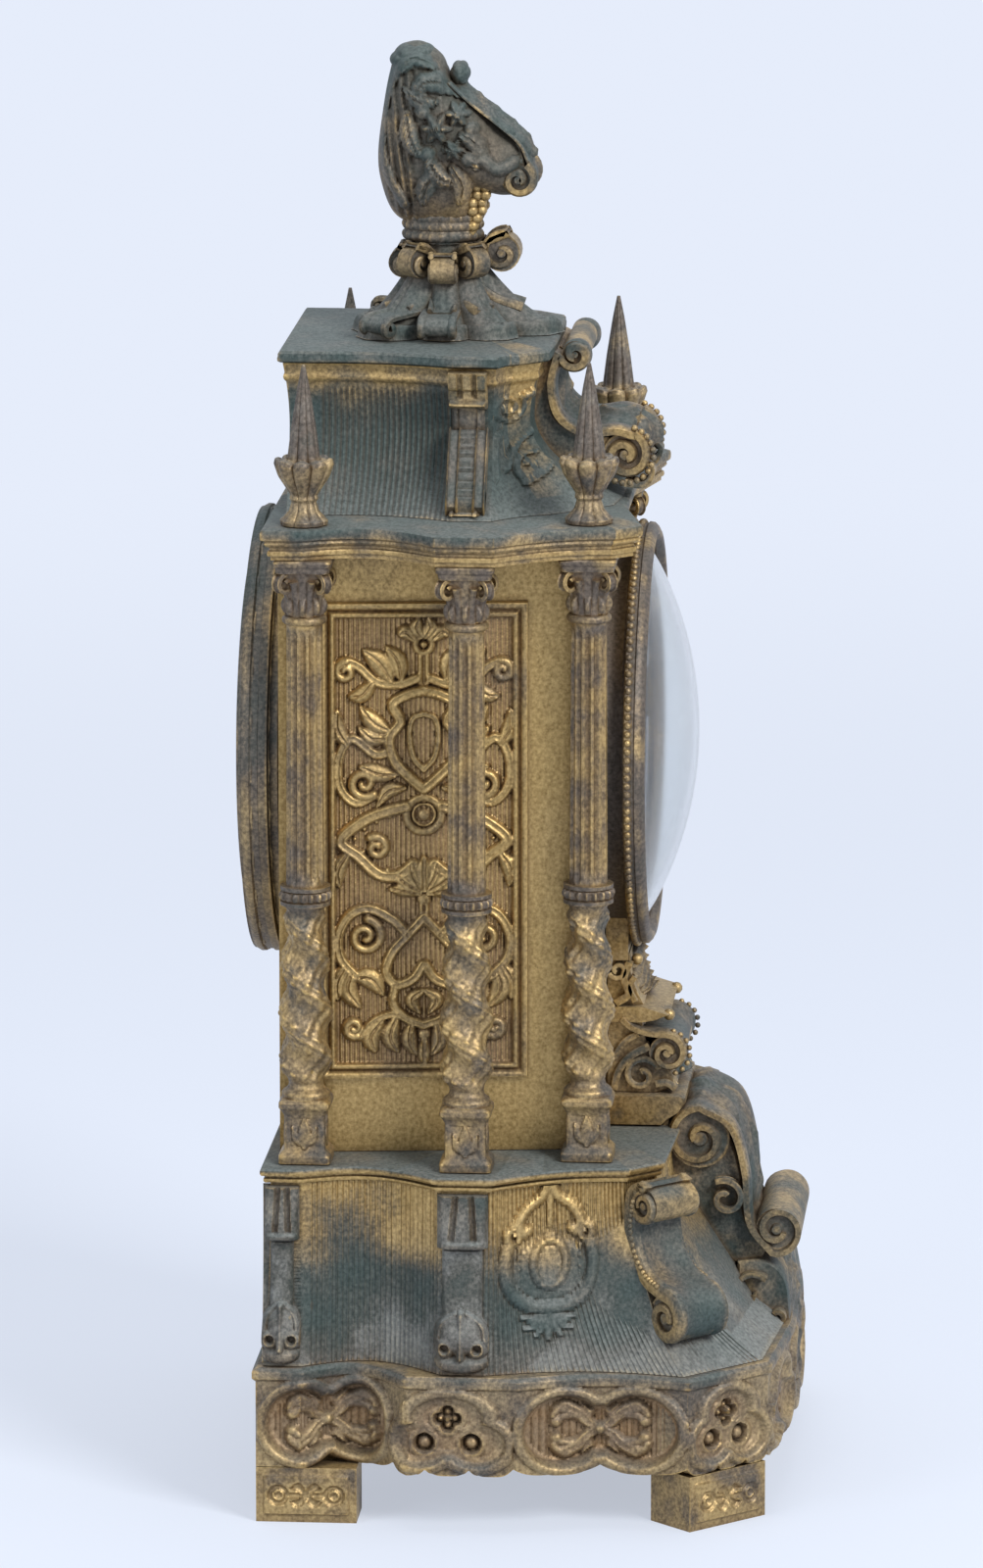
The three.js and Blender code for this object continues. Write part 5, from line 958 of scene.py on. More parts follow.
def arabesque(u, v):
    """Height of the ornament about its axis: double-lined straps (half width, height, points), spirals, leaf
    sprays (half width, points), roundel and palmette; the highest of them counts."""
    a = np.abs(u)
    straps = (
        (1.5, 1.1, (2.0, 51.5), (8.0, 49.5), (14.5, 50.5), (19.5, 55.0), (23.5, 57.0)),
        (1.7, 1.4, (0.0, 47.8), (5.0, 46.5), (9.6, 43.5), (7.2, 38.2), (10.6, 33.0), (9.0, 26.0), (4.6, 21.0),
         (0, 17.0)),
        (0.9, 0.9, (0.0, 40.5), (3.4, 39.0), (4.4, 34.0), (3.2, 27.0), (0, 23.0)),
        (1.5, 1.1, (10.0, 29.0), (15.0, 28.0), (22.0, 33.0), (26.0, 27.0), (25.8, 18.0), (21.0, 12.8),
         (15.5, 15.0)),
        (1.9, 1.3, (5.6, 11.5), (12.0, 10.0), (19.0, 7.0), (25.6, 1.0), (20.0, -4.0), (14.0, -9.5),
         (8.0, -10.0), (3.2, -6.5)),
        (1.6, 1.3, (0.0, -23.0), (5.0, -28.5), (9.8, -34.0), (11.6, -40.0), (8.6, -44.2), (3.4, -42.4),
         (0.4, -38.0)),
        (1.6, 1.3, (5.0, -28.5), (10.0, -23.5), (17.0, -20.2), (23.0, -22.4), (26.4, -29.0), (25.6, -36.0),
         (21.0, -41.5)),
        (1.5, 1.3, (9.0, -44.5), (9.6, -50.0), (6.0, -54.5), (0.0, -57.0)),
        (1.3, 1.2, (3.0, -56.0), (9.0, -53.6), (15.0, -55.4), (20.0, -60.5)),
    )
    leaves = (
        (1.4, (0.6, 64.5), (2.2, 67.5), (1.2, 70.0)), (1.5, (2.6, 63.5), (5.4, 66.0), (7.6, 65.0)),
        (2.2, (10.0, 51.0), (13.5, 56.5), (18.5, 60.5)), (1.9, (7.0, 51.5), (8.0, 57.0), (11.5, 61.5)),
        (1.7, (15.5, 50.5), (19.0, 46.5), (23.0, 46.0)), (1.9, (11.0, 35.5), (15.5, 38.0), (19.5, 43.0)),
        (1.6, (11.5, 33.0), (16.0, 33.0), (20.0, 36.5)), (1.9, (19.0, 24.0), (14.0, 22.0), (8.0, 21.5)),
        (1.7, (23.5, 31.0), (26.5, 36.0), (26.5, 42.0)), (1.5, (6.0, 17.5), (11.0, 16.5), (14.5, 11.5)),
        (1.7, (23.5, -3.0), (26.5, -8.0), (26.0, -13.5)), (1.7, (0.2, -14.5), (0.3, -9.0), (0.2, -4.0)),
        (1.5, (0.8, -14.5), (3.4, -10.0), (4.4, -5.0)), (1.5, (1.2, -15.0), (6.0, -12.0), (9.4, -8.8)),
        (1.3, (1.2, -15.6), (6.4, -14.6), (11.0, -14.0)), (2.1, (21.0, -41.5), (16.0, -42.5), (12.5, -47.5)),
        (2.0, (22.5, -40.5), (23.5, -46.0), (19.5, -51.5)),
        (1.6, (24.0, -38.0), (26.8, -43.0), (26.6, -49.0)),
        (1.4, (0.4, -46.0), (3.8, -49.0), (1.2, -53.5)), (1.9, (13.0, -55.5), (16.5, -60.5), (15.0, -65.5)),
        (1.8, (8.5, -54.5), (10.5, -60.5), (8.0, -65.5)), (1.6, (4.0, -56.5), (4.6, -62.0), (2.2, -66.5)),
        (1.2, (0.2, -61.5), (0.3, -66.0), (0.2, -69.5)),
    )
    curls = (
        ((24.0, 53.8), 3.2, 0.8, 95, -420), ((18.4, 19.0), 4.6, 0.9, -130, 470),
        ((14.6, -1.2), 3.6, 0.8, 60, 440),
        ((18.2, -29.0), 5.6, 1.0, 100, 520), ((21.6, -57.6), 3.0, 0.7, -110, 430),
    )
    stalks = ((0.8, (1.1, 58.5), (1.1, 50.0)), (0.7, (0.9, -19.0), (0.9, -24.0)))
    dots = ((10.5, 8.4), (14.5, 6.8), (18.2, 4.6), (21.2, 1.6), (18.6, -2.4), (15.4, -6.2), (11.2, -8.0))
    bosses = ((62.0, 1.2, 1.4), (9.0, 2.0, 1.5), (-17.4, 2.2, 1.6), (-60.0, 2.0, 1.5))
    rings = ((62.0, 2.6, 1.0, 1.3), (9.0, 5.4, 1.3, 1.4), (9.0, 3.4, 0.5, 0.9))
    swell = 1.6 * np.sin(np.linspace(0.35, 3.0, 10))
    rises = []
    for half, high, *points in straps:
        path = bend(*points, count=26)
        rises.append(1.7 * (ridge(a, v, path, half * 1.1, high) - ridge(a, v, path, half * 0.45, high * 0.3)))
    for half, *points in leaves:
        path = bend(*points, count=10)
        blade = ridge(a, v, path, np.maximum(swell * half, 0.3), 1.2)
        rises.append(1.8 * (blade - ridge(a, v, path, 0.45, 0.4)))
    for curl in curls:
        rises.append(1.8 * ridge(a, v, spiral(*curl), np.linspace(1.56, 1.2, 26), 1.2))
    rises += [ridge(a, v, points, half, 1.2) for half, *points in stalks]
    rises += [knob(a, v, spot, 0.7, 1.3) for spot in dots]
    rises += [knob(a, v, (0, y), radius, high) for y, radius, high in bosses]
    rises += [ridge(a, v, spiral((0, y), big, big, -90, 360), half, high) for y, big, half, high in rings]
    return np.maximum.reduce(rises)


def side_panel():
    """Left panel as a closed sheet: frame mouldings by distance from the edge, then the combed field and
    ornament."""
    across = np.linspace(-PANEL_WIDTH / 2, PANEL_WIDTH / 2, 218)
    u, v = np.meshgrid(across, np.linspace(-PANEL_HEIGHT / 2, PANEL_HEIGHT / 2, 440))
    edge = np.minimum(PANEL_WIDTH / 2 - np.abs(u), PANEL_HEIGHT / 2 - np.abs(v))
    inside = step(edge, PANEL_BORDER, PANEL_BORDER + 0.7)
    tooth = np.cos(2 * np.pi * u / PANEL_COMB)
    comb = 0.26 * tooth + 0.12 * np.cos(2 * np.pi * v / 0.9 + np.pi * (tooth > 0))
    hollow = 0.9 * step(edge, 1.4, 3.0) * (1 - step(edge, 2.6, 3.4))
    rise = PANEL_RIM - hollow + 0.54 * arched((edge - 1.2) / 1.3) + 0.42 * arched((edge - 3.9) / 0.8)
    carved = arabesque(u, v + PANEL_Z - ARABESQUE_Z)
    rise = rise * (1 - inside) + inside * (PANEL_FIELD + np.where(carved > 0.1, carved, comb))
    rise[[0, -1]], rise[:, [0, -1]] = PANEL_BACK, PANEL_BACK
    taper = math.atan2(CASE_REAR_HALF - CASE_FRONT_HALF, CASE_DEPTH)
    middle_x = CASE_REAR_HALF - math.tan(taper) * PANEL_MIDDLE

    def stand(off):
        """The panel's grid at a distance off the case wall, turned with the wall's taper."""
        x = middle_x - math.sin(taper) * u + math.cos(taper) * off
        return place(-x, PANEL_MIDDLE + math.cos(taper) * u + math.sin(taper) * off, PANEL_Z + v)

    # The combed ground, most in its grooves, gets a hollow share: copper in the finish, with a little painted
    # shade.
    ground = inside * (1 - step(carved, 0.2, 1.0)) * (0.5 - 1.2 * comb)
    back = stand(PANEL_BACK)[:, [-1, 0]]
    return tube(np.concatenate([stand(rise), back], 1), hollow=np.concatenate([ground, 0 * ground[:, :2]], 1))


panel_brass = bronze("panel_brass", 0.62, 0.0, 0.02, copper=1.0, dark=0.05, coarse=45.0)
cast_pair("carved_panel", [side_panel()], panel_brass, "brass", "side_panel", crease=60)

# Columns: six cast bronze columns, screwed between platform and cornice. Each has a square pedestal with
# leaves, a swelling foot with spiral foliage, a beaded ring, a fluted shaft and a leafy capital with volutes.
SHAFT_RADIUS = 5.9
SHAFT_LOW, SHAFT_HIGH = 195.6, 277.6
CAPITAL_Z, CAPITAL_HEIGHT = 280.0, 14.2
PEDESTAL_HALF = 6.3
FLUTES = 12
TWIST_LOW, TWIST_HIGH = 133.5, 190.5
COLUMN_SPOTS = {
    "rear": (REAR_HALF, REAR_DEPTH), "mid": (MID_HALF, MID_DEPTH), "front": (CORNER_HALF, CORNER_DEPTH)}
way = np.linspace(0, 2 * np.pi, 96, endpoint=False)


def round_skin(radius, z):
    """Point = radius x (cos, sin) at height z, for radius as an array over height and angle."""
    return tube(place(radius * np.cos(way), radius * np.sin(way), z + 0 * way))


def profiled(z, *profile):
    """Radius at each height, straight between the (radius, height) pairs of a profile."""
    radii, heights = zip(*profile)
    return np.interp(z, heights, radii)


def squared(power):
    """Radius of a square with half side 1 and softened corners, by angle."""
    return 1 / (np.abs(np.cos(way)) ** power + np.abs(np.sin(way)) ** power) ** (1 / power)


def pedestal():
    """Square pedestal with plinth, sunk faces with a leaf each, and a cap moulding."""
    z = np.linspace(110.2, 130.0, 44)[:, None]
    half = profiled(z, (8.0, 110.2), (8.0, 112.6), (7.2, 113.6), (6.4, 114.4), (PEDESTAL_HALF, 125.0),
                    (7.0, 126.4), (7.9, 127.6), (7.9, 129.2), (7.0, 130))
    face = (way + np.pi / 4) % (np.pi / 2) - np.pi / 4
    u = np.abs(np.tan(face) * PEDESTAL_HALF + 0 * z)
    v = z - 119.6 + 0 * way
    blade = bend((0.2, -4.5), (0.5, 0), (0.2, 4.5), count=9)
    lobe = bend((0.6, -4.2), (2.8, -1.5), (3.6, 2.2), count=8)
    leaf = np.maximum(ridge(u, v, blade, np.sin(np.linspace(0.4, 2.9, 9)) * 1.6, 0.9),
                      ridge(u, v, lobe, np.sin(np.linspace(0.4, 2.9, 8)) * 1.3, 0.8))
    panel = -0.5 * step(4.6 - u, 0, 0.4) * step(5.0 - np.abs(v), 0, 0.4)
    return round_skin(half * squared(14.0) + panel + leaf * (np.abs(v) < 5.2), z)


def swelling_foot():
    """Bell foot and torus, then a bulging drum with spiral bands of leaves."""
    z = np.linspace(129.8, 190.8, 120)[:, None]
    radius = profiled(z, (7.4, 129.8), (7.5, 131.4), (6.9, 132.2), (5.6, 133.0), (5.2, 134.5), (6.2, 137.5),
                      (7.1, 145), (6.9, 156), (6.2, 172), (5.8, 184), (5.6, 188.5),
                      (6.2, 189.4), (6.2, 190.8))
    climb = (z - TWIST_LOW) / (TWIST_HIGH - TWIST_LOW)
    on = step(climb, 0.02, 0.08) * (1 - step(climb, 0.92, 0.97))
    phase = 2 * way - 2 * np.pi * 3.6 * climb
    band = np.cos(phase)
    leaf_edge = np.cos(3 * phase + 5 * way) * np.cos(2 * np.pi * z / 5.2)
    vein = 0.25 * np.cos(9 * way + 2 * np.pi * z / 7)
    return round_skin(radius + on * (1.15 * band + 0.45 * np.clip(band + 0.3, 0, 1) * leaf_edge + vein), z)


def shaft():
    """Round shaft with twelve hollow flutes between flat fillets, and plain ends."""
    z = np.linspace(SHAFT_LOW, SHAFT_HIGH, 46)[:, None]
    taper = SHAFT_RADIUS - 0.45 * (z - SHAFT_LOW) / (SHAFT_HIGH - SHAFT_LOW)
    hollow = np.clip(np.cos(FLUTES * way) + 0.25, 0, None) ** 0.6
    ends = step(z, 197.4, 199.0) * (1 - step(z, 274.0, 275.6))
    return round_skin(taper - 0.95 * hollow * ends, z)


def ring(z0, z1, radius, beads):
    """Collar of a fillet, a row of beads and a fillet."""
    z = np.linspace(z0, z1, 26)[:, None]
    share = (z - z0) / (z1 - z0)
    bead = arched((share - 0.5) / 0.26) * (0.55 + 0.45 * np.cos(beads * way))
    lips = 0.9 * (np.abs(share - 0.1) < 0.11) + 0.9 * (np.abs(share - 0.9) < 0.11)
    return round_skin(radius - 1.2 + np.maximum(lips, 1.5 * bead), z)


def heading(turn):
    """Direction in plan, (cos, sin) of degrees."""
    return math.cos(math.radians(turn)), math.sin(math.radians(turn))


def capital():
    """Flared bell with two ranks of leaves bent outwards at the tip, under a hollow-sided square abacus."""
    z = np.linspace(CAPITAL_Z, CAPITAL_Z + CAPITAL_HEIGHT, 64)[:, None]
    share = (z - CAPITAL_Z) / CAPITAL_HEIGHT
    bell = 5.4 + 1.5 * share ** 2
    low = np.clip(np.cos(8 * way), 0, 1) ** 0.5 * 1.7 * np.sin(np.pi * np.clip(share / 0.42, 0, 1)) ** 0.8
    tips = np.clip(np.cos(8 * way + np.pi), 0, 1) ** 0.5
    high = tips * 2.4 * np.clip(share / 0.78, 0, 1) ** 2.2 * (share < 0.8)
    corner = np.clip(np.cos(4 * way + np.pi), 0, 1) ** 2 * 3.2 * np.clip((share - 0.5) / 0.5, 0, 1) ** 1.5
    top = np.linspace(294.0, 297.9, 14)[:, None]
    lip = profiled(top, (8.0, 294.0), (8.2, 294.8), (8.2, 295.6), (8.8, 296.2), (9.0, 297.4), (8.6, 297.9))
    dip = 1 - 0.09 * np.clip(np.cos(4 * way), 0, 1) ** 1.2
    volute = spiral((8.2, 290.4), 3.4, 0.9, 100, -400, 26)
    return [
        round_skin(bell + np.maximum.reduce([low, high, corner]), z),
        round_skin(lip * squared(12.0) * dip, top),
        *(turned_scroll(volute, 1.3, 1.7, MIDDLE, heading(turn)) for turn in (45, 135, 225, 315)),
    ]


def torus(z, radius, thick):
    """Plain rounded collar."""
    turn = np.linspace(0, 2 * np.pi, 12, endpoint=False)[:, None]
    out = radius + thick * np.cos(turn)
    return tube(place(out * np.cos(way), out * np.sin(way), z + thick * np.sin(turn)), wrap=True)


def shifted(parts, x, depth):
    """Skins moved from the middle of the clock to an axis on its left side."""
    shift = place(-x, depth, 0.0) - place(0.0, 0.0, 0.0)
    return [(points + shift, faces, hollow) for points, faces, hollow in parts]


column_rings = [ring(190.2, 196.2, 8.0, 18), torus(278.8, 5.6, 1.3)]
column_kit = [pedestal(), swelling_foot(), shaft(), *column_rings, *capital()]
column_bronze = bronze(
    "column_bronze",
    ((110, 0.45), (130, 0.42), (150, 0.52), (186, 0.5), (193, 0.15), (202, 0.46), (270, 0.44),
     (284, 0.28), (298, 0.3)),
    ((110, 0.2), (133, 0.1), (190, 0.25), (200, 0.05), (298, 0.05)), 0.08,
    copper=((110, 0.7), (200, 0.8), (270, 0.9), (284, 1.0), (298, 1.0)), coarse=90.0)
for rank, spot in COLUMN_SPOTS.items():
    left = shifted(column_kit, *spot)
    cast_pair(f"carved_column_{rank}", left, column_bronze, "gilt_bronze", f"column_{rank}")

# Entablature: the moulded cornice that ties the column heads together, a cast ring that breaks forward over
# each column and hollows between them.
CORNICE_Z, CORNICE_TOP = 298.0, 308.0
CORNICE_EDGE = 2.5
CORNICE = (10, 12, 9, 10, -7, 36, 9, 9)
cornice_steps = [
    (0.0, 0.1), (0.0, 1.2), (0.8, 1.5), (1.0, 2.2), (0.8, 3.0), (0.2, 3.3), (0.2, 4.0), (1.3, 4.5),
    (1.8, 5.2), (1.6, 5.9), (2.1, 6.3), (2.8, 6.6), (3.0, 7.4), (3.0, 8.8), (2.7, 9.5), (1.9, 9.8)]


def moulded(sizes, edge, steps, base_z):
    """Moulding carried round a storey drawn in by an edge: each step is (out, up) from there, and top and
    underside are closed."""
    rings = [level(drawn_in(edge - by, *sizes), base_z + up) for by, up in steps]
    rings += [closed(rings[0][:, :2], base_z + up) for up in (steps[-1][1], steps[0][1])]
    return tube(placed(np.array(rings)), wrap=True)


cornice_bronze = bronze(
    "cornice_bronze", ((298, 0.58), (304, 0.44), (306, 0.26), (307.6, 0.1)),
    ((298, 0.15), (304, 0.3), (307.6, 0.72)), ((298, 0.1), (307, 0.2), (308, 0.4)), copper=0.6, coarse=70.0)
cornice_ring = moulded(CORNICE, CORNICE_EDGE, cornice_steps, CORNICE_Z)
cast("cornice", [cornice_ring], cornice_bronze, "patinated_bronze", "entablature")

# Spires: four cast finials screwed to the cornice corners.
# Each is a fluted cone standing in a scalloped cup on a flared foot.
def spire():
    """Round profile cut into eight flutes: deep on the foot and cup, shallow on the cone."""
    heights = (0.2, 1.4, 2.0, 4.4, 7.0, 8.0, 9.2, 12.0, 15.0, 17.6, 19.0, 19.6, 19.4, 20.6, 30.0, 42.0, 49.0)
    radii = (7.2, 7.4, 6.8, 4.6, 3.8, 4.4, 4.2, 6.0, 8.0, 9.2, 8.8, 7.2, 5.4, 5.0, 3.8, 1.9, 0.5)
    at = np.linspace(0, 1, 90) * (len(heights) - 1)
    z, radius = (np.interp(at, np.arange(len(heights)), values)[:, None] for values in (heights, radii))
    depth = np.interp(z, (0, 2, 8, 9.5, 19.4, 20.6, 49), (0.06, 0.16, 0.12, 0.2, 0.22, 0.16, 0.1))
    lobe = np.abs(np.cos(4 * way))
    scallop = 1.3 * lobe * step(z, 14, 18.5) * (1 - step(z, 19.3, 19.8))
    return round_skin(radius * (1 - depth * (1 - lobe ** 0.6)), CORNICE_TOP + z + scallop)


spire_bronze = bronze(
    "spire_bronze", ((308, 0.36), (326, 0.46), (331, 0.14), (357, 0.1)), 0.15, 0.25, copper=0.6, coarse=100.0)
for rank in ("rear", "front"):
    left = shifted([spire()], *COLUMN_SPOTS[rank])
    cast_pair(f"fluted_spire_{rank}", left, spire_bronze, "patinated_bronze", f"spire_{rank}")

# Roof: a hollow concave casting, combed with ribs, that stands on the cornice.
# A strap with a scrolled bracket runs up the middle of each side, under a thin flat cap.
ROOF_Z, ROOF_HEIGHT, CAP_Z = CORNICE_TOP, 43.8, 352.0
CARVING_DEPTH, CARVING_Z = 72.0, 330.0
COVE_Z, COVE_HALF, COVE_RISE = 347.2, 1.1, 0.8
ROOF_STRAP_DEPTH = 56.5
ROOF_FINE = (40, 12, 150, 40, 120, 60, 60, 60)
CAP = (-33, 11, -23, 12, 1, 18, 7, 3, ROOF_FINE)
roof_foot = storey(-16, 7, -13, 26, 2, 18, 6, 5, ROOF_FINE)
roof_neck = storey(-38, 8, -27, 9, 1, 18, 5, 3, ROOF_FINE)
cap_plan = storey(*CAP)
roof_marks = np.cumsum((0,) + ROOF_FINE)


def roof_between(foot, neck, cap, share):
    """Roof at a share of its height: neck + (foot - neck) x (1 - share / 0.6)^2 below, then drawn towards the
    cap by 0.6 x ((share - 0.55) / 0.45)^2 above."""
    plain = neck + (foot - neck) * np.clip(1 - share / 0.6, 0, None) ** 2
    return plain + (cap - plain) * (0.6 * np.clip((share - 0.55) / 0.45, 0, None) ** 2)


def roof_side(depth, z):
    """Half width of the roof's side at a depth and a height."""
    plans = (roof_foot, roof_neck, cap_plan)
    halves = (half_width(plan, depth, roof_marks[1] + 1, roof_marks[6]) for plan in plans)
    return roof_between(*halves, np.clip((z - ROOF_Z) / ROOF_HEIGHT, 0, 1))


def roof_carving(u, v):
    """Scrolls and leaves cut on the front corners of the roof, the highest of them counting."""
    swell = [0.5, 0.9, 1.3, 1.5, 1.6, 1.5, 1.3, 1.0, 0.7, 0.4]
    stem = bend((1.0, 11.5), (6.0, 13.0), (9.0, 9.0), (6.0, 3.0), (-1.0, -2.0), (-4.0, -9.0), count=26)
    return np.maximum.reduce([
        ridge(u, v, spiral((-4.0, 8.5), 5.0, 0.8, 40, -620, 34), 0.8, 0.9),
        ridge(u, v, stem, 1.4, 1.6),
        ridge(u, v, bend((5.0, 0.0), (9.0, -4.0), (8.0, -10.0), (2.0, -13.0), count=16), 1.6, 1.8),
        ridge(u, v, spiral((2.0, -9.0), 4.2, 1.0, 60, 420, 24), 1.2, 1.6),
        ridge(u, v, bend((-6.0, 2.0), (-8.0, -4.0), (-6.5, -12.0), count=10), swell, 1.4),
    ])


share = np.linspace(0, 1, 60)[:, None, None]
roof_plan = roof_between(roof_foot, roof_neck, cap_plan, share)
roof_z = np.broadcast_to(ROOF_Z + share[..., 0] * ROOF_HEIGHT, roof_plan.shape[:2])
roof_run = run_along(roof_neck)
ends = roof_run[roof_marks]
run = np.minimum(roof_run, 2 * ends[-1] - roof_run)
ribbed = step(run, ends[2] + 1, ends[2] + 2) * (1 - step(run, ends[3] - 1, ends[3]))
ribs = ribbed * np.cos(2 * np.pi * roof_run / RIB_PITCH)
below_head = 1 - step(roof_z, 343, 346)
cove = COVE_RISE * arched((roof_z - COVE_Z) / COVE_HALF)
front_part = step(run, ends[4], ends[4] + 1) * (run < ends[6])
point = np.arange(len(run))
on_side = (point < roof_marks[6]) | (point > len(run) - roof_marks[6])
carving = roof_carving(roof_plan[..., 1] - CARVING_DEPTH, roof_z - CARVING_Z) * front_part * on_side
roof_rise = np.maximum.reduce([RIB_DEPTH * ribs * below_head, cove, carving])
roof_skin = roof_plan + outward(roof_neck) * roof_rise[..., None]
roof_ends = [closed(cap_plan, ROOF_Z + ROOF_HEIGHT), closed(roof_foot, ROOF_Z)]
roof_rings = np.concatenate([np.concatenate([roof_skin, roof_z[..., None]], -1), roof_ends])
# The rib grooves get a hollow share, which the finish turns to copper and painted shade.
comb = np.concatenate([0.75 * np.clip(-ribs, 0, 1) * below_head, np.zeros((len(roof_ends), len(run)))])


def roof_strap_relief(u, z):
    """Strap up the roof: plain run with a lip on each edge, and a stepped bracket with a bead at the head."""
    a = np.abs(u)
    rise = 1.6 * arched((u / 5.0) ** 3) + 1.0 * (np.abs(a - 3.6) < 0.8)
    head = step(z, 339.5, 340.5) * (3.4 + 1.6 * step(z, 345.0, 345.8)) * (a < 5.8)
    grooves = step(z, 342.5, 343.5) * ridge(a, z, [(2.2, 343), (2.2, 352)], 0.8, 1.4)
    bead = 5.6 * arched((z - 340.8) / 1.5) * (a < 5.6)
    return np.maximum.reduce([rise, head - grooves, bead])


ROOF_BRACKET_DEPTH, LEFTWARD = 57.0, (-1.0, 0.0)
u, z = np.meshgrid(np.linspace(-6.4, 6.4, 40), np.linspace(351.2, 309.0, 90))
bracket_run = np.concatenate([
    bend((47.4, 330.4), (50.4, 331.4), (54.4, 327.0), (60.0, 319.2), (65.0, 312.2), count=40),
    spiral((61.6, 313.4), 3.6, 1.0, -20, -400, 26)[1:],
])
rung_path = bracket_run[:46]
rungs = 3.4 + 0.9 * np.cos(2 * np.pi * run_along(rung_path) / 2.6)
strap_side = [laid(ROOF_STRAP_DEPTH + u, z, roof_strap_relief(u, z), roof_side)]
for side in (-4.2, 4.2):
    strap_side.append(turned_scroll(bracket_run, 5.0, 1.9, (0.0, ROOF_BRACKET_DEPTH + side), LEFTWARD, 0.8))
strap_side.append(turned_scroll(rung_path, rungs, 3.0, (0.0, ROOF_BRACKET_DEPTH), LEFTWARD, 0.9))
# Its dark share of 0.8 paints strong shade into the rib grooves.
roof_bronze = bronze(
    "roof_bronze", ((308, 0.04), (334, 0.08), (342, 0.4), (347, 0.66)),
    ((308, 0.75), (325, 0.9), (338, 0.75), (347, 0.2)), ((308, 0.5), (316, 0.3), (328, 0.06), (348, 0.1)),
    copper=0.2, dark=0.8, coarse=60.0)
roof_tube = tube(placed(roof_rings), wrap=True, hollow=comb)
cast("roof_casting", [roof_tube], roof_bronze, "patinated_bronze", "roof_shell")
roof_strap_bronze = bronze(
    "roof_strap_bronze", ((308, 0.45), (322, 0.15), (336, 0.15), (344, 0.6)), 0.45, 0.3,
    copper=0.4, coarse=90.0)
cast("roof_straps", both_sides(strap_side), roof_strap_bronze, "gilt_bronze")
cap_steps = [
    (-3.0, 0.0), (-0.6, 0.2), (0.2, 0.7), (0.3, 1.6), (0.1, 2.2), (0.1, 3.0), (-0.5, 3.7), (-1.2, 3.8)]
cap_bronze = bronze(
    "cap_bronze", ((352, 0.3), (354, 0.12), (356, 0.05)), 0.75, ((352, 0.2), (356, 0.34)),
    copper=0.2, coarse=60.0)
cast("cap_slab", [moulded(CAP, 0.0, cap_steps, CAP_Z)], cap_bronze, "patinated_bronze", "roof_cap")

# Gable: a cast scroll frame across the front of the roof, pinned to it, its gilding worn to brown and green.
# A leaf runs down its face and pearls stand along the lower volute.
GABLE_HALF = 25.0
GABLE_HEAD, GABLE_TOE = (87.6, 352.6), (103.0, 321.6)
gable_path = np.concatenate([
    spiral(GABLE_HEAD, 1.6, 5.0, 620, -440, 44),
    bend((82.6, 352.6), (80.6, 343.0), (83.0, 333.5), (91.0, 328.6), (100.0, 329.4), (106.0, 328.0),
         count=34)[1:],
    spiral(GABLE_TOE, 7.8, 1.8, 75, -500, 46)[1:],
])
gable_web = np.concatenate([
    bend((80.0, 351.5), (78.6, 342.0), (81.0, 332.0), (90.0, 326.8), (99.0, 326.4), count=14),
    [(97.0, 309.0), (66.0, 309.0), (66.0, 351.5)],
])
gable_parts = [
    turned_scroll(gable_path, 3.0, GABLE_HALF, groove=0.5),
    leaf_strip(bend(*gable_path[42:84], count=90), 14.4),
    eye_disc(GABLE_HEAD, 4.2, GABLE_HALF - 1),
    eye_disc(GABLE_TOE, 6.8, GABLE_HALF - 1),
    front_block(gable_web, GABLE_HALF - 2.5),
]
gable_hook = bend((103.0, 313.0), (109.0, 312.5), (111.5, 316.5), (109.5, 319.0), count=14)
for side in (-1, 1):
    turns = np.radians(np.linspace(-110, 70, 13))
    gable_parts += pearl_arc(side * (GABLE_HALF - 1.5), GABLE_TOE, 8.8, turns, 1.1)
    cheek = (side * (GABLE_HALF - 5.0), 0.0)
    gable_parts.append(turned_scroll(gable_hook, np.linspace(2.6, 1.2, 14), 4.0, cheek))
gable_bronze = bronze(
    "gable_bronze", ((308, 0.18), (322, 0.12), (335, 0.22), (357, 0.1)),
    ((308, 0.6), (335, 0.5), (357, 0.65)), 0.1, copper=0.8, coarse=80.0)
cast("gable_scroll", gable_parts, gable_bronze, "gilt_bronze", "roof_gable")

# Crest foliage: a mound of cast acanthus leaves on the cap, with curled leaves and a folded neck over them.
# One tie rod through the roof holds it with the shield above.
CREST_DEPTH = 46.0
CREST_AXIS = (0.0, CREST_DEPTH)
MOUND_STEPS = 288
MOUND_REACH, MOUND_NECK = 19.0, 8.0
MOUND_FOOT, MOUND_Z, MOUND_TOP = 355.6, 356.0, 388.0
leaf_way = np.linspace(0, 2 * np.pi, MOUND_STEPS, endpoint=False)
out = np.linspace(0, 1, 64)[:, None]
reach, crown = np.full(MOUND_STEPS, MOUND_REACH), np.zeros(MOUND_STEPS)
for turn, far, wide in ((90, 35, 30), (42, 29, 24), (138, 29, 24), (2, 27, 20), (178, 27, 20), (222, 33, 26),
                        (270, 28, 22), (318, 33, 26)):
    off = (np.degrees(leaf_way) - turn + 180) % 360 - 180
    blade = np.cos(np.clip(off / wide, -1, 1) * np.pi / 2)
    notch = 1 - 0.07 * np.abs(np.sin(np.radians(off) * 360 / wide * 0.9))
    reach = np.maximum(reach, MOUND_REACH + (far - MOUND_REACH) * blade ** 0.45 * notch)
    crown = np.maximum(crown, blade ** 0.7 - 0.35 * np.exp(-(off / 2.2) ** 2))
skirt = 26.0 * (1 - out) ** 2.0 + 1.2
ripple = 0.35 * np.cos(40 * leaf_way) * step(out, 0.35, 0.7)
arch = (3.4 * crown + ripple) * np.sin(np.pi * np.clip(out * 1.02, 0, 1)) ** 0.8
tip = 2.4 * np.exp(-((out - 0.9) / 0.08) ** 2)
mound_z = MOUND_Z + np.clip((skirt + arch + tip) * (1 - step(out, 0.94, 1.0)), 0.1, None)
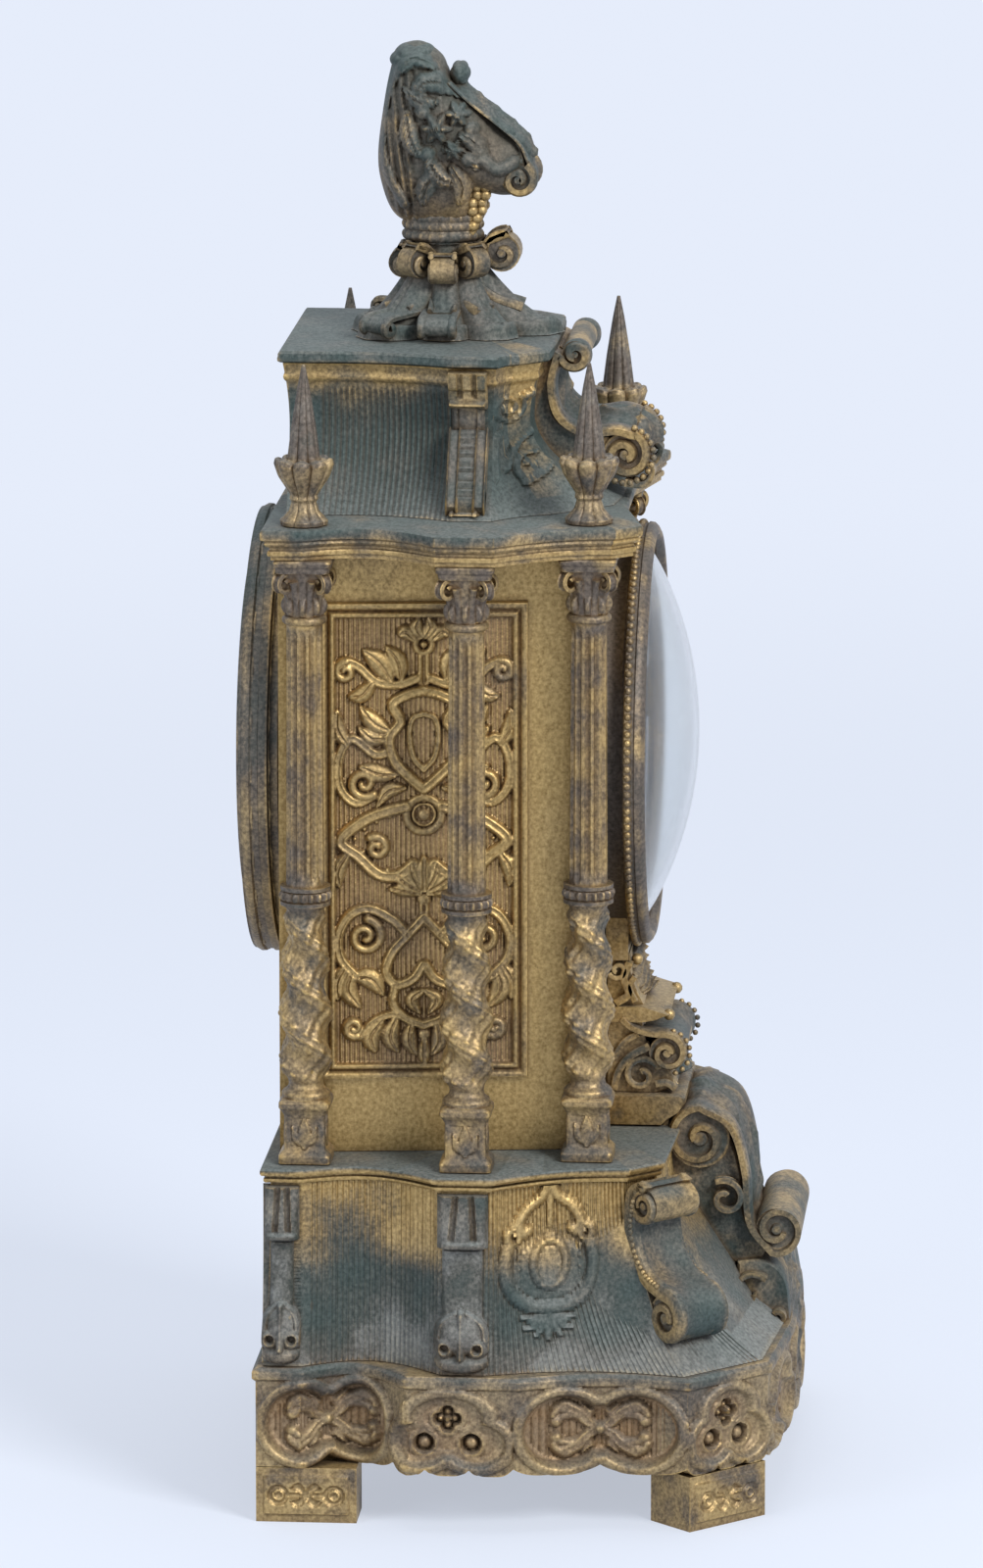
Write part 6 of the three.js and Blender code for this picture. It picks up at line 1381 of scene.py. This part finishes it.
mound_top, mound_foot = (np.full((1, MOUND_STEPS), z) for z in (MOUND_TOP, MOUND_FOOT))
mound_z = np.concatenate([mound_top, mound_z, mound_foot])
radius = MOUND_NECK + (reach - MOUND_NECK) * out ** 1.1
radius = np.concatenate([np.full((1, MOUND_STEPS), 7.4), radius, reach[None] - 1.5])
mound_depth = CREST_DEPTH + 1.06 * radius * np.sin(leaf_way)
foliage_parts = [tube(place(0.86 * radius * np.cos(leaf_way), mound_depth, mound_z))]
corner_curl, side_curl = (12.5, 378.5, 5.6, 4.0), (12.5, 376.5, 5.0, 4.5)
front_curl, rear_curl = (17.5, 381.0, 6.6, 6.0), (13.0, 377.5, 5.4, 5.0)
for turn, (far, lift, big, half) in (
    (45, corner_curl), (135, corner_curl), (225, corner_curl), (315, corner_curl),
    (90, front_curl), (270, rear_curl), (0, side_curl), (180, side_curl),
):
    stem = bend((far - big * 0.7, lift + big * 0.5), (far - 1.35 * big, lift - big),
                (far - big * 0.4, lift - 2.0 * big), (far + big, lift - 2.5 * big), count=16)
    path = np.concatenate([spiral((far, lift), 1.2, big, 470, -400, 32), stem])
    thick = np.linspace(1.6, 2.6, len(path))
    foliage_parts.append(turned_scroll(path, thick, half, CREST_AXIS, heading(turn)))
    foliage_parts.append(eye_disc((far, lift), big - 0.8, half - 0.4, CREST_AXIS, heading(turn)))
for turn, far in ((222, 28.0), (318, 28.0), (182, 24.0), (-2, 24.0)):
    path = np.concatenate([
        bend((far - 12, 364.0), (far - 6, 363.6), (far, 363.0), (far + 2.4, 361.4), count=14),
        spiral((far + 0.6, 359.8), 2.6, 0.8, 50, -330, 18)[1:],
    ])
    thick = np.linspace(1.6, 2.4, len(path))
    foliage_parts.append(turned_scroll(path, thick, 6.0, CREST_AXIS, heading(turn)))
z = np.linspace(384.0, 393.5, 30)[:, None]
folds = np.maximum.reduce([1.6 * arched((z - at) / 1.7) for at in (386.2, 389.4, 392.0)])
collar = 9.4 + folds + 0.25 * np.cos(24 * way)
collar_depth = CREST_DEPTH - 1.0 + 1.14 * collar * np.sin(way)
foliage_parts.append(tube(place(0.92 * collar * np.cos(way), collar_depth, z)))
foliage_bronze = bronze(
    "foliage_bronze", ((356, 0.04), (370, 0.06), (384, 0.16), (387, 0.36), (392, 0.4)),
    ((356, 0.6), (374, 0.55), (384, 0.4), (392, 0.2)), ((356, 0.36), (374, 0.34), (392, 0.1)),
    copper=0.3, coarse=70.0)
cast("crest_leaves", foliage_parts, foliage_bronze, "patinated_bronze", "crest_foliage")

# Crest shield: a cast cartouche with a garland of leaves and flowers on each cheek, rolls along its top and
# bunches of grapes below, standing on the folded neck.
CREST_HALF = 19.0
CREST_CENTRE = (0.0, 417.0)
CREST_ROWS = 46
DISH_DEPTH = 3.2
crest_outline = bend(
    (-8, 388), (4, 388), (8.5, 392), (10.5, 399), (18, 398.5), (24, 399.5), (27.2, 404), (27.4, 410),
    (25.5, 415), (19, 421), (11, 427.5), (5, 432), (1, 436.5), (-1.5, 442), (-8, 446), (-15, 444),
    (-17, 438), (-19, 428), (-21, 412), (-20, 402), (-16, 392.5), (-8, 388), count=221)[:-1]
fill = 1 - (1 - np.linspace(0.004, 1, CREST_ROWS)) ** 1.6
fill = np.r_[fill, fill[-2::-1]][:, None]
cheek = np.where(np.arange(len(fill)) < CREST_ROWS, -1.0, 1.0)[:, None]
grid = np.array(CREST_CENTRE) + (crest_outline - CREST_CENTRE) * fill[..., None]
u, v = grid[..., 0], grid[..., 1] - CREST_CENTRE[1]


def crest_leaf(half, high, *points):
    """A carved leaf: a ridge that swells and tapers along its curve, with a sunk midrib and notched edges."""
    path = bend(*points, count=14)
    swell = half * np.sin(np.linspace(0.4, 2.9, 14)) * (1 + 0.18 * np.cos(np.arange(14) * np.pi))
    return ridge(u, v, path, swell, high) - ridge(u, v, path, 0.5, 0.28 * high)


def rosette(spot, radius, high):
    """A flower: a dome cut into six petals round a small boss."""
    a, b = u - spot[0], v - spot[1]
    petals = 0.8 + 0.2 * np.cos(6 * np.arctan2(b, a))
    dome = arched(np.hypot(a, b) / (radius * petals))
    return high * dome * (0.6 + 0.4 * petals) + knob(u, v, spot, 0.3 * radius, 0.35 * high)


garland = np.maximum.reduce([
    rosette((-1.7, 4.0), 5.2, 4.6),
    rosette((4.8, 8.3), 4.2, 4.0),
    rosette((3.4, -2.6), 3.8, 3.6),
    knob(u, v, (-6.0, 9.0), 2.6, 3.0),
    knob(u, v, (9.0, 3.5), 2.4, 3.0),
    knob(u, v, (-4.5, -4.0), 2.6, 3.4),
    knob(u, v, (8.0, -5.5), 2.6, 3.0),
    crest_leaf(3.0, 3.6, (-9, 14), (-5, 18), (1, 17), (6, 13)),
    crest_leaf(2.8, 3.2, (-11, 8), (-10, 1), (-7, -5)),
    crest_leaf(2.6, 3.0, (6, 2), (11, -2), (10, -9)),
    crest_leaf(3.0, 4.0, (-4, -6), (-1, -11), (4, -13)),
    crest_leaf(2.8, 3.6, (0, -9), (-5, -14), (-6, -20)),
    crest_leaf(2.6, 3.8, (3, -8), (6, -14), (5, -20)),
    crest_leaf(2.4, 3.4, (-13, 21), (-9, 25), (-2, 22)),
    crest_leaf(2.2, 2.8, (-2, 12), (-7, 12), (-12, 16)),
    ridge(u, v, bend((2, 20), (10, 14.5), (18, 7.5), (24.5, -1), (26, -8), count=22), 2.2, 3.2),
    ridge(u, v, bend((-12, 24), (-17, 16), (-19.5, 4), (-18, -9), (-12, -20), count=22), 1.8, 2.4),
    ridge(u, v, bend((13, -6), (17, -9), (22, -7), count=10), 2.2, 3.0),
])
flutes = 0.8 * np.cos(2 * np.pi * (u + 0.12 * v) / 2.8) * step(-u, 7, 10) * (garland < 0.3)
dish = np.exp(-((u - 15.0) ** 2 + (v - 0.5) ** 2) / 45.0)
swell = CREST_HALF * 0.8 * np.clip(1 - fill ** 3.2, 0, None) ** 0.55
side = cheek * (swell + (garland + flutes - DISH_DEPTH * dish) * (1 - step(fill, 0.86, 0.98)))
# The dish and the ground round the garland get a hollow share: copper and painted shade in the finish.
crest_hollow = 0.5 * dish + 0.35 * (garland < 0.15)
crest_parts = [tube(place(side, CREST_DEPTH + grid[..., 0], grid[..., 1]), hollow=crest_hollow)]


def bun(ahead, z, reach, tall, half):
    """A rounded roll lying across the crest: an ellipsoid cut into shallow folds round its axis."""
    lean = np.linspace(-0.999, 0.999, 30)[:, None]
    girth = arched(lean) * (1 - 0.1 * (1 - np.abs(np.cos(3 * way))))
    depth = CREST_DEPTH + ahead + reach * girth * np.cos(way)
    return tube(place(half * lean, depth, z + tall * girth * np.sin(way)))


crest_spine = np.array([(2.0, 435.0), (9.0, 428.6), (17.0, 422.4), (24.0, 416.2), (27.0, 410.0)])
crest_spine = crest_spine + (CREST_DEPTH, 0.0)
CREST_SCROLL = (23.0, 404.6)
stem = bend((4.0, 404.0), (8.0, 399.0), (9.0, 391.0), (7.0, 386.0), count=18)
crest_parts += [
    leaf_strip(bend(*crest_spine, count=70), 10.5, 2.2),
    bun(-9.4, 440.4, 8.0, 5.4, 11.0),
    bun(4.4, 436.2, 3.2, 4.0, 7.5),
    turned_scroll(spiral(CREST_SCROLL, 5.6, 1.2, 60, -470, 32), 2.4, 12.0, CREST_AXIS),
    eye_disc(CREST_SCROLL, 4.8, 11.4, CREST_AXIS),
]
bunch_rows = (4, 4, 3, 3, 2, 1)
grapes = [(k, row) for row, count in enumerate(bunch_rows) for k in np.arange(count) - (count - 1) / 2]
along, row = np.array(grapes).T
for cheek_side in (-1, 1):
    x = cheek_side * (7.6 - 0.5 * row + 0.8 * np.cos(3 * along))
    crest_parts += pearls(np.stack([x, CREST_DEPTH + 8.6 + 2.7 * along, 402.0 - 2.5 * row], -1), 1.9)
crest_parts.append(turned_scroll(stem, np.linspace(6.0, 3.0, 18), 6.4, CREST_AXIS, groove=0.4))
# Its dark share of 0.4 paints shade into the dish and round the garland.
crest_bronze = bronze(
    "crest_bronze", ((388, 0.46), (398, 0.3), (412, 0.2), (426, 0.12), (434, 0.02)),
    ((388, 0.15), (400, 0.4), (434, 0.75)), 0.15, copper=0.3, dark=0.4, coarse=80.0)
cast("crest_shield", crest_parts, crest_bronze, "patinated_bronze", "crest_cartouche")

# Dial drum and bezel: a spun brass drum set in the front of the case, and a hinged ring with a beaded edge
# that holds a domed glass. The drum has gone copper brown, the ring is lighter from handling.
BEAD_RADIUS, BEAD_DEPTH, BEAD_COUNT = 65.5, 106.6, 150
turn_fine = np.linspace(0, 2 * np.pi, 180, endpoint=False)


def spun(profile, wrap=True):
    """Profile of (radius, depth) pairs spun about the movement's axis."""
    radius, depth = np.asarray(profile, float).T[..., None]
    return tube(place(radius * np.cos(turn_fine), depth, AXIS_Z + radius * np.sin(turn_fine)), wrap=wrap)


drum_bronze = bronze("drum_bronze", 0.0, 0.05, 0.0, copper=0.3, coarse=40.0)
bezel_brass = bronze("bezel_brass", 0.14, 0.25, 0.08, copper=0.5, coarse=70.0)
finish(drum_bronze, "dial_drum")
drum_profile = [
    (57.2, 97.1), (DRUM_RADIUS, 97.1), (59.0, 97.5), (58.7, 98.2), (58.7, 103.9), (59.0, 104.3),
    (58.9, 104.9), (57.2, 104.9)]
cast("drum_skin", [spun(drum_profile)], drum_bronze, "brass")
ring_profile = [
    (59.6, 105.3), (65.2, 105.3), (65.7, 105.7), (65.7, 107.4), (65.3, 107.8), (65.3, 108.4), (65.8, 108.8),
    (65.6, 110.2), (64.6, 111.2), (63.2, 111.9), (62.0, 111.6), (61.2, 110.4), (60.7, 108.9), (59.6, 108.6)]
bead_turn = np.linspace(0.11, 2 * np.pi - 0.11, BEAD_COUNT)
bead_z = AXIS_Z + BEAD_RADIUS * np.sin(bead_turn)
bead_spots = np.stack([BEAD_RADIUS * np.cos(bead_turn), np.full(BEAD_COUNT, BEAD_DEPTH), bead_z], -1)
cast("beaded_bezel", [spun(ring_profile), *pearls(bead_spots, 1.2)], bezel_brass, "brass", body="front_bezel")
finish(bezel_brass, "bezel_ring")

# Glass: one blown and ground convex disc, a little smeared.
# It is held in the bezel's rebate and swings with it.
GLASS_RADIUS, GLASS_FOOT, GLASS_RISE, GLASS_THICK = 60.3, 107.5, 17.3, 1.6


def plain_look(name):
    """New surface, with its shader, its nodes and its links."""
    look = bpy.data.materials.new(name)
    look.use_nodes = True
    nodes = look.node_tree.nodes
    return look, nodes["Principled BSDF"], nodes, look.node_tree.links


def two_tone(nodes, links, share, dark, light):
    """Colour that runs from dark to light by a share."""
    tint = nodes.new("ShaderNodeMix")
    tint.data_type = "RGBA"
    tint.inputs[6].default_value = (*dark, 1)
    tint.inputs[7].default_value = (*light, 1)
    links.new(share, tint.inputs[0])
    return tint.outputs[2]


def clouded_look(name, scale, detail, dark, light, smooth, rough):
    """Surface whose colour runs from dark to light, and its roughness from smooth to rough, by one noise."""
    look, shader, nodes, links = plain_look(name)
    cloud = nodes.new("ShaderNodeTexNoise")
    cloud.inputs["Scale"].default_value = scale
    cloud.inputs["Detail"].default_value = detail
    links.new(nodes.new("ShaderNodeTexCoord").outputs["Object"], cloud.inputs["Vector"])
    sheen = nodes.new("ShaderNodeMapRange")
    sheen.inputs["To Min"].default_value = smooth
    sheen.inputs["To Max"].default_value = rough
    links.new(cloud.outputs["Fac"], sheen.inputs["Value"])
    links.new(sheen.outputs["Result"], shader.inputs["Roughness"])
    links.new(two_tone(nodes, links, cloud.outputs["Fac"], dark, light), shader.inputs["Base Color"])
    return look, shader


glass_look, pane = clouded_look("dome_glass", 45.0, 5.0, (0.93, 0.97, 0.98), (0.98, 1.0, 1.0), 0.015, 0.09)
pane.inputs["Transmission Weight"].default_value = 1.0
pane.inputs["IOR"].default_value = 1.45
pane.inputs["Metallic"].default_value = 0.0
ball = (GLASS_RADIUS ** 2 + GLASS_RISE ** 2) / (2 * GLASS_RISE)
out = np.linspace(0.001, 1, 40) * GLASS_RADIUS
dome = GLASS_FOOT + np.sqrt(ball ** 2 - out ** 2) - (ball - GLASS_RISE)
inside = np.clip(dome - GLASS_THICK, GLASS_FOOT, None)
glass_profile = np.concatenate([np.stack([out, dome], -1), np.stack([out, inside], -1)[::-1] * (0.985, 1.0)])
glass_skin = spun(glass_profile, wrap=False)
cast("domed_glass", [glass_skin], glass_look, "glass", "bezel_glass", body="front_bezel", crease=60)

# Dial: a flat disc of white enamel fired on copper, finely crazed, held in the drum.
# It has painted black numerals, a minute track and two winding holes.
DIAL_FACE = 100.7
NUMERAL_RADIUS, NUMERAL_HALF, NUMERAL_WIDE = 44.0, 5.4, 4.4
THICK_STROKE, THIN_STROKE = 0.75, 0.32
TRACK_LOW, TRACK_HIGH, TRACK_HALF = 51.3, 53.3, 0.12
MINUTE_LOW, MINUTE_HIGH, MINUTE_HALF, FIVE_MINUTE_HALF = 51.4, 53.2, 0.18, 0.5
INK, INK_SUNK = 0.12, 0.1
dial_look, enamel, dial_nodes, dial_links = plain_look("white_enamel")
enamel.inputs["Roughness"].default_value = 0.16
craze = dial_nodes.new("ShaderNodeTexVoronoi")
craze.feature = "DISTANCE_TO_EDGE"
craze.inputs["Scale"].default_value = 70.0
dial_links.new(dial_nodes.new("ShaderNodeTexCoord").outputs["Object"], craze.inputs["Vector"])
hair = dial_nodes.new("ShaderNodeMapRange")
hair.inputs["From Max"].default_value = 0.012
dial_links.new(craze.outputs["Distance"], hair.inputs["Value"])
white = two_tone(dial_nodes, dial_links, hair.outputs["Result"], (0.68, 0.66, 0.6), (0.84, 0.83, 0.79))
dial_links.new(white, enamel.inputs["Base Color"])
finish(dial_look, "dial")
ink_look = bronze("black_enamel_ink", 0.0, 1.0, 0.0, copper=0.0, coarse=300.0, bump=0.05)
STROKE = {
    "I": [((0, -1), (0, 1))],
    "V": [((-0.5, 1), (0, -1)), ((0, -1), (0.5, 1))],
    "X": [((-0.5, 1), (0.5, -1)), ((-0.5, -1), (0.5, 1))],
}
WIDTHS = {"I": 0.55, "V": 1.1, "X": 1.15}
NUMERALS = ("XII", "I", "II", "III", "IIII", "V", "VI", "VII", "VIII", "IX", "X", "XI")


def bar(first, second, half, turn):
    """Flat ink stroke between two points of the dial, given as (across, up) before it is turned by degrees
    about the axis."""
    first, second = np.array(first), np.array(second)
    run = unit(second - first)
    edge = np.array((-run[1], run[0])) * half
    x, y = np.array([first - edge, second - edge, second + edge, first + edge]).T
    c, s = heading(turn)
    depth = DIAL_FACE + np.array(((-INK_SUNK,), (INK,)))
    return tube(place(x * c + y * s, depth, AXIS_Z - x * s + y * c))


ink_parts = []
for hour, numeral in enumerate(NUMERALS):
    at = -sum(WIDTHS[letter] for letter in numeral) / 2
    for letter in numeral:
        middle = at + WIDTHS[letter] / 2
        at += WIDTHS[letter]
        for stroke, half in zip(STROKE[letter], (THICK_STROKE, THIN_STROKE)):
            ends = [((middle + x) * NUMERAL_WIDE, NUMERAL_RADIUS + y * NUMERAL_HALF) for x, y in stroke]
            ink_parts.append(bar(*ends, half, 30 * hour))
for minute in range(60):
    half = FIVE_MINUTE_HALF if minute % 5 == 0 else MINUTE_HALF
    ink_parts.append(bar((0, MINUTE_LOW), (0, MINUTE_HIGH), half, 6 * minute))
for radius in (TRACK_LOW, TRACK_HIGH):
    inner, outer, low, high = radius - TRACK_HALF, radius + TRACK_HALF, DIAL_FACE - INK_SUNK, DIAL_FACE + INK
    ink_parts.append(spun([(inner, low), (outer, low), (outer, high), (inner, high)]))
cast("dial_ink", ink_parts, ink_look, "enamel")

# Movement and hands: turned brass wheels and plates, blued steel hands and arbors, kept as made.
# The plates hold the trains between them and hang from the dial drum.
brass_look = bronze("movement_brass", 0.95, 0.0, 0.05, copper=0.3, coarse=50.0, bump=0.1)
steel_look, steel = clouded_look(
    "blued_steel", 220.0, 2.0, (0.03, 0.045, 0.09), (0.11, 0.12, 0.15), 0.18, 0.38)
steel.inputs["Metallic"].default_value = 1.0
finish(brass_look, "front_plate", "back_plate", "going_barrel", "strike_barrel", "second_wheel",
       "centre_wheel", "third_wheel", "escape_wheel", "pin_wheel", "fly", "back_cock", "pendulum_bob",
       "cannon_pinion", "minute_wheel", "hour_wheel", "strap_left", "strap_right", "bell_stand", "bell")
finish(steel_look, "going_winding_arbor", "strike_winding_arbor", "pallet_anchor", "pendulum_rod",
       "strike_hammer", "hour_hand", "minute_hand", "crest_tie_rod")

# Rear ring and door: a turned ring let into the back of the case and a dished brass door that swings on it.
# The door has ring mouldings and a boss turned on its outer face.
door_brass = bronze(
    "door_brass", ((160, 0.3), (230, 0.2), (300, 0.04)), ((160, 0.1), (230, 0.35), (300, 0.7)), 0.15,
    copper=0.5, coarse=45.0)
finish(door_brass, "back_ring", "back_door")
ring_skin = [
    (45.9, -0.1), (66.8, -0.1), (67.2, -0.5), (67.2, -2.4), (66.6, -3.2), (64.0, -3.5), (46.4, -3.5),
    (45.9, -3.1)]
door_skin = [
    (0.001, -12.3), (69.0, -12.3), (69.4, -3.6), (69.7, -3.6), (69.8, -4.4), (69.8, -6.2), (68.9, -6.8),
    (68.5, -7.6), (69.0, -8.4), (69.8, -9.2), (69.9, -10.4), (69.2, -11.6), (67.8, -12.4), (66.0, -12.6),
    (64.6, -12.3), (63.4, -12.5), (61.0, -13.0), (58.6, -13.1), (58.2, -13.9), (57.0, -14.2), (55.8, -13.9),
    (55.4, -13.2), (30.0, -13.6), (29.4, -14.3), (28.4, -14.5), (27.4, -14.3), (26.8, -13.6), (10.0, -13.8),
    (9.4, -15.0), (7.0, -15.8), (0.001, -16.0)]
cast("turned_back_ring", [spun(ring_skin)], door_brass, "brass")
cast("turned_back_door", [spun(door_skin, wrap=False)], door_brass, "brass", body="rear_door")

# Floor, light and camera: a pale sheet under the clock, three soft lamps and an even pale surround.
# The camera has the photograph's low view of the left side.
FLOOR_HALF = 6.0
FLOOR_NEAR, FLOOR_FAR, FLOOR_GLOW = 0.4, 1.8, 0.6


def seen_directly(nodes, links):
    """One where a ray comes from the camera, off a mirror or through glass: the largest of three marks."""
    path = nodes.new("ShaderNodeLightPath")
    total = path.outputs["Is Camera Ray"]
    for kind in ("Is Glossy Ray", "Is Transmission Ray"):
        either = nodes.new("ShaderNodeMath")
        either.operation = "MAXIMUM"
        links.new(total, either.inputs[0])
        links.new(path.outputs[kind], either.inputs[1])
        total = either.outputs[0]
    return total


floor_look, sheet, floor_nodes, floor_links = plain_look("pale_floor")
sheet.inputs["Roughness"].default_value = 0.9
floor_noise = floor_nodes.new("ShaderNodeTexNoise")
floor_noise.inputs["Scale"].default_value = 3.0
floor_tone = two_tone(
    floor_nodes, floor_links, floor_noise.outputs["Fac"], (0.68, 0.73, 0.83), (0.7, 0.755, 0.85))
floor_links.new(floor_tone, sheet.inputs["Base Color"])
glow = floor_nodes.new("ShaderNodeEmission")
glow.inputs["Color"].default_value = (0.79, 0.845, 0.965, 1)
from_clock = floor_nodes.new("ShaderNodeVectorMath")
from_clock.operation = "LENGTH"
floor_links.new(floor_nodes.new("ShaderNodeTexCoord").outputs["Object"], from_clock.inputs[0])
faded = floor_nodes.new("ShaderNodeMapRange")
faded.interpolation_type = "SMOOTHSTEP"
faded.inputs["From Min"].default_value = FLOOR_NEAR
faded.inputs["From Max"].default_value = FLOOR_FAR
faded.inputs["To Min"].default_value = FLOOR_GLOW
floor_links.new(from_clock.outputs["Value"], faded.inputs["Value"])
floor_share = floor_nodes.new("ShaderNodeMapRange")
floor_links.new(seen_directly(floor_nodes, floor_links), floor_share.inputs["Value"])
floor_links.new(faded.outputs["Result"], floor_share.inputs["To Max"])
both = floor_nodes.new("ShaderNodeMixShader")
for given, socket in zip((floor_share.outputs["Result"], sheet.outputs[0], glow.outputs[0]), both.inputs):
    floor_links.new(given, socket)
floor_links.new(both.outputs[0], floor_nodes["Material Output"].inputs["Surface"])
floor_mesh = bpy.data.meshes.new("floor")
floor_corners = [(x * FLOOR_HALF, y * FLOOR_HALF, 0) for x, y in ((-1, -1), (1, -1), (1, 1), (-1, 1))]
floor_mesh.from_pydata(floor_corners, [], [(0, 1, 2, 3)])
floor_mesh.materials.append(floor_look)
floor = bpy.data.objects.new("floor", floor_mesh)
bpy.context.scene.collection.objects.link(floor)

world = bpy.data.worlds.new("studio")
bpy.context.scene.world = world
world.use_nodes = True
sky_nodes, sky_links = world.node_tree.nodes, world.node_tree.links
sky = sky_nodes["Background"]
sky.inputs["Color"].default_value = (0.83, 0.886, 1.0, 1)
brightness = sky_nodes.new("ShaderNodeMapRange")
sky_links.new(seen_directly(sky_nodes, sky_links), brightness.inputs["Value"])
brightness.inputs["To Min"].default_value = 0.4
brightness.inputs["To Max"].default_value = 0.97
sky_links.new(brightness.outputs["Result"], sky.inputs["Strength"])


def lamp(name, spot, aim, size, power, colour):
    """Square soft lamp at a spot, turned to its aim."""
    light = bpy.data.lights.new(name, "AREA")
    light.size, light.energy, light.color = size, power, colour
    holder = bpy.data.objects.new(name, light)
    bpy.context.scene.collection.objects.link(holder)
    holder.location = spot
    across, back, up = np.array(aim) - np.array(spot)
    flat = math.hypot(across, back)
    holder.rotation_euler = (math.atan2(flat, -up), 0, math.atan2(back, across) - math.pi / 2)


lamp("key_lamp", (-1.5, -1.4, 1.6), (0, 0, 0.2), 0.8, 56, (1.0, 0.99, 0.97))
lamp("fill_lamp", (-1.6, 1.5, 0.9), (0, 0, 0.22), 1.0, 14, (0.93, 0.97, 1.0))
lamp("top_lamp", (0.2, 0.1, 2.0), (0, 0, 0.2), 1.2, 16, (1.0, 1.0, 1.0))

VIEW_AZIMUTH, VIEW_ELEVATION, VIEW_DISTANCE = 274.5, 11.5, 3.2
PHOTO_HEIGHT = 1600
PIXEL = 0.306 * MM
AIM = np.array((0.0, BACK_Y - 0.060, 0.2128))
view = bpy.data.cameras.new("photo_view")
eye = bpy.data.objects.new("photo_view", view)
bpy.context.scene.collection.objects.link(eye)
bpy.context.scene.camera = eye
bpy.context.scene.view_settings.view_transform = "Standard"
turn, lift = math.radians(VIEW_AZIMUTH), math.radians(VIEW_ELEVATION)
toward = np.array((math.sin(turn) * math.cos(lift), -math.cos(turn) * math.cos(lift), math.sin(lift)))
eye.location = AIM + toward * VIEW_DISTANCE
eye.rotation_euler = (math.pi / 2 - lift, 0, turn)
view.sensor_fit = "VERTICAL"
view.sensor_height = 36.0
view.lens = view.sensor_height * VIEW_DISTANCE / (PHOTO_HEIGHT * PIXEL)
